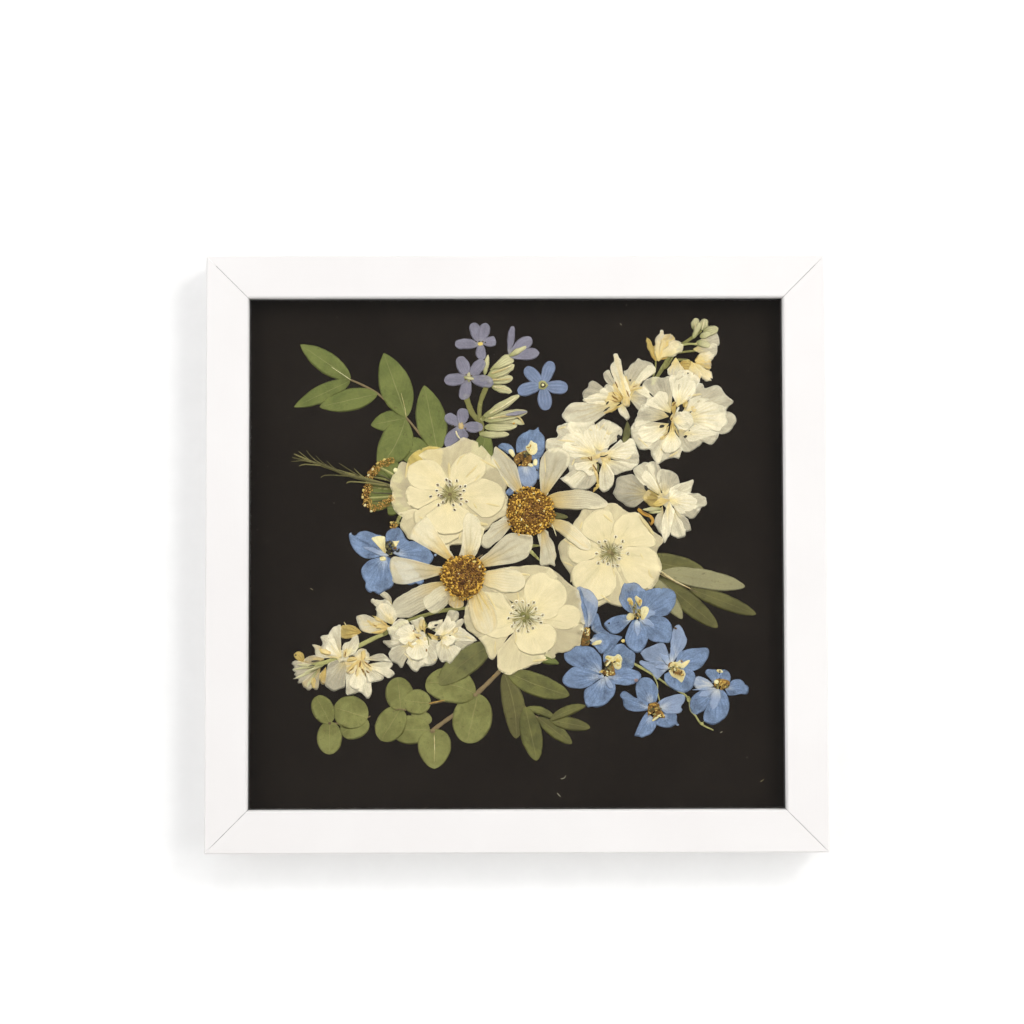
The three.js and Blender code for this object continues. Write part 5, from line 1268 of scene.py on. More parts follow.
            95.8, -85.4, 94, -88, 94.9, -90, 92.8, -91.8, 89, -92, 84.5, -92]]),
        (fans, "bee_brown", [[0, 0.4, 79.4, -90, 75, -93.6, 74.8, -90, 75.4, -87.4, 77.6, -85.8, 80.4,
            -85.8, 82, -89, 83.6, -91.6, 84.9, -94.4, 82.4, -94.6, 80, -93.8, 77.6, -95.4]]),
        (clumps, "gold_lump", [[79, -90, 7.4, 8.6, 30, 40, 0.8, "brown_lump", "gold_lump", "olive_lump"],
            [82.4, -93, 3.6, 2, -20, 10, 0.7, "gold_lump", "cream_lump"]]),
        (petals, "cream_petal", [[77.4, -96.2, 81, -93.8, 1.6, "oval"]]),
        (lumps, "pale_blue_lump", [[92, -98.4, 1.6, 1.2, 0, 0.4]]),
    ]),
    ("larkspur_floret_5", [
        (fans, "larkspur_petal", [[-0.9, 0.1, -71, -30, -78.6, -23.4, -76, -22, -73.6, -23, -71.6, -25.6],
            [0, 0.3, -72, -38, -81, -29.6, -83.4, -28, -83.6, -26.6, -82, -26, -80.6, -27, -76, -26.4, -73,
            -27.4, -71, -30, -69.4, -33.6], [0.1, 0.4, -71, -41, -80.6, -37.4, -79.8, -34, -80.8, -31.4,
            -78, -29, -73, -29, -69.4, -34, -68, -37], [0.2, 0.5, -72, -42, -81, -37.6, -84, -36, -88, -35,
            -91.6, -36.8, -90.8, -41, -88.4, -44.4, -84, -46, -79, -45.6], [0, 1, -72, -42, -84, -45.6, -80,
            -46.4, -76, -45.4, -74.2, -43]]),
        (petals, "gold_petal", [[-73, -42, -83, -42, 2.6, "lance"], [-74, -41, -82, -36, 2, "lance"],
            [-86, -38, -81, -42, 2, "lance"]]),
        (petals, "bee_brown", [[-82, -41, -79.6, -42, 0.6, "lance"]]),
    ]),
    ("larkspur_floret_7", [
        (petals, "larkspur_petal", [[-93.5, -62, -84.5, -62, 9, "round"]]),
        (fans, "larkspur_petal", [[-1.1, 0, -97, -60, -98.4, -66, -98, -72, -98.2, -76.6, -101, -78, -104.4,
            -78.8, -107.4, -77.2, -109.4, -74.6, -109, -70, -108.4, -66, -107.6, -63, -103, -61], [-0.1, 0,
            -90, -63, -98, -69, -97.6, -75, -97.4, -80, -96, -81.4, -93, -80.6, -91, -79.6, -88, -78, -87,
            -72], [0.1, 0, -89, -64, -93, -78, -89, -80, -86.6, -81.4, -85.4, -83, -83.4, -82.4, -82.6, -79,
            -83, -75, -82, -72], [0.1, 0.1, -88, -63, -85, -74.6, -82.4, -74, -78, -73, -76, -71.6, -76,
            -70, -77, -66], [0.4, 0, -87, -64, -78, -71, -75.6, -70.4, -73, -71.6, -70.6, -70.4, -70, -68.4,
            -71.4, -67, -72.8, -66, -71, -64.6, -71, -62.8, -72.4, -61], [-0.7, 0, -88, -61, -71.4, -62.6,
            -73, -60, -74.6, -58.4, -78, -57.4, -81, -58, -84, -59.6], [0.1, 0.6, -90, -62, -84.4, -60,
            -83.8, -57.6, -85, -56.2, -86, -54.6, -88, -54.4, -90.6, -55.4, -94, -57.6, -96, -59], [0.2,
            0.7, -89, -62, -96, -58.6, -98.6, -61.6, -98.4, -65, -97.4, -68.6, -93, -69.6, -90, -68.6],
            [0.4, 0, -90, -65, -96, -72, -95, -77, -91, -78, -87, -76, -86, -71]]),
        (petals, "gold_petal", [[-90, -61, -97, -68, 2.6, "leaf"], [-89.4, -61, -91.4, -71, 2.4, "leaf"],
            [-89, -61, -87, -70, 2.2, "leaf"], [-88.4, -60.6, -82.6, -67.6, 2.2, "leaf"],
            [-91, -60.4, -98, -61, 3, "leaf"], [-88, -61, -87, -55.4, 3, "oval"]]),
        (petals, "bee_brown", [[-89, -61.6, -90, -65.4, 1, "lance"], [-87, -62, -82.6, -65.4, 0.7, "lance"],
            [-88.4, -66, -87.2, -68.2, 1.1, "oval"], [-86, -67, -84, -68.6, 0.9, "lance"],
            [-93, -65, -96.6, -68.6, 0.5, "lance"], [-91.4, -66, -92, -69.6, 0.4, "lance"],
            [-86.6, -68, -86, -71, 0.4, "lance"]]),
        (stems, "card_gap", [[0.5, 0.4, -97.8, -59.4, -95, -58.8, -92.4, -58.8]]),
        (lumps, "card_gap", [[-115, -61.6, 5, 0.9, 6, 0.1], [-117, -64.2, 4, 0.7, 10, 0.1]]),
    ]),
    ("eucalyptus_right", [
        (stems, "brown_stem", [[2.2, 2.8, -9, -67, -17, -75, -24.5, -82],
            [2.2, 2.4, -33, -90.5, -40, -95.4, -48.5, -101.6], [1.4, 1.6, -40, -84, -44, -85, -50, -86]]),
        (petals, "eucalyptus_leaf", [[-22, -80.5, -28.5, -108.5, 22.5, "oval"],
            [-23.5, -80.5, -52, -74, 20.5, "oval", -2], [-47, -100.5, -47, -123, 19, "egg"]]),
        (lumps, "brown_stem", [[-23.5, -81, 2.6, 2.4, 0, 0.5], [-48, -101.5, 3, 2.6, 0, 0.5]]),
        (stems, "gold_lump", [[0.5, 0.4, -50, -86, -46, -85, -41, -84],
            [0.4, 0.3, -14, -71, -12.6, -69.6]]),
        (stems, "pale_stem", [[0.4, 0.2, -47, -104, -46.8, -112, -47, -119]]),
    ]),
    ("lilac_flower_top", [
        (petals, "lilac_petal", [[-20.5, 120, -24.8, 132.3, 6.6], [-20, 120, -17, 132.2, 6.4],
            [-20.5, 120, -35, 120.3, 6.3], [-20, 120.5, -11.5, 122, 6.5, "fan"],
            [-20.5, 121, -19.8, 111, 5.8]]),
        (lumps, "cream_lump", [[-20.4, 120.2, 3.2, 2.2, 0, 0.3]]),
        (lumps, "dark_anther", [[-22.8, 121.5, 1, 0.8, 0], [-21, 121.5, 1, 0.8, 0], [-19, 121.5, 1, 0.8, 0],
            [-17.5, 121, 1, 0.8, 0]]),
    ]),
    ("lilac_flower_low", [
        (petals, "lilac_petal", [[-31.5, 73, -40.5, 79, 6.5], [-31.5, 73, -40, 61, 7.5],
            [-31.5, 73, -30, 83, 7], [-32, 72.5, -19, 72, 6.4, "round", 0, 0.2],
            [-31.5, 72.5, -30.5, 65, 7, "fan", 0, -0.6]]),
        (petals, "gold_petal", [[-31, 71, -32, 75, 3.4, "oval"]]),
        (stems, "pale_stem", [[1.1, 0.7, -34.5, 70, -33.6, 67.4, -32, 65.5]]),
        (lumps, "dark_anther", [[-36, 73, 1.1, 0.9, 0], [-29, 71.5, 1.1, 0.9, 0]]),
    ]),
    ("delphinium_top", [
        (fans, "blue_petal", [[0.1, 0, -0.5, 56, -5, 57, -8, 59.2, -10.6, 60.6, -8.6, 62.8, -5, 62.8, -2.4,
            61.4, -1, 59], [0, 0, -1, 36, -3, 38, -6, 34.8, -4, 32.8, -1.4, 34],
            [0, 0, 9, 51, 13.6, 55, 13.2, 50, 12.8, 47, 13.4, 43, 11, 41], [0.2, 0, 5, 56.6, 0.4, 57.6, 0,
            61, 0.6, 65, 3, 68.2, 6, 69.4, 8, 70.8, 10.4, 70.2, 12.8, 72.2, 13.4, 70, 15.4, 68, 16.5, 65,
            16.4, 60, 15.4, 57, 14.4, 55, 10, 52.6]]),
        (fans, "pale_blue_petal", [[0.3, 0, 5, 50.6, 1, 49.4, 1, 45, 1.8, 41.4, 3.6, 38.6, 6, 36.8, 7.6,
            36.4, 9.6, 37.8, 11.6, 40.6, 12.4, 44, 12, 47, 10.6, 49.4, 7, 50.6]]),
        (fans, "bee_brown", [[0, 0.3, 4, 54, 0.4, 50, -1.4, 53.6, 0.6, 56.6, 4, 58.4, 8, 58.4, 9, 54, 7,
            49.8, 3, 49.6]]),
        (clumps, "gold_lump", [[3.6, 53.4, 7, 7.6, 20, 40, 0.8, "brown_lump", "gold_lump", "brown_lump"],
            [6.4, 56.4, 4, 4, 0, 12, 0.8, "olive_lump", "dark_lump"]]),
        (fans, "cream_petal", [[0.4, 0.3, 7, 57, 5.4, 60, 7.4, 62.6, 8.6, 64.6, 10, 63.4, 11.8, 62.8, 12.4,
            60.6, 12.2, 58, 10.6, 56.4, 8.8, 56], [0.4, 0.2, -1.6, 54.6, -4.4, 57.6, -4.4, 59, -2.6, 59.6,
            -1.4, 58.6, -0.6, 56], [0.5, 0, 9, 49, 6.6, 50, 7.4, 51.4, 9.2, 51, 10, 50],
            [0.5, 0, 10, 50, 9.6, 53, 11.4, 54, 12.4, 52.6, 11.8, 50]]),
        (clumps, "gold_lump", [[7.2, 60.4, 3, 3.4, 60, 9, 0.9, "gold_lump", "cream_lump"]]),
        (lumps, "dark_lump", [[5, 55.4, 1.6, 2.4, 20, 0.4], [12, 47.4, 1.6, 1, -50, 0.1]]),
    ]),
    ("larkspur_floret_2", [
        (petals, "larkspur_petal", [[88.5, 77, 97.5, 77, 9, "round"]]),
        (fans, "larkspur_petal", [[-0.9, 0.05, 89, 80, 74, 92, 72.6, 95.4, 74.4, 98.6, 76.4, 100.4, 80, 101,
            85, 100.6, 88, 101.4, 91, 100], [0.1, 0.05, 93, 82, 88, 97, 88.4, 101, 92, 103.4, 96.6, 105.2,
            100, 104.4, 104, 101.8, 106, 99, 105, 97], [-0.7, 0.05, 96, 81, 104.6, 97.6, 107.6, 96.8, 108.4,
            94.4, 111, 95, 114.4, 96, 117, 95.6, 118.8, 93.6, 120, 91, 122.6, 89.2, 124.6, 87.6, 125, 86,
            122.4, 84, 121, 81.6], [-0.7, 0, 96, 77, 121, 81, 123.6, 80.4, 125.8, 78.4, 126.6, 75, 124.8,
            72, 122.4, 69, 119, 67.8, 116.6, 68.2], [-0.7, 0, 93, 72, 117, 69, 116, 66, 113.6, 63, 112.2,
            61.8, 109.6, 62.6, 107.8, 63.4, 106.4, 61.6, 103, 59.6, 99.6, 57.4, 96, 58, 94.6, 60], [0, 0.3,
            90, 72, 96, 60, 94.6, 57, 93.6, 53.4, 91, 54.2, 87.6, 53.6, 84, 52, 81.4, 50.6, 80, 54, 79.6,
            58], [-0.5, 0.1, 88, 73, 84, 53, 81, 50.6, 79.4, 52.4, 77.6, 56, 77.2, 59, 74, 58.8, 70.8,
            59.2], [0.1, 0, 88, 74, 77, 60, 73, 59, 70.4, 60, 68, 62.6, 66.2, 66.6, 66, 70.4, 67.4, 74, 70,
            76], [-0.8, 0.05, 88, 78, 66.6, 71, 68.6, 76.4, 70.4, 81, 71, 84, 74, 86, 78, 88], [0, 0.05, 89,
            80, 74, 84, 75.6, 88, 77.8, 89.6, 80, 91.4, 84, 94, 88, 93], [0.5, 0.05, 97, 77, 104, 83.6,
            107.4, 86.4, 112, 87.4, 117, 86, 120.4, 82, 121.4, 77, 121, 72.6, 117.6, 69.6, 112, 70.6, 107,
            71, 103, 70], [-0.1, 0, 96, 68, 99.6, 70.6, 102.4, 73, 107, 72.6, 112, 70.4, 116, 68, 110, 66,
            104, 63.6, 99, 63], [0.3, 0, 93, 84, 90, 90, 90.6, 97, 94, 101.6, 99, 101.4, 103, 97.6, 103.4,
            92, 100, 88], [-0.5, 0.1, 97, 80, 100, 88, 106, 90, 112, 89, 108, 86, 104, 82], [-0.3, 0.2, 90,
            76, 93, 80.6, 97, 81.4, 100.6, 80, 102.4, 76, 101.6, 72, 98, 69.6, 93, 70.4], [0.1, 0, 87, 73,
            72, 73, 69, 69, 69.6, 65, 74, 62.6, 79, 63, 84, 66]]),
        (fans, "gold_petal", [[0, 0, 91, 78, 89, 82, 90, 86, 92, 86.6, 92, 84, 91.8, 81],
            [0, 0, 96, 84, 95.6, 87.6, 98, 88.2, 99, 85.6, 97.6, 82.4], [0, 0, 101, 81.4, 100.6, 84, 103,
            83.8, 104.2, 82.6, 102.6, 80.4], [0, 0, 90, 77, 88.6, 72, 88, 66.6, 90.4, 67, 91.4, 72], [0, 0,
            84, 63, 82.4, 66, 85.6, 67.6, 86.6, 65.4, 84.2, 61, 84.4, 57.8, 82, 58.6, 81.4, 61.6]]),
        (petals, "rose_fold", [[99, 90, 107, 91, 1.4, "lance"], [91, 73, 93.6, 66.6, 1.2, "lance"],
            [88, 55, 93, 58, 1.6, "lance"], [84, 68, 87, 70, 1, "lance"],
            [102.6, 73.4, 103.4, 70, 0.8, "lance"], [70, 66, 76, 60.4, 1, "lance"]]),
        (fans, "larkspur_petal", [[0.5, 0.1, 90, 70, 84, 64, 83, 60, 85.6, 56.6, 90, 57, 94, 59.4, 95, 63,
            93.6, 66]]),
        (petals, "bee_brown", [[90, 84, 92, 86.4, 1, "lance"], [89, 76, 90, 77.6, 0.8, "lance"],
            [85, 66.6, 87.6, 68.6, 0.5, "lance"]]),
        (lumps, "card_gap", [[94.4, 82.8, 3.4, 4.8, -12, 0.1], [88, 75, 2.4, 1.9, 140, 0.1],
            [83.8, 72.4, 3.2, 1.9, 20, 0.1], [97.4, 66.6, 2.4, 1.5, 30, 0.1], [99.6, 70, 1.2, 0.6, 60, 0.1],
            [77.8, 90.6, 3.6, 0.9, 135, 0.1], [99, 103, 1, 0.8, 0, 0.1], [69.2, 60.4, 1.6, 1.2, 0, 0.1]]),
        (petals, "pollen", [[92.2, 80.6, 93.8, 83.6, 1.3, "oval"]]),
    ]),
    ("feather_grass", [
        (stems, "straw_stem", [[2.6, 0.8, -68, 37, -78, 39.8, -90, 43.6, -103, 47.4, -115, 51.6, -127.5,
            57], [1.6, 0.7, -72, 38, -85, 41.4, -98, 45, -113, 51, -128.5, 55],
            [0.8, 0.4, -108, 49.5, -114, 52.5, -118, 56, -120.3, 59],
            [0.8, 0.4, -98, 46, -104, 48.5, -108.8, 53], [0.8, 0.4, -90, 44, -96, 48, -101.7, 51.6],
            [0.8, 0.4, -86, 42.5, -90, 45.5, -93, 48.7], [0.8, 0.5, -112, 50.2, -121, 51, -124.6, 50],
            [0.8, 0.5, -92, 43.6, -102, 44.6, -110, 44.6, -112, 43.2],
            [1.1, 0.6, -74, 38.6, -85, 40.2, -95, 41, -97.3, 40],
            [0.5, 0.3, -118, 53, -123, 57, -125, 58.6], [0.5, 0.3, -115, 51.6, -122, 53, -129, 52.6],
            [0.5, 0.3, -104, 48, -111, 52, -115, 56]]),
    ]),
    ("delphinium_left", [
        (fans, "blue_petal", [[0, 0, -70, -6, -64, -17.6, -60, -18.4, -57.4, -17.2, -55.4, -18.4, -53.4,
            -17.4, -53, -15.4, -55, -13.4, -60, -8, -66, -4], [0.1, 0, -71, 2, -75, 7, -74.6, 11, -72.6,
            13.6, -69.6, 14.4, -66.4, 14, -65, 12, -63.4, 8.4, -61, 6, -66, 3, -70, 1], [0.3, 0, -71, 0,
            -67, 3, -62, 6.4, -58, 6.6, -54, 5, -50.6, 3.4, -48.6, 0, -47.6, -3, -50, -6.4, -55, -5, -60,
            -4, -66, -2.6], [0.2, 0, -75, -0.6, -78, -2, -82.6, -3, -87, -2.8, -90.6, -0.6, -93, 2, -95, 6,
            -96, 10.6, -95, 11.4, -94.2, 10, -92, 10, -90.6, 12, -87, 12.7, -83, 12, -80, 10.6, -77, 10,
            -77, 5, -76, 1], [0.3, 0, -75, -1.5, -80, -3, -84, -4, -87.4, -7, -89, -10.6, -88, -14, -86.2,
            -17, -86.6, -19.4, -85, -22, -83, -23, -82, -22, -79, -23.8, -76, -22.2, -72, -20, -70.2, -17,
            -71.4, -13, -72, -8, -72, -3]]),
        (petals, "pale_blue_petal", [[-73, -1.6, -88, 3.6, 3.4, "leaf", 0, 1]]),
        (clumps, "dark_lump", [[-72.6, 3.2, 4.6, 8, 0, 30, 1.1, "dark_lump", "olive_lump", "dark_lump"],
            [-68.4, 2, 3, 3, 0, 8, 1, "brown_lump", "dark_lump"]]),
        (fans, "cream_petal", [[0.4, 0.4, -75, -0.4, -76.6, 1, -78, 3, -79.6, 6, -80.8, 8, -83, 8, -82.6,
            9.2, -79, 9.8, -76.6, 9.8, -75, 9, -75.6, 7, -75.4, 4, -74.2, 1.4], [0.4, 0.3, -77, -2, -78.2,
            -2.4, -78, -4.2, -76, -4.6, -74.4, -3.8, -75.4, -2],
            [0.4, 0.4, -69, 3.2, -71, 7, -69, 6.8, -66.8, 7.2]]),
        (lumps, "pale_blue_lump", [[-95, 11, 1.6, 1, 60, 0.3], [-46.4, -1.2, 1.6, 1.3, 30, 0.3]]),
    ]),
    ("rose_right", [
        (petals, "rose_petal", [[43, 0, 65, 0, 22, "round"]]),
        (fans, "rose_petal", [[-1, 0, 50, -1, 31, -17, 30.6, -12, 28, -8.4, 26, -5, 24.6, 0, 24.2, 4, 26, 7,
            29, 8.6, 33, 9], [-0.2, 0, 51, 3, 29, 8, 31, 13, 33, 17, 35.4, 20.4, 38, 24.6, 42, 26, 47, 27],
            [-0.1, 0.1, 54, 3, 44, 25, 50, 28, 55.6, 28.4, 59.6, 26.8, 61.4, 25, 64, 23.4, 67, 22.6, 70,
            22], [-0.9, 0, 57, 2, 70, 23, 72, 21, 74, 18.4, 78, 13, 81, 10.4, 84.2, 8.2, 84.3, 6, 82, 3.2,
            80.6, 0, 80, -4], [-0.3, 0.1, 56, -2, 82, -3, 83.4, -8.4, 82, -13, 80.4, -17.6, 77.6, -20.8, 74,
            -22, 66, -22, 60, -20], [-0.4, 0, 54, -3, 62, -18, 62, -26, 60.4, -31, 56, -30.4, 52.4, -28.8,
            49.6, -29.8, 46, -31, 42, -28, 38, -24], [0.1, 0, 52, 0, 36, -7, 31, -4.6, 29, 0.6, 30.6, 5.6,
            35, 9, 41, 9], [0, 0.05, 52, 2, 37, 10, 38, 17, 42, 22, 48, 24.6, 54, 23.6, 56, 18], [0.3, 0,
            57, 4, 57.4, 9, 56, 13, 56.2, 16, 58.6, 19.6, 62, 22.2, 66.4, 23, 70, 22.4, 73, 18, 76, 12.4,
            79.6, 8, 80, 4, 76, 3], [0.3, 0, 57, -1, 63.6, 3.2, 68, 3.2, 72, 3.6, 76, 2.8, 80.4, -0.6, 82,
            -5, 82.6, -9, 81, -14, 78, -18.6, 73, -21.6, 67, -20, 62, -15], [0.6, 0, 52.6, -2, 46, -6.4, 41,
            -5, 36.6, -5.6, 33, -8.4, 31.6, -12.4, 32, -17, 34.4, -22, 39, -26, 44, -28, 49, -27, 54, -24.4,
            57, -19.4, 57, -13.4]]),
        (petals, "rose_fold", [[76, -9.4, 78.6, -15, 1, "lance", -0.9], [70.6, 21.4, 79, 10, 2.2, "lance"],
            [71, -0.4, 73, -3.8, 0.7, "lance"], [36.6, 13.4, 37.8, 18, 1.1, "lance"],
            [55, -7, 56.4, -14, 0.8, "lance"], [27, 7.6, 34, 3.4, 1, "lance"],
            [50, 22, 55.6, 17, 1.2, "lance"], [26.6, -5, 33, -8, 0.9, "lance"],
            [48, -24, 54, -28.6, 1, "lance"]]),
        (rays, "pale_thread", [[54, 0, 1.5, 9, 46, 0.34]]),
        (rays, "stamen_thread", [[54, 0, 0.6, 7.4, 44, 0.5]]),
        (anthers, "tan_anther", [[54, 0, 47.5, 6, 51, 6.5, 46, -0.5, 47, -6, 52.5, -6.5, 58, -7.5, 64, -0.5,
            61, 6.5, 57, 9, 50, -5, 59, -3.5, 60, 3, 55.5, -7.6, 49.5, 3.6]]),
        (lumps, "tan_anther", [[53.4, 0.4, 3, 2.6, 0, 0.5], [55, -0.8, 2.4, 2.2, 0, 0.5]]),
    ]),
    ("delphinium_3", [
        (fans, "blue_petal", [[0.1, 0, 53, -68, 49.6, -62, 49.8, -58, 53, -55, 57, -52.8, 61, -52.4, 64,
            -54.6, 67, -57, 68.2, -58, 67.6, -62, 66.6, -66, 62, -67, 57, -68.6], [0.3, 0, 52, -71, 55, -75,
            58, -75.4, 62, -76, 66, -75.4, 69, -74, 71.2, -71, 70.6, -68.6, 67, -67, 62, -66, 57, -67.6],
            [0.1, 0, 49, -71, 47, -69.4, 41, -67, 37, -65.4, 32.5, -65.4, 29, -68, 27, -70.6, 26.3, -74, 28,
            -76, 31, -77.3, 35, -77.6, 38.5, -77.4, 42, -76, 46, -73], [0.3, 0, 49, -69.5, 48.6, -64, 48.4,
            -60, 46, -56.6, 43, -54, 38, -53, 34, -53.4, 30, -56.4, 27.2, -57.6, 28.2, -61.8, 31, -64.2,
            33.6, -65.2, 36, -64.6, 41, -67, 46, -69], [0.3, 0, 50, -71, 47, -73, 42, -76.4, 39, -78.4,
            38.5, -82, 39.2, -86, 40.6, -88.6, 43, -87.8, 46, -88.4, 50, -87.2, 53.4, -84.4, 55.8, -81,
            56.7, -77.4, 55.6, -74, 53, -72]]),
        (petals, "pale_blue_petal", [[50.6, -70.6, 54.5, -77.5, 4, "round", 0, 1],
            [50, -70.5, 46.4, -71, 3, "leaf", 0, 1]]),
        (fans, "bee_brown", [[0, 0.5, 52, -66.6, 48, -67.4, 49, -69, 52, -70.4, 56.2, -70, 56, -67, 55, -63,
            52.4, -61, 50, -63]]),
        (clumps, "gold_lump", [[51.6, -68.6, 8, 2.6, -10, 20, 0.8, "gold_lump", "brown_lump", "cream_lump"],
            [52.4, -64.4, 4.6, 6, -10, 22, 0.9, "olive_lump", "dark_lump", "olive_lump"]]),
        (fans, "cream_petal", [[0.4, 0.4, 54.6, -62.6, 50.6, -60.6, 51.4, -58.8, 54, -59, 56, -59.4, 58,
            -58, 60, -59.4, 60.6, -61.4, 60, -63.6, 60, -65.6, 58.6, -67, 56.4, -66.2, 55.4, -64.4]]),
        (clumps, "cream_lump", [[58.2, -62, 3.6, 5.4, 0, 14, 1, "cream_lump", "gold_lump", "cream_lump"],
            [52.6, -59.8, 3, 1.6, 0, 5, 0.9, "cream_lump"]]),
        (petals, "cream_petal", [[51, -64.8, 53.6, -61.8, 1.4, "oval", 0, 0.6]]),
        (lumps, "dark_lump", [[56, -62.4, 1.8, 0.9, 30, 0.3]]),
        (lumps, "stain_lump", [[68.4, -73, 2.4, 2, 0, 0.06]]),
    ]),
    ("delphinium_6", [
        (fans, "blue_petal", [[0.1, 0, 114, -75, 112, -74.6, 111, -72.6, 108.6, -70.2, 107.8, -68.4, 109,
            -67, 112, -67, 114.6, -67.2, 116, -69.6, 116, -72], [0.1, 0, 117.4, -74, 115.6, -71, 117.6, -67,
            120, -67.4, 121.8, -69, 122.6, -71.6, 122, -74], [0.2, 0, 119, -77.5, 121.6, -75, 123, -73.4,
            126, -72.4, 129, -73.4, 131, -76, 132.4, -76.2, 132.8, -78, 131.8, -81.2, 128.4, -81, 123.6,
            -82, 120.4, -81.6]]),
        (fans, "pale_blue_petal", [[1, 0.6, 113, -76.5, 111.4, -74.4, 108, -72, 104, -70.8, 102, -72, 101,
            -75, 102.6, -77.6, 105.4, -78, 110, -76.6]]),
        (fans, "blue_petal", [[0.2, 0, 114, -78.4, 110.6, -77, 106, -78.6, 102, -81, 99.6, -83.6, 98.8, -88,
            100, -91.4, 102.4, -92.6, 105.4, -91.4, 107.6, -90, 110, -86], [0.4, 0, 115, -78, 112, -82, 109,
            -88, 107, -92, 107, -96.6, 109.6, -98, 112, -98.6, 115.6, -97.4, 119, -94.6, 121, -91.4, 121.6,
            -88, 121.2, -84, 120, -81, 118, -78.6]]),
        (petals, "pale_blue_petal", [[115, -78, 104, -82, 5, "leaf", 0, 1],
            [115, -78, 112, -90, 6, "leaf", 0, 1], [114, -77.6, 100.4, -78.6, 1.6, "leaf", 0, 1]]),
        (fans, "bee_brown", [[0, 0.6, 117, -75.6, 113, -77, 112.8, -74, 114.6, -72.4, 118, -72.4, 121, -73,
            122, -75, 120.6, -77.6, 117, -78.4]]),
        (clumps, "gold_lump", [[117.4, -75.4, 8.6, 5.4, 0, 34, 0.9, "gold_lump", "olive_lump", "brown_lump",
            "gold_lump"]]),
        (lumps, "cream_lump", [[114.2, -74, 2.8, 2.4, 0, 0.7]]),
        (petals, "cream_petal", [[114.4, -67.4, 118, -68.4, 2, "oval", 0, 0.6]]),
        (lumps, "brown_lump", [[116.2, -67.8, 1.2, 1, 0, 0.2]]),
    ]),
    ("larkspur_floret_6", [
        (petals, "larkspur_petal", [[-103.5, -59, -96.5, -59, 7, "round"]]),
        (fans, "larkspur_petal", [[0, 0.6, -100, -60, -111.4, -53.6, -113.4, -52.6, -117, -52.2, -115.2,
            -54.6, -115, -58.6, -110, -60], [-0.1, 0, -100, -60, -109, -58, -110.8, -56, -111.8, -53.4,
            -111, -51, -111.8, -48.8, -112.2, -47.2, -109, -46.8, -106, -46], [-0.3, 0, -100, -60, -108,
            -48, -106.4, -44.4, -105, -42.4, -102, -41.4, -100.6, -41, -100.6, -48, -100.4, -54], [-0.1,
            0.2, -98, -60, -99.8, -54, -98.4, -51.4, -96, -50.8, -94.4, -49.4, -93.6, -47.4, -90.6, -46.6,
            -90, -50, -90.4, -54, -92, -57]]),
        (fans, "gold_petal", [[-0.5, 0, -88.6, -45.4, -94, -48.4, -98, -49, -100.8, -47.6, -100.8, -42, -97,
            -41, -93, -41.6, -90.4, -43.4]]),
        (fans, "larkspur_petal", [[0.5, 0, -100, -60, -108.6, -57, -109.6, -52, -105, -48, -102.6, -53,
            -101, -57]]),
        (petals, "gold_petal", [[-98.6, -59.4, -97, -54.6, 2.2, "oval"],
            [-106, -57.4, -113, -55, 3, "oval"]]),
        (petals, "rose_fold", [[-107, -50.6, -101, -58.6, 0.6, "lance", -0.6]]),
        (petals, "bee_brown", [[-98, -59, -97.6, -56, 0.8, "lance"]]),
        (stems, "pale_stem", [[0.8, 0.5, -97.4, -41.4, -98.6, -39.4]]),
    ]),
    ("larkspur_floret_8", [
        (petals, "larkspur_petal", [[-62, -49, -52, -49, 10, "round"]]),
        (fans, "larkspur_petal", [[-0.1, 0, -58, -47, -62, -38.6, -66, -37.6, -68, -38.4, -70.4, -40.6, -72,
            -42, -74, -42.4, -73.4, -45, -72.4, -47.4, -71.6, -50, -71, -53], [-1.4, 0, -62, -50, -71.6,
            -49.6, -74, -50, -76.8, -50.2, -75, -52.4, -72.6, -54.4, -70.6, -55], [0, 0.3, -56, -46, -61,
            -39, -57, -37.4, -53.6, -36.6, -52.6, -39, -52.4, -41.6, -53, -43], [-0.8, 0, -59, -50, -71,
            -54, -73.4, -57.6, -72.4, -60, -71, -62, -68, -64, -65.4, -65.6, -64, -62.6, -62, -60, -60,
            -57], [0.2, 0, -57, -49, -63, -62.6, -61, -65, -59.6, -66.8, -58, -68, -56.4, -67.4, -55, -65.6,
            -52, -64.6, -50, -64.6], [-0.2, 0, -54, -48, -58, -62, -53, -63.6, -50, -64.4, -47.6, -64,
            -45.6, -61.6, -45, -57, -44, -52, -47, -48], [0.5, 0, -57, -48, -59, -41, -63, -41, -68, -43.6,
            -69, -48, -66, -52, -62, -52.6, -59.6, -50], [0.4, 0, -56, -49, -62, -54, -64, -57, -60, -61,
            -56, -61.6, -51, -60, -48, -55, -50.6, -50]]),
        (petals, "rose_fold", [[-64.6, -57, -59.4, -62, 0.7, "lance"], [-66, -53.4, -60, -53, 0.9, "lance"],
            [-54, -38, -55, -44, 2.6, "oval"], [-62, -49, -62.6, -53, 1.4, "lance"],
            [-49, -60, -46, -61.6, 1.4, "oval"]]),
        (petals, "gold_petal", [[-59, -46.4, -54.4, -47.4, 2.4, "round"],
            [-62, -50.6, -58.6, -54.4, 2, "lance"], [-53, -38, -52.4, -46, 1.6, "lance"],
            [-55.4, -42, -53, -44, 1.8, "oval"]]),
        (petals, "bee_brown", [[-57.4, -48, -55.4, -49, 0.9, "lance"],
            [-51.6, -56.6, -51.4, -54.6, 0.9, "oval"]]),
        (petals, "pollen", [[-60, -52.4, -57, -51.4, 1.6, "oval"]]),
        (lumps, "brown_lump", [[-58.8, -44.6, 1.1, 1, 0, 0.2]]),
        (stems, "olive_lump", [[0.7, 0.5, -51.8, -46, -50.6, -49.4, -50, -53]]),
    ]),
    ("dark_leaf_lower", [
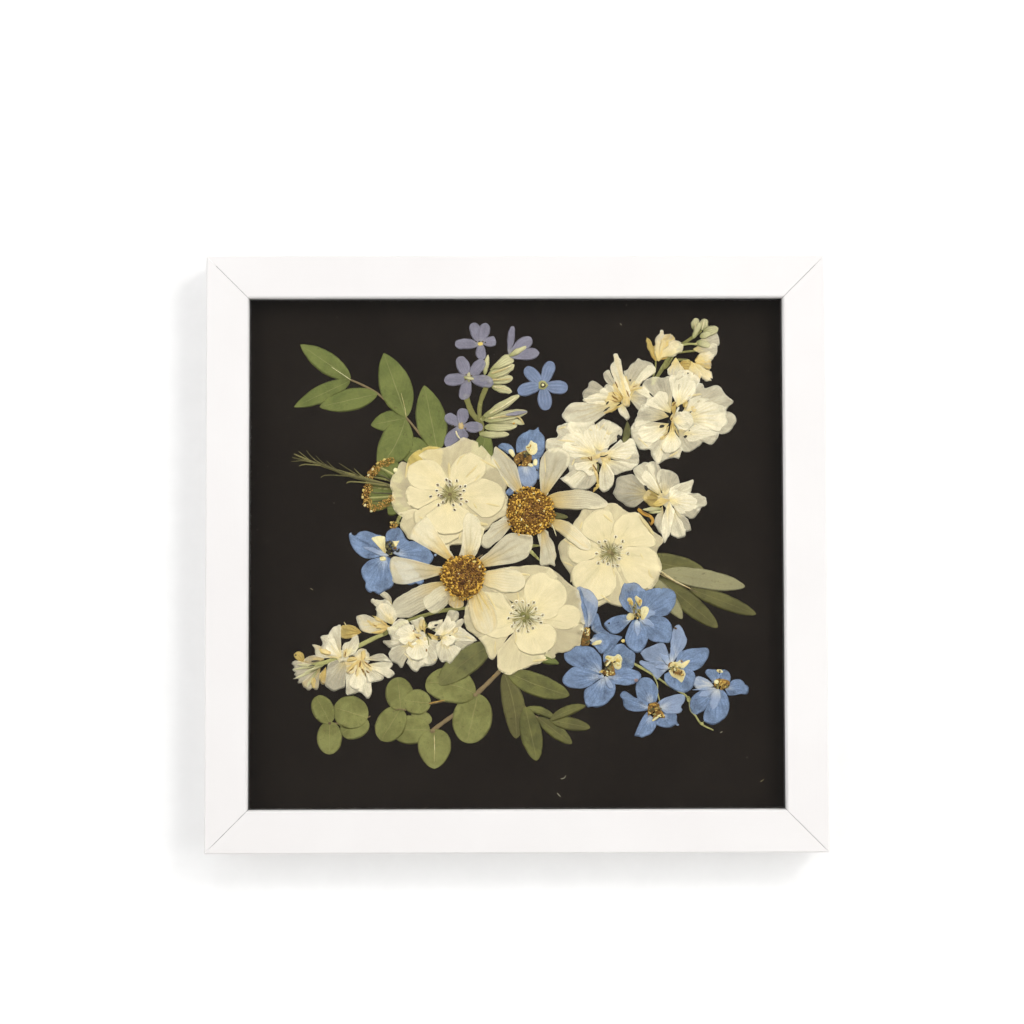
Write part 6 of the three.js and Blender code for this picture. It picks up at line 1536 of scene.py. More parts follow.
        (petals, "sheer_leaf", [[-14, -52, -44.6, -75, 15.5, "lance", -1]]),
    ]),
    ("lilac_flower_middle", [
        (petals, "lilac_petal", [[-27, 100, -32.5, 112.8, 7.5], [-27, 100.5, -18.5, 110.8, 7],
            [-27, 100.5, -13, 97.3, 7], [-27, 101, -30.5, 88, 6.8], [-26.5, 100.5, -41, 99, 7.3]]),
        (petals, "bud_green", [[-27, 98, -27, 104, 2.4, "lance", 0, 0.8],
            [-30, 101, -24, 100, 2.4, "lance", 0, 0.8]]),
        (lumps, "dark_anther", [[-28.6, 102.4, 1, 0.8, 0], [-25.4, 101.8, 1, 0.8, 0], [-26, 99, 1, 0.8, 0],
            [-29, 99.4, 1, 0.8, 0]]),
    ]),
    ("larkspur_floret_3", [
        (petals, "larkspur_petal", [[41, 57, 53, 57, 12, "round"]]),
        (fans, "larkspur_petal", [[-0.1, 0.15, 46, 58, 17.4, 58.6, 17, 61, 17.2, 64.6, 20, 65.8, 23.6, 66.4,
            24, 68.6, 23.2, 70, 24, 72.8, 26.6, 73.4, 29, 74.6, 33, 73], [0.1, 0.15, 46, 58, 27, 70, 30,
            74.6, 34, 76, 39, 77, 43.6, 77, 45, 74.4, 46, 72], [-0.1, 0, 48, 58, 43, 72, 46, 73.8, 48, 75,
            50.4, 77, 53, 75.6, 55, 75, 58, 73.2, 60.8, 70.6, 61, 68, 59.8, 66.4, 58, 66.6, 58, 64], [-1, 0,
            52, 67, 50, 74, 52.4, 76, 56, 74.6, 59.8, 71.8, 60, 70, 57, 69.4], [0.1, 0, 50, 56, 60, 65,
            62.6, 63.2, 66, 66, 68, 63, 69.6, 59, 70.8, 55.6, 70.6, 51.6, 68, 48.2], [0, 0.05, 50, 54, 70,
            50.6, 66, 47.2, 61, 46, 57, 44.4, 55, 46, 54, 49], [-0.6, 0.2, 46, 54, 31, 58, 29, 52, 30.6,
            46.6, 27, 43, 29, 39.6, 33.4, 36.2], [-0.8, 0, 46, 52, 25, 42.6, 30, 38.6, 33.2, 36.2, 37.6,
            35.8, 41.8, 36.6, 44.4, 38.6, 46, 41, 47, 44], [0.3, 0.1, 47, 53, 32, 52, 33.6, 47.6, 38, 46.6,
            43, 43.4, 46.6, 46.6], [0.2, 0.1, 46, 56, 34, 54, 27, 57, 24, 62, 27, 67, 33, 69.6, 40, 68, 45,
            62], [-0.2, 0.1, 48, 58, 38, 66, 40, 72, 46, 73, 52, 70, 55, 65, 53, 60], [0.3, 0.1, 50, 56, 57,
            59, 62, 62.6, 66, 65.6, 68.4, 62, 69.6, 58.6, 66, 53.6, 62, 53.6, 57, 55]]),
        (fans, "gold_petal", [[0, 0, 48, 54, 36.6, 53.4, 38, 55, 43, 55.2, 46, 56, 50, 57.8, 54, 55.4, 53.8,
            51, 50, 50.6]]),
        (fans, "larkspur_petal", [[0.4, 0, 50, 53, 47.8, 46, 47.6, 40, 47.8, 36.4, 49.6, 34.6, 52.6, 35.4,
            54.8, 37.6, 56.2, 41, 56.4, 44.4, 54, 49]]),
        (petals, "rose_fold", [[56, 55.4, 62, 54, 0.9, "lance"], [61.6, 54, 66.6, 56, 0.9, "lance", -0.8],
            [24, 64.6, 34, 63.8, 1.1, "lance"], [50.8, 66, 53, 70.6, 0.8, "lance"],
            [24, 71, 29, 72.6, 1.2, "lance"], [42, 71, 44, 70, 0.8, "oval"],
            [46, 74, 46.6, 71, 0.8, "oval"], [32, 50, 33.6, 54, 1, "lance"],
            [47.6, 70, 51, 74, 0.9, "lance"], [18, 59.6, 24, 57.6, 0.8, "lance"]]),
        (petals, "gold_petal", [[43.6, 51, 47.4, 38, 1.8, "lance", 0.6], [44, 34.6, 47.6, 39, 2.4, "fan"]]),
        (petals, "bee_brown", [[41, 55, 43.4, 52.6, 0.7, "lance"], [43.2, 55.2, 43.6, 52.4, 0.6, "lance"],
            [44, 51, 46.6, 46.4, 0.7, "lance"]]),
        (petals, "sheer_leaf", [[61.6, 62.6, 64, 75.4, 4.4, "leaf", -1, 0, 0],
            [47.2, 46, 47, 51.6, 1.2, "lance"]]),
        (stems, "card_gap", [[0.8, 0.6, 48.2, 55.2, 50.4, 55.2, 52.8, 56.2]]),
        (lumps, "card_gap", [[59, 66.6, 2.6, 2.2, 20, 0.1], [46.6, 51.4, 1.2, 1.4, 0, 0.1]]),
    ]),
    ("rose_upper_left", [
        (petals, "rose_petal", [[-49, 33, -27, 33, 22, "round"]]),
        (fans, "rose_petal", [[-1, 0, -42, 34, -62, 19, -66, 21, -70, 24.5, -71.4, 30, -70.8, 35, -72.3, 38,
            -71, 44, -68.5, 47, -66.6, 52, -64, 52.2, -62, 51, -58, 50]]),
        (fans, "gold_petal", [[0.2, 0, -44, 42, -63.5, 47, -62, 53, -60, 56.6, -56, 59, -51, 61, -44, 60.6,
            -42, 59]]),
        (fans, "rose_petal", [[-0.5, 0, -36, 38, -56, 56, -52, 58.8, -46, 59.6, -40, 60.8, -36, 62.4, -32,
            65.2, -30, 66.4, -26, 65, -23, 64, -19, 61, -16.5, 58, -13, 54, -11, 50], [-1.1, 0, -34, 36,
            -16, 57, -12, 51, -8, 44, -5, 38.5, -6.4, 35, -4.4, 31, -5, 27, -6, 24], [-0.4, 0, -34, 32, -5,
            31, -5, 22, -10, 19.4, -14, 16.6, -16, 14, -19, 12, -20, 8, -21, 4], [-0.2, 0.1, -36, 30, -18,
            14, -20, 6, -22, 3, -26, 1, -30, 3, -31, 4.6, -33, 4.4, -37, 4.4, -39, 3, -38.6, 0, -41, 0.6,
            -44, 2], [-0.5, 0, -40, 30, -38, -0.5, -43, 1, -46, 3, -51, 4.6, -55, 6.8, -58.5, 7.6, -61.5, 8,
            -64, 11.4, -66.4, 14.6, -66.2, 18, -65, 21, -68, 23], [0, 0, -40, 31, -46, 8, -50, 10, -54,
            13.4, -58, 17, -59, 22, -58, 26, -60, 28], [0, 0.2, -37, 30, -47, 12.5, -44, 7.6, -41, 4.6, -36,
            6.8, -32, 9.4, -30, 13], [0, 0, -35, 33, -20, 20, -14, 20.4, -9, 24, -6.4, 29, -7, 35, -11, 40,
            -18, 42.6, -25, 42], [0, 0, -36, 36, -38.4, 44, -37.4, 49, -34, 54, -29.4, 57.2, -24, 57, -19.6,
            54, -17, 50, -18, 45, -22, 41], [0.4, 0, -40, 34, -56, 24.6, -60, 26.4, -63, 30, -63.4, 34, -62,
            38, -56, 40], [0.3, 0, -38, 31, -52, 22, -52, 18, -49, 13.6, -44, 10.6, -38, 10.2, -32, 11.6,
            -28, 15, -26, 19, -27, 24], [0.6, 0, -39.5, 36, -54, 36, -60, 38.6, -62.8, 43, -62.6, 48, -59.6,
            51.4, -54, 53.4, -48, 53, -43.6, 50, -40.6, 45, -39, 41]]),
        (petals, "rose_fold", [[-29, 43, -22, 50.6, 1.2, "lance"], [-56, 21, -47, 11.4, 1.4, "lance", 1],
            [-48, 12, -40, 3, 1.6, "lance"], [-32, 11.8, -32.8, 7.4, 1, "lance"],
            [-24.4, 28.6, -22.4, 25.2, 1, "lance"], [-17.4, 28.4, -9, 26.6, 1.2, "lance"],
            [-38.6, 52, -38.4, 43, 1.6, "lance"], [-63.6, 43, -62, 52.6, 1.4, "lance"],
            [-25, 21.8, -22, 21.2, 0.9, "lance"], [-23, 17, -16, 16, 2, "lance"],
            [-21, 54, -10, 48, 1.2, "lance"], [-24, 41, -20.6, 45, 0.8, "lance"],
            [-34, 50, -29, 56.6, 1, "lance", 1]]),
        (rays, "pale_thread", [[-38, 34, 1.5, 8, 30, 0.3]]),
        (rays, "stamen_thread", [[-38, 34, 0.4, 7, 64, 0.5]]),
        (anthers, "dark_anther", [[-38, 34, -49, 32.4, -44.5, 27.5, -45, 39, -45.5, 35.7, -44.5, 33.2, -43,
            32.8, -40, 42, -38, 41, -38, 39, -34, 41.3, -32, 38, -29.2, 38.3, -30, 35.7, -28.5, 29.5, -31.8,
            28, -35.3, 24.7, -31.5, 31, -32, 33.5, -36, 27.5, -42, 29]]),
        (lumps, "tan_anther", [[-38, 33.6, 2.6, 2.2, 0, 0.5]]),
    ]),
    ("delphinium_1", [
        (fans, "blue_petal", [[-0.2, 0, 49, -52, 53, -50, 57, -51, 57, -53, 54, -56, 50.6, -58, 49.4, -57],
            [-0.1, 0, 43, -44, 42.5, -41, 44.5, -37, 46.2, -34.4, 47.6, -37, 48.6, -41, 50, -43.6, 53, -46,
            55, -47.5, 61, -48.2, 58.5, -50.5, 56.5, -53.4, 54, -52, 49, -47.6, 45, -46]]),
        (fans, "pale_blue_petal", [[-0.3, 0, 41, -43, 39, -41, 38.6, -37, 37.4, -32, 36.6, -27, 35.6, -24,
            34.2, -21, 36.4, -19.2, 38.4, -20, 41, -20.8, 43.5, -22.4, 45.5, -25, 46.7, -28, 46.7, -31, 46,
            -34, 44.5, -38, 43.5, -41]]),
        (fans, "blue_petal", [[0.2, 0, 43, -49.6, 44.4, -47, 50, -46, 54, -49, 54, -52.4, 52.4, -55.4, 49.6,
            -57.6, 47.4, -57.2, 46, -55, 43.6, -53, 42, -52]]),
        (petals, "blue_petal", [[40, -46, 36.2, -20, 4, "leaf", 0, 0.2]]),
        (petals, "pale_blue_petal", [[42, -50, 50, -51.6, 4, "round", 0, 1]]),
        (petals, "cream_petal", [[43, -52.6, 48.8, -50.6, 2.6, "round", 0, 0.4]]),
        (fans, "bee_brown", [[0, 0.5, 39.6, -48, 38.6, -43.6, 37.4, -46, 36.8, -49.6, 37, -53, 41.4, -53,
            42, -50, 42.2, -46, 42, -43.4, 40, -42.4]]),
        (clumps, "gold_lump", [[39.8, -45, 4.6, 5.6, 80, 22, 0.9, "gold_lump", "brown_lump", "cream_lump"],
            [39, -50, 4.8, 5.6, 80, 22, 0.9, "brown_lump", "olive_lump", "brown_lump"]]),
    ]),
    ("delphinium_4", [
        (fans, "pale_blue_petal", [[-0.2, 0, 88, -63.6, 87, -58, 86, -55, 84.5, -52, 82, -51.6, 77, -53.6,
            71, -56.8, 72.2, -59.4, 73.8, -61.8, 79, -62, 84, -63], [-0.1, 0, 87.6, -65.6, 84, -62.6, 79,
            -61.8, 74, -62.4, 71.5, -61.6, 70.2, -63, 72, -65, 76, -68, 79, -71, 80.4, -73, 81.4, -71, 84,
            -68.8, 86, -67.6], [0.2, 0, 88.6, -64, 88, -61, 88.2, -55, 88.2, -50, 89, -46, 90, -43.6, 91,
            -42, 92.8, -41.2, 94.4, -42.8, 96.6, -47, 97.6, -50, 96.6, -53.6, 94.4, -56.4, 92, -58.4, 91,
            -61]]),
        (fans, "blue_petal", [[0.3, 0, 90, -65, 92, -60, 93, -57.4, 95.6, -56, 101, -55, 108.6, -54.6,
            110.2, -57, 109, -61, 106.4, -65, 103, -67.2, 98.6, -68.4, 95, -67], [0.2, 0, 90, -67, 84.6,
            -69.4, 84.6, -73, 86.6, -76, 90, -78.4, 93.6, -79.6, 97, -80, 100, -78, 101.4, -75, 102.2, -71,
            101, -68, 97, -67, 93, -66]]),
        (petals, "pale_blue_petal", [[88.6, -64.4, 82, -57.6, 4, "leaf", 0, 1.4],
            [88.8, -64, 89.2, -52, 3, "leaf", 0, 1.4], [88, -66, 79, -65.4, 3.4, "leaf", 0, 1.4]]),
        (lumps, "brown_lump", [[91, -43.4, 2, 1.2, -30, 0.2]]),
        (fans, "cream_petal", [[0.4, 0.5, 90, -66, 86.6, -66.6, 87, -63.6, 89, -62.4, 92, -62.6, 93.6,
            -61.4, 94.4, -64, 97, -62, 99.4, -61.6, 98, -64, 95.6, -66.4], [0.4, 0.6, 88.6, -66.4, 87,
            -67.6, 88.6, -70.6, 91.4, -72, 93, -73.4, 94.6, -74.6, 96, -72, 96.8, -69.4, 95.4, -67]]),
        (clumps, "gold_lump", [[90.4, -65.6, 6, 4.4, -20, 22, 0.9, "gold_lump", "cream_lump", "olive_lump"],
            [92.6, -68.6, 6, 2.8, -20, 24, 0.9, "brown_lump", "gold_lump", "brown_lump"]]),
        (stems, "brown_lump", [[1, 0.6, 87, -65.6, 87.4, -63.6, 89, -62.8],
            [0.9, 0.5, 94, -61.6, 95.2, -63]]),
    ]),
    ("larkspur_floret_9", [
        (petals, "larkspur_petal", [[-44, -48, -36, -48, 8, "round"]]),
        (fans, "larkspur_petal", [[0, 0.4, -42, -48, -50.6, -42.4, -50, -40, -46, -38.8, -42.6, -38, -42,
            -41], [-0.9, 0, -38, -42, -33.4, -38, -32.8, -35.6, -34, -33.2, -36.6, -32.4, -39, -33.4, -40,
            -36, -39.6, -39.6], [-0.2, 0.3, -40, -47, -34, -38.6, -31, -37.6, -30, -39.6, -31.6, -42, -33,
            -45, -36, -46], [0.5, 0, -42, -47.6, -33, -42.4, -36.4, -38, -39.6, -36, -41, -38.4, -44, -42.4,
            -46, -45.6, -47, -47], [-0.8, 0, -38, -48, -24, -50.6, -27, -53, -30, -55, -32, -55.6, -35,
            -53], [0.2, 0, -42, -49, -31.6, -54.6, -32.6, -57, -35, -60, -38, -63.2, -40, -62, -42.6, -62.4,
            -44.6, -60, -46, -57, -46, -52], [0.3, 0, -39, -47, -32, -42.4, -27, -46, -22.6, -50.2, -27,
            -50.6, -31, -50.6, -36, -50], [0.6, 0, -42, -48, -37, -46, -34, -49, -36, -52.6, -40, -53.6,
            -43, -52]]),
        (fans, "gold_petal", [[0, 0, -51, -45.6, -48.6, -49.4, -45, -50, -42.4, -48.6, -46, -47.4]]),
        (petals, "gold_petal", [[-36, -46, -33.6, -42.6, 2.4, "oval", 0, -1]]),
        (petals, "olive_leaf", [[-50.4, -46.6, -48.6, -49.6, 1.1, "lance"]]),
        (petals, "rose_fold", [[-38, -52, -41, -57.6, 0.6, "lance"], [-33, -45, -24.6, -50, 0.8, "lance"]]),
        (lumps, "olive_lump", [[-38, -47.2, 1.3, 0.9, 0, 0.1]]),
        (lumps, "card_gap", [[-46.4, -41.4, 3.6, 1.1, 14, 0.1], [-47.4, -43.4, 2.6, 0.9, 10, 0.1],
            [-47.6, -45, 2, 0.8, -20, 0.1], [-44.4, -48.6, 1.8, 1.1, 10, 0.1]]),
    ]),
    ("rose_lower", [
        (petals, "rose_petal", [[-8, -37, 16, -37, 24, "round"]]),
        (fans, "rose_petal", [[-0.8, 0, 0, -37, -24, -24, -27, -27, -29, -31, -30, -36, -30, -40, -28, -44,
            -24, -47, -20, -50], [0, 0, 0, -40, -22, -48.6, -19, -52.6, -17, -57, -15.6, -60.4, -13.6,
            -61.2, -12, -59.4, -11.4, -54, -10, -50], [-1.1, 0, 8, -39, 14, -60, 17, -61.8, 22, -60.2, 22.4,
            -57.6, 27, -57, 31, -56, 34, -53.4, 36.4, -53, 37, -49, 38.6, -43, 39, -40], [-1.1, 0, 8, -36,
            39.4, -41, 38.4, -36, 37.8, -31, 36.6, -25, 35, -21, 31, -18.4, 27, -14.6, 23, -11, 19, -8.6],
            [-0.4, 0, 5, -33, 24, -14, 20, -9, 15, -7.6, 9, -7, 3, -7.6, -4, -8, -10, -9.4, -17, -10.4, -20,
            -12, -21, -16], [-1, 0, 2, -35, -12, -17, -17, -16.6, -19.6, -18.6, -21, -20.6, -24, -24], [0.1,
            0, 4, -40, -11.2, -56, -11, -62, -10.6, -66.4, -7.6, -68.6, -4.4, -69.8, -1, -68.6, 1, -67.2, 5,
            -66.2, 9, -64.6, 14, -63, 17, -60], [0.15, 0.1, 1, -38, -8, -23.6, -14, -22.6, -20, -22.4, -24,
            -26, -25, -33, -23, -41, -19, -46, -13, -48.8, -7, -48.4, -1.4, -45.6], [0.1, 0.1, -4, -11, -14,
            -11.6, -17, -13, -14, -18, -10, -21, -6, -23, -2, -23, 2, -22, 5, -19.6, 5.6, -16, 8, -12.6, 3,
            -11.4], [0.2, 0, 9, -37, 22, -43, 27, -44, 32, -43.4, 36, -40.6, 37.4, -36.6, 36, -32.6, 32,
            -30, 27, -30, 22, -32.6], [0.5, 0, 6, -40, 0, -43, -1.4, -47, -0.8, -52, 2, -56, 7, -58.4, 13,
            -58.6, 18, -57, 21.6, -53.6, 23.2, -49, 22.6, -44.6, 19, -41], [0.5, 0, 8, -34.6, 4.6, -25, 4.6,
            -19.6, 7.2, -14.6, 11.4, -11.6, 16, -11.4, 20, -14, 24, -15.8, 27.6, -19.6, 29.2, -24.6, 28,
            -29.4, 24.4, -32.8, 23.4, -36, 19, -38, 14, -38]]),
        (petals, "rose_fold", [[-20, -21, -12, -39, 1.2, "lance", -1],
            [-23, -22, -17, -42, 1.4, "lance", -1], [-17, -23, -11, -33, 1.1, "lance"],
            [-24, -24, -22.4, -36, 1.1, "lance", -0.6], [-4, -11.8, 8, -12.8, 1.4, "lance"],
            [0.6, -22, 1.4, -28, 1, "lance"], [9, -62, 18, -61, 1.4, "lance"],
            [-12, -50, -12.4, -58, 0.8, "lance"], [-9, -21.4, -5, -23, 0.9, "lance"],
            [-16, -16, -9, -20, 1, "lance"], [-0.6, -45, -1, -52, 0.9, "lance", 0.6],
            [-20, -42, -15, -46, 0.8, "lance"]]),
        (rays, "pale_thread", [[5, -36.5, 1.5, 11, 80, 0.36]]),
        (rays, "stamen_thread", [[5, -36.5, 0.4, 8, 52, 0.5]]),
        (anthers, "tan_anther", [[5, -36.5, 3.5, -28, 10, -28.5, -2, -31, 11, -32, -4.5, -37.5, -2.5, -42,
            15, -35.7, 14, -40, 6.5, -45, 4, -42, 9.5, -43, 0, -28, 7, -30, -3, -34.6, 12.6, -37.4, 1,
            -44.6, -1, -40, 8, -40.6, 0, -33]]),
        (lumps, "pollen", [[4, -36, 1.4, 1.2, 0, 0.5]]),
        (lumps, "green_stem", [[3.6, -35, 3, 2.4, 0, 0.5], [6.4, -36.8, 2.6, 2.4, 0, 0.5],
            [4.6, -38.8, 2.4, 2, 0, 0.5]]),
    ]),
    ("delphinium_2", [
        (fans, "blue_petal", [[0.1, 0, 66, -38.6, 64, -35.5, 58, -36, 53, -38, 50.3, -40.5, 51, -43, 53,
            -45.5, 56, -46.5, 58.5, -46, 61, -44, 63, -41.5, 65, -39.8], [0.1, 0, 68, -35.6, 64.5, -34.2,
            61.5, -32, 60, -29.6, 58.7, -26.6, 59.6, -23, 60.4, -20.2, 61.6, -17.4, 64, -18, 67.8, -17.2,
            70.4, -18.6, 72.4, -20.6, 74.5, -22, 74, -27, 72, -31], [0.4, 0, 70.6, -36, 71.6, -33, 72, -28,
            72.5, -24, 74.5, -21.8, 79, -20.6, 84, -20.4, 88.4, -21, 91, -23.6, 91.6, -26, 90.6, -30, 88.5,
            -33.6, 86, -36, 81, -36.6, 76, -37], [0.2, 0, 70, -38, 71, -40, 73, -45, 75.5, -49.4, 79, -51.2,
            83, -51.6, 87.6, -51.4, 89, -48, 89, -45, 88.6, -41, 86.6, -38.4, 83, -36.6, 78, -37, 73,
            -36.6], [0.5, 0, 69, -38.4, 66.5, -38.6, 64.6, -42, 63, -46, 62.2, -49.5, 63.2, -53, 66, -56,
            69, -57.6, 71.5, -56.4, 73.8, -53.4, 75.2, -50, 75, -47, 73, -43, 71, -39.5]]),
        (petals, "pale_blue_petal", [[69, -38.4, 69.4, -48, 4, "leaf", 0, 1.4],
            [71, -36, 80, -34, 5, "leaf", 0, 1.4], [70.6, -37.6, 79, -42, 4, "leaf", 0, 1]]),
        (fans, "cream_petal", [[0.4, 0.2, 71.6, -38.6, 70.6, -34, 71.6, -31.4, 74.4, -31, 76, -32.6, 75,
            -35.4, 73, -38.4], [0.4, 0.6, 67, -38.4, 63.4, -39, 63, -36.6, 64.6, -34.6, 67, -35, 69, -36.6],
            [0.4, 0.7, 67, -31, 63.4, -27.6, 63.8, -26, 65.6, -26, 67, -28.4], [0.4, 0.7, 69.6, -30, 67.6,
            -26, 68.6, -24.6, 70, -25.6, 72, -27.4, 71.6, -30, 70.6, -31]]),
        (clumps, "gold_lump", [[68.8, -33.6, 4, 8.6, 10, 30, 0.9, "olive_lump", "brown_lump", "olive_lump",
            "gold_lump"], [65.2, -28, 2, 3, 30, 6, 0.9, "gold_lump"],
            [70.6, -28.4, 2.4, 3, -20, 8, 0.9, "gold_lump", "cream_lump"]]),
        (stems, "olive_thread", [[0.6, 0.5, 65, -29, 67, -34, 68, -37.6],
            [0.6, 0.5, 68, -28, 69, -34, 70.6, -38]]),
        (lumps, "dark_lump", [[67.8, -37.6, 1.4, 1, 0, 0.3], [53, -40.5, 1.3, 1.2, 0, 0.1]]),
    ]),
    ("daisy_upper", [
        (stems, "green_stem", [[2, 1.2, 8, 4, 13.5, 4], [2.2, 1.2, 7.6, 1.4, 13.5, -4.4]]),
        (fans, "daisy_petal", [[-0.4, 0.3, 5, 31, 3.6, 38, 1.8, 42, 0.9, 46, 0.6, 49.3, -1.4, 52.2, -4.5,
            55.5, -8, 58.6, -11, 60.6, -12.2, 60.8, -13, 57.5, -14.5, 54, -12.5, 50.5, -10, 47, -8, 42, -5,
            38.4, -1, 35], [-0.3, 0.1, 15.4, 30.6, 18.4, 33.6, 19.4, 37.6, 21, 41, 24, 43, 27, 46, 30, 50,
            31, 55, 28.6, 58.6, 24, 60.6, 20, 60, 17, 58, 14.6, 54.6, 13.6, 50, 13.4, 44, 13.8, 38, 14,
            34]]),
        (petals, "rose_fold", [[-8, 44, -4, 37.6, 1.2, "lance"], [-13, 54, -9, 48, 1.1, "lance"],
            [-11, 60.4, -3, 53, 0.9, "lance"], [17, 45, 16.4, 56, 1, "lance"]]),
        (petals, "daisy_petal", [[16, 29.5, 52.5, 28, 11.5, "oval", 1.5, 0, 0.2],
            [15, 20, 42, 2, 9, "round", 2, 0.2, 0.5]]),
        (fans, "daisy_petal", [[-0.1, 0.1, 1, 20, -5, 21.5, -8, 20, -11, 18, -14, 16.5, -16, 13, -19, 10,
            -20, 6.5, -19.6, 4, -17, 2.4, -15, 3.2, -13, 5, -11, 6.4, -8.4, 8.2, -7.4, 11, -6, 13.6, -4,
            15.4, -2, 16], [-0.1, 0.3, 14.6, 15, 12, 10, 13, 6, 14, 2, 14, -2, 13.4, -5, 14, -7.4, 17, -7.4,
            20, -7, 22.4, -8, 22, -5, 23, -2, 22.4, 1, 22, 4, 20.6, 7, 18.8, 9.4, 18.4, 12]]),
        (petals, "sheer_leaf", [[17, 22, 29.5, 20.3, 3.8, "oval", 0, 0.5]]),
        (stems, "pale_stem", [[0.7, 0.4, 19, 17, 21, 15, 23, 9.5]]),
        (lumps, "disc_bed", [[8, 23.5, 26, 26, 0, 0.8]]),
        (florets, "gold_floret", [[8, 23.5, 14, 0.9, 1, 0.62, 1.4, 0.9, 21]]),
        (florets, "brown_floret", [[10, 23, 6.4, 0.5, 0.8, 0.5, 1.1, 0.8, 22]]),
        (lumps, "cream_lump", [[2, 27, 1.6, 0.8, 40, 0.5], [5, 31, 1.4, 0.9, 0, 0.5],
            [13, 30, 1.6, 0.8, -30, 0.5], [3, 19, 1.8, 0.8, 70, 0.5], [6, 15.4, 2.2, 0.9, -50, 0.5],
            [14, 16, 1.6, 0.9, 40, 0.5], [16, 24, 1.4, 0.8, 80, 0.5], [10, 34, 1.4, 0.8, 10, 0.5],
            [0, 23, 1.6, 0.8, 90, 0.5]]),
    ]),
    ("daisy_lower", [
        (stems, "brown_stem", [[1.1, 0.6, -24, -6, -22, -3, -19, -1]]),
        (fans, "daisy_petal", [[0.5, 0.5, -34, -7, -39, -4.5, -42.5, -1.5, -46, 1.5, -50, 4, -54, 6.5, -58,
            7.5, -61, 8.5, -60, 13, -56, 18, -51, 20.5, -48, 16, -44, 10, -41, 5.5, -39, 2.5, -37, 0, -35.4,
            -3], [0.1, 0.3, -28, -8, -33, -2, -31.5, 3, -31, 8, -30.6, 14, -30, 20, -27.5, 23, -23, 21,
            -20.5, 17, -20, 11, -20.4, 5, -21.6, 2, -23, -1, -25, -3.4], [-0.1, 0.25, -25, -9, -20, -2.4,
            -17, -0.4, -14, 2, -12, 4.5, -9, 7.5, -6, 10, -3, 11.4, 0, 11.2, 4, 10.4, 9, 9.8, 9.6, 6, 9, 3,
            7.6, 0, 6.5, -2.2, 3, -4.4, -1, -5.8, -6, -6.6, -12, -7.2, -17, -7.8]]),
        (petals, "daisy_petal", [[-36, -17, -71, -34, 14.5, "round", 0, -0.4, 0.2],
            [-34, -18, -51.5, -31.5, 13, "fan", 0, -0.6, 0.1], [-33, -18, -35, -31.5, 9, "fan", 0, 0, 0.8],
            [-25, -18, -16, -46, 15, "round", 0, -0.9, 0.6],
            [-23, -14, 5, -17, 14, "round", 0, -0.9, 0.3]]),
        (fans, "daisy_petal", [[0.1, 0.4, -36, -10.4, -43, -7.8, -50.6, -7.3, -54.5, -5.9, -58.4, -4.1, -66,
            -2.6, -70.5, -2, -72.3, -4.5, -72.7, -8, -72, -12, -70.9, -15.8, -69.3, -17.2, -66, -17.9,
            -61.5, -17.6, -57, -15.3, -53, -13, -50.6, -12.4, -43, -11.8]]),
        (petals, "gold_petal", [[-33, -19, -36, -28, 3.4, "lance"], [-23, -20, -15, -33, 1.2, "lance"],
            [-24, -20, -19, -34, 1.2, "lance"], [-30, -20, -29, -27, 3, "lance"]]),
        (lumps, "disc_bed", [[-30.5, -13.5, 24, 23, 0, 0.8]]),
        (florets, "gold_floret", [[-30.5, -13.5, 12.8, 0.9, 1, 0.62, 1.5, 0.9, 31]]),
        (florets, "brown_floret", [[-29, -12.5, 8.4, 0.6, 0.8, 0.5, 1.1, 0.8, 32]]),
        (lumps, "cream_lump", [[-24, -5, 2.2, 1.2, 0, 0.5], [-21, -8, 1.6, 1, 60, 0.5],
            [-37, -20, 1.4, 0.8, 0, 0.5], [-33, -12, 1.2, 0.8, 0, 0.4], [-27, -16, 1.2, 0.8, 0, 0.4]]),
    ]),
]

DUST = [
    [0.25, 0.2, 23, -137, 24.4, -138.6, 25, -139], [0.25, 0.2, 25, -129, 27, -128.6, 28, -127],
    [0.3, 0.2, 116.4, -102.9, 117.6, -102.3], [0.25, 0.2, 139, -131, 141, -129.6],
    [0.22, 0.2, -118, -20, -116.4, -21], [0.2, 0.2, 60, 132, 61, 131],
]


def lay_plants():
    """Lays the plants in their order. Each is one piece, with its own chance, in place of its CAD node."""
    for number, (name, layers) in enumerate(PLANTS):
        chance = np.random.default_rng(100 + number)
        bundle = Bundle()
        for lay, finish, rows in layers:
            lay(bundle, finish, rows, chance)
        piece = bundle.build(name + "_pressed")
        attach(piece, "root")
        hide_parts(name)


def lay_dust():
    """A few fibres of dust on the card."""
    bundle = Bundle()
    stems(bundle, "pale_thread", DUST, np.random.default_rng(7))
    piece = bundle.build("dust_fibres")
    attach(piece, "root")


# ------------------------------------------------------------------------------- frame, card, glass, back
def paint_material(name, stretch):
    """White paint on wood, its grain and brush marks drawn along the rail."""
    material, kit, shader, place = new_material(name, 0.48, Specular_IOR_Level=0.4)
    grain = use_group(kit, "painted grain", Place=place, Stretch=stretch)
    colour = kit.blend(kit.span(grain["Cloud"], 0.3, 0.7), (0.735, 0.715, 0.705), (0.755, 0.738, 0.728))
    colour = kit.blend(kit.times(kit.span(grain["Lines"], 0.62, 0.8), 0.12), colour,
                       (0.66, 0.64, 0.62))
    kit.put(shader.inputs["Base Color"], colour)
    kit.put(shader.inputs["Roughness"], kit.span(grain["Lines"], 0.2, 0.8, 0.42, 0.56))
    bump(kit, shader, grain["Lines"], 0.12, 0.0003)
    return material


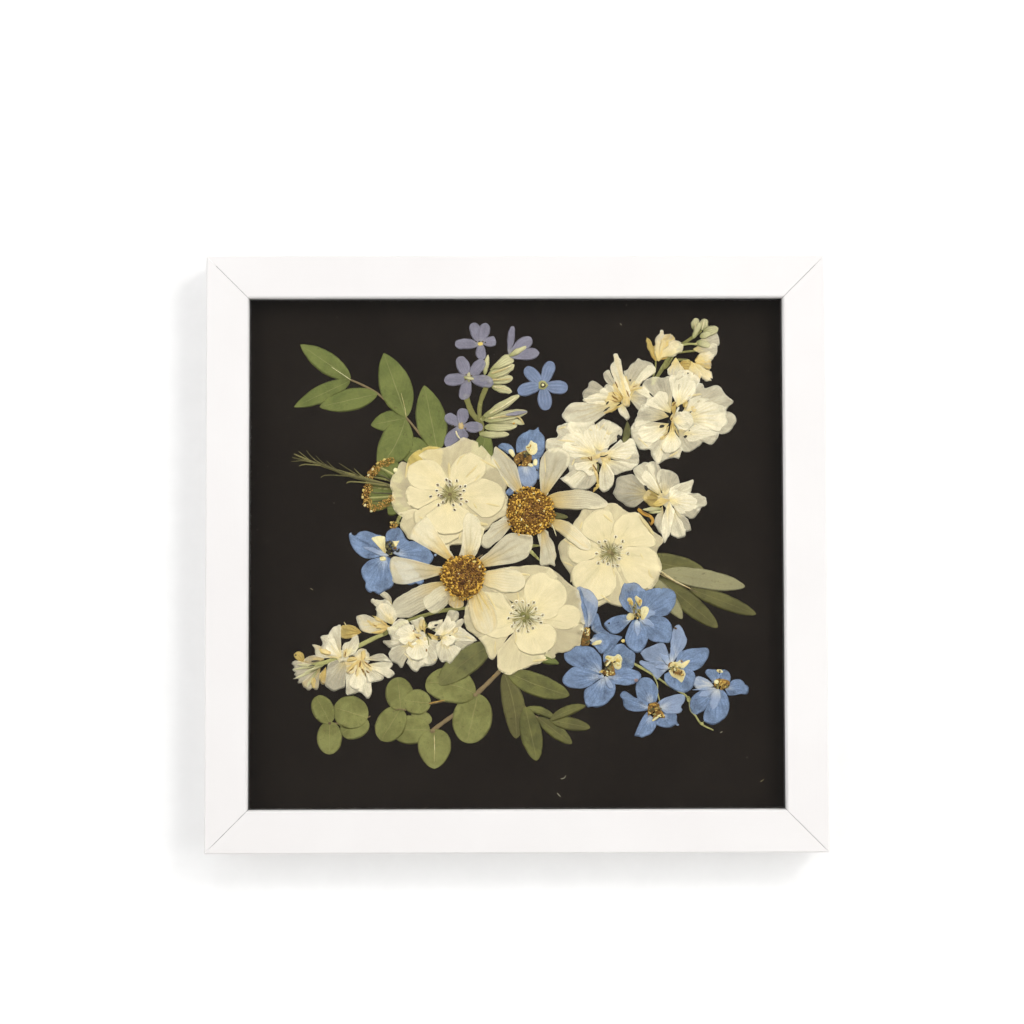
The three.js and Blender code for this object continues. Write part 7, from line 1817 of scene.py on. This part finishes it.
def clear_where(material, kit, shader, where):
    """Makes a material transparent where a node's output is 1."""
    clear = kit.add("ShaderNodeBsdfTransparent").outputs[0]
    mix = kit.add("ShaderNodeMixShader", {0: where, 1: shader.outputs[0], 2: clear})
    kit.put(material.node_tree.nodes["Material Output"].inputs["Surface"], mix.outputs[0])


def glass_material():
    """Clear glass that lets the light of the lamps straight through to the card."""
    material, kit, shader, _ = new_material("clear_glass", 0.0, IOR=1.5, Transmission_Weight=1.0)
    shader.inputs["Base Color"].default_value = (0.985, 1.0, 0.992, 1)
    clear_where(material, kit, shader, kit.add("ShaderNodeLightPath").outputs["Is Shadow Ray"])
    return material


def card_material():
    material, kit, shader, place = new_material("black_card", 0.95, Specular_IOR_Level=0.05)
    fibre = kit.noise(place, 1600.0, 3.0, 0.7)
    cloud = kit.noise(place, 18.0, 3.0, 0.5)
    colour = kit.blend(kit.span(fibre, 0.3, 0.8), (0.0066, 0.0048, 0.0035), (0.0165, 0.0125, 0.0095))
    colour = kit.blend(kit.times(kit.span(cloud, 0.35, 0.75), 0.3), colour, (0.0185, 0.0145, 0.0113))
    specks = kit.noise(place, 420.0, 1.0, 0.5)
    colour = kit.blend(kit.times(kit.span(specks, 0.80, 0.84), 0.5), colour, (0.14, 0.12, 0.10))
    kit.put(shader.inputs["Base Color"], colour)
    bump(kit, shader, fibre, 0.3, 0.0001)
    return material


def spacer_material():
    material, kit, shader, place = new_material("black_spacer", 0.85, Specular_IOR_Level=0.2)
    fleck = kit.noise(place, 900.0, 2.0, 0.5)
    kit.put(shader.inputs["Base Color"], kit.blend(fleck, (0.012, 0.011, 0.010), (0.024, 0.022, 0.020)))
    return material


def hardboard_material():
    material, kit, shader, place = new_material("hardboard", 0.62, Specular_IOR_Level=0.3)
    fibre = kit.noise(place, 700.0, 5.0, 0.7, 0.6)
    cloud = kit.noise(place, 9.0, 3.0, 0.5)
    colour = kit.blend(kit.span(fibre, 0.3, 0.7), (0.13, 0.062, 0.026), (0.24, 0.125, 0.058))
    colour = kit.blend(kit.times(kit.span(cloud, 0.35, 0.7), 0.35), colour, (0.27, 0.155, 0.08))
    kit.put(shader.inputs["Base Color"], colour)
    kit.put(shader.inputs["Roughness"], kit.span(fibre, 0.2, 0.8, 0.5, 0.72))
    bump(kit, shader, fibre, 0.25, 0.0002)
    return material


def zinc_material():
    material, kit, shader, place = new_material("zinc_steel", 0.35, Metallic=1.0)
    brushed = kit.noise(place, 500.0, 3.0, 0.6)
    spangle = kit.noise(place, 240.0, 1.0, 0.4)
    kit.put(shader.inputs["Base Color"], kit.blend(kit.span(spangle, 0.35, 0.65), (0.46, 0.45, 0.42),
                                                   (0.60, 0.59, 0.55)))
    kit.put(shader.inputs["Roughness"], kit.span(brushed, 0.25, 0.75, 0.28, 0.46))
    bump(kit, shader, brushed, 0.1, 0.0001)
    return material


def dress_holder():
    """Puts the finishes on the pieces of the frame and its back."""
    across, upright = (0.06, 1, 1), (1, 1, 0.06)
    finishes = {"glass_pane": glass_material(), "mount_card": card_material(),
                "spacer_ring": spacer_material(), "back_board": hardboard_material()}
    level = paint_material("white_paint_level", across)
    standing = paint_material("white_paint_upright", upright)
    finishes["frame_rail_top"] = finishes["frame_rail_bottom"] = level
    finishes["frame_rail_left"] = finishes["frame_rail_right"] = standing
    zinc = zinc_material()
    for name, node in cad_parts.items():
        if name.startswith(("retaining_tab", "sawtooth", "hanger_rivet")):
            finishes[name] = zinc
        if name in finishes:
            node.data.materials.clear()
            node.data.materials.append(finishes[name])


# ------------------------------------------------------------------------------- camera, light and stage
# All in metres here, except the lens.
CAMERA_PLACE = (-0.004803, -0.9, -0.165218)
CAMERA_PITCH = math.radians(1.816)
CAMERA_YAW = math.radians(0.156)
CAMERA_ROLL = math.radians(-0.122)
CAMERA_LENS = 54.35
WALL_GAP = 0.0005
WALL_HOLE_MARGIN = 0.0012
WALL_SIZE = (2.4, 2.0)
FLOOR_SIZE = 5.0
FLOOR_BELOW = 0.62


def set_camera():
    """The camera, turned to the right by its yaw, up by its pitch and then about its own axis by its roll."""
    ahead = Vector((math.sin(CAMERA_YAW) * math.cos(CAMERA_PITCH),
                    math.cos(CAMERA_YAW) * math.cos(CAMERA_PITCH), math.sin(CAMERA_PITCH)))
    right = Vector((math.cos(CAMERA_YAW), -math.sin(CAMERA_YAW), 0))
    up = right.cross(ahead)
    level = right * math.cos(CAMERA_ROLL) + up * math.sin(CAMERA_ROLL)
    top = up * math.cos(CAMERA_ROLL) - right * math.sin(CAMERA_ROLL)
    camera = bpy.data.objects.new("camera", bpy.data.cameras.new("camera"))
    camera.data.lens = CAMERA_LENS
    camera.data.sensor_width = 36
    camera.matrix_world = Matrix.Translation(CAMERA_PLACE) @ Matrix(
        (level, top, -ahead)).transposed().to_4x4()
    bpy.context.scene.collection.objects.link(camera)
    bpy.context.scene.camera = camera


def area_light(name, place, target, size, power, colour=(1, 1, 1)):
    """A rectangular lamp that looks at its target."""
    light = bpy.data.lights.new(name, "AREA")
    light.shape = "RECTANGLE"
    light.size, light.size_y = size
    light.energy = power
    light.color = colour
    lamp = bpy.data.objects.new(name, light)
    lamp.location = place
    lamp.rotation_euler = (Vector(target) - Vector(place)).to_track_quat("-Z", "Y").to_euler()
    bpy.context.scene.collection.objects.link(lamp)


def set_lights():
    middle = (0, 0, CENTRE_Z)
    area_light("key", (1.5, -1.5, 1.15), middle, (0.6, 0.6), 17, (1, 0.985, 0.96))
    area_light("fill_left", (-1.9, -1.5, 0.1), middle, (1.8, 2.0), 35, (0.99, 0.99, 1))
    area_light("fill_right", (1.9, -1.5, 0.1), middle, (1.8, 2.0), 33)
    area_light("fill_top", (0.0, -1.5, 1.8), middle, (2.4, 1.2), 25)
    area_light("back_fill", (-0.9, 1.8, 0.6), middle, (1.6, 1.6), 20)
    world = bpy.data.worlds.new("room")
    world.use_nodes = True
    world.node_tree.nodes["Background"].inputs["Color"].default_value = (0.95, 0.96, 1.0, 1)
    world.node_tree.nodes["Background"].inputs["Strength"].default_value = 0.07
    bpy.context.scene.world = world
    bpy.context.scene.view_settings.view_transform = "Standard"


def plane(name, corners, material, faces=((0, 1, 2, 3),)):
    """A flat thing of the stage, which isn't a part of the object."""
    mesh = bpy.data.meshes.new(name)
    mesh.from_pydata(corners, [], faces)
    mesh.materials.append(material)
    piece = bpy.data.objects.new(name, mesh)
    bpy.context.scene.collection.objects.link(piece)


def set_stage():
    """A pale floor, and a wall that is there only for a viewer in front of it.

    The wall is open behind the frame, where the frame hides it, so light reaches the frame's back.
    """
    half_w, half_h = WALL_SIZE[0] / 2, WALL_SIZE[1] / 2
    low = CENTRE_Z - FLOOR_BELOW
    wall, kit, shader, place = new_material("plaster_wall", 0.8)
    rough = kit.noise(place, 60.0, 4.0, 0.6)
    kit.put(shader.inputs["Base Color"], kit.blend(kit.span(rough, 0.3, 0.7), (0.86, 0.86, 0.855),
                                                   (0.88, 0.88, 0.875)))
    clear_where(wall, kit, shader, kit.add("ShaderNodeNewGeometry").outputs["Backfacing"])
    (left, _, bottom), (right, _, top) = CAD_BOX
    outer = (-half_w, low, half_w, low + 2 * half_h)
    gap = WALL_HOLE_MARGIN
    inner = (left + gap, bottom + gap, right - gap, top - gap)
    corners = [(x, WALL_GAP, z) for x0, z0, x1, z1 in (outer, inner)
               for x, z in ((x0, z0), (x1, z0), (x1, z1), (x0, z1))]
    plane("wall", corners, wall, [(0, 1, 5, 4), (1, 2, 6, 5), (2, 3, 7, 6), (3, 0, 4, 7)])
    floor, kit, shader, place = new_material("pale_floor", 0.7)
    speck = kit.noise(place, 40.0, 3.0, 0.5)
    kit.put(shader.inputs["Base Color"], kit.blend(speck, (0.74, 0.735, 0.72), (0.78, 0.775, 0.765)))
    half = FLOOR_SIZE / 2
    plane("floor", [(-half, -half, low), (half, -half, low), (half, half, low), (-half, half, low)], floor)


# ------------------------------------------------------------------------------- all together
build_groups()
build_finishes()
TREES["florets"] = floret_tree()
lay_plants()
lay_dust()
dress_holder()
set_camera()
set_lights()
set_stage()
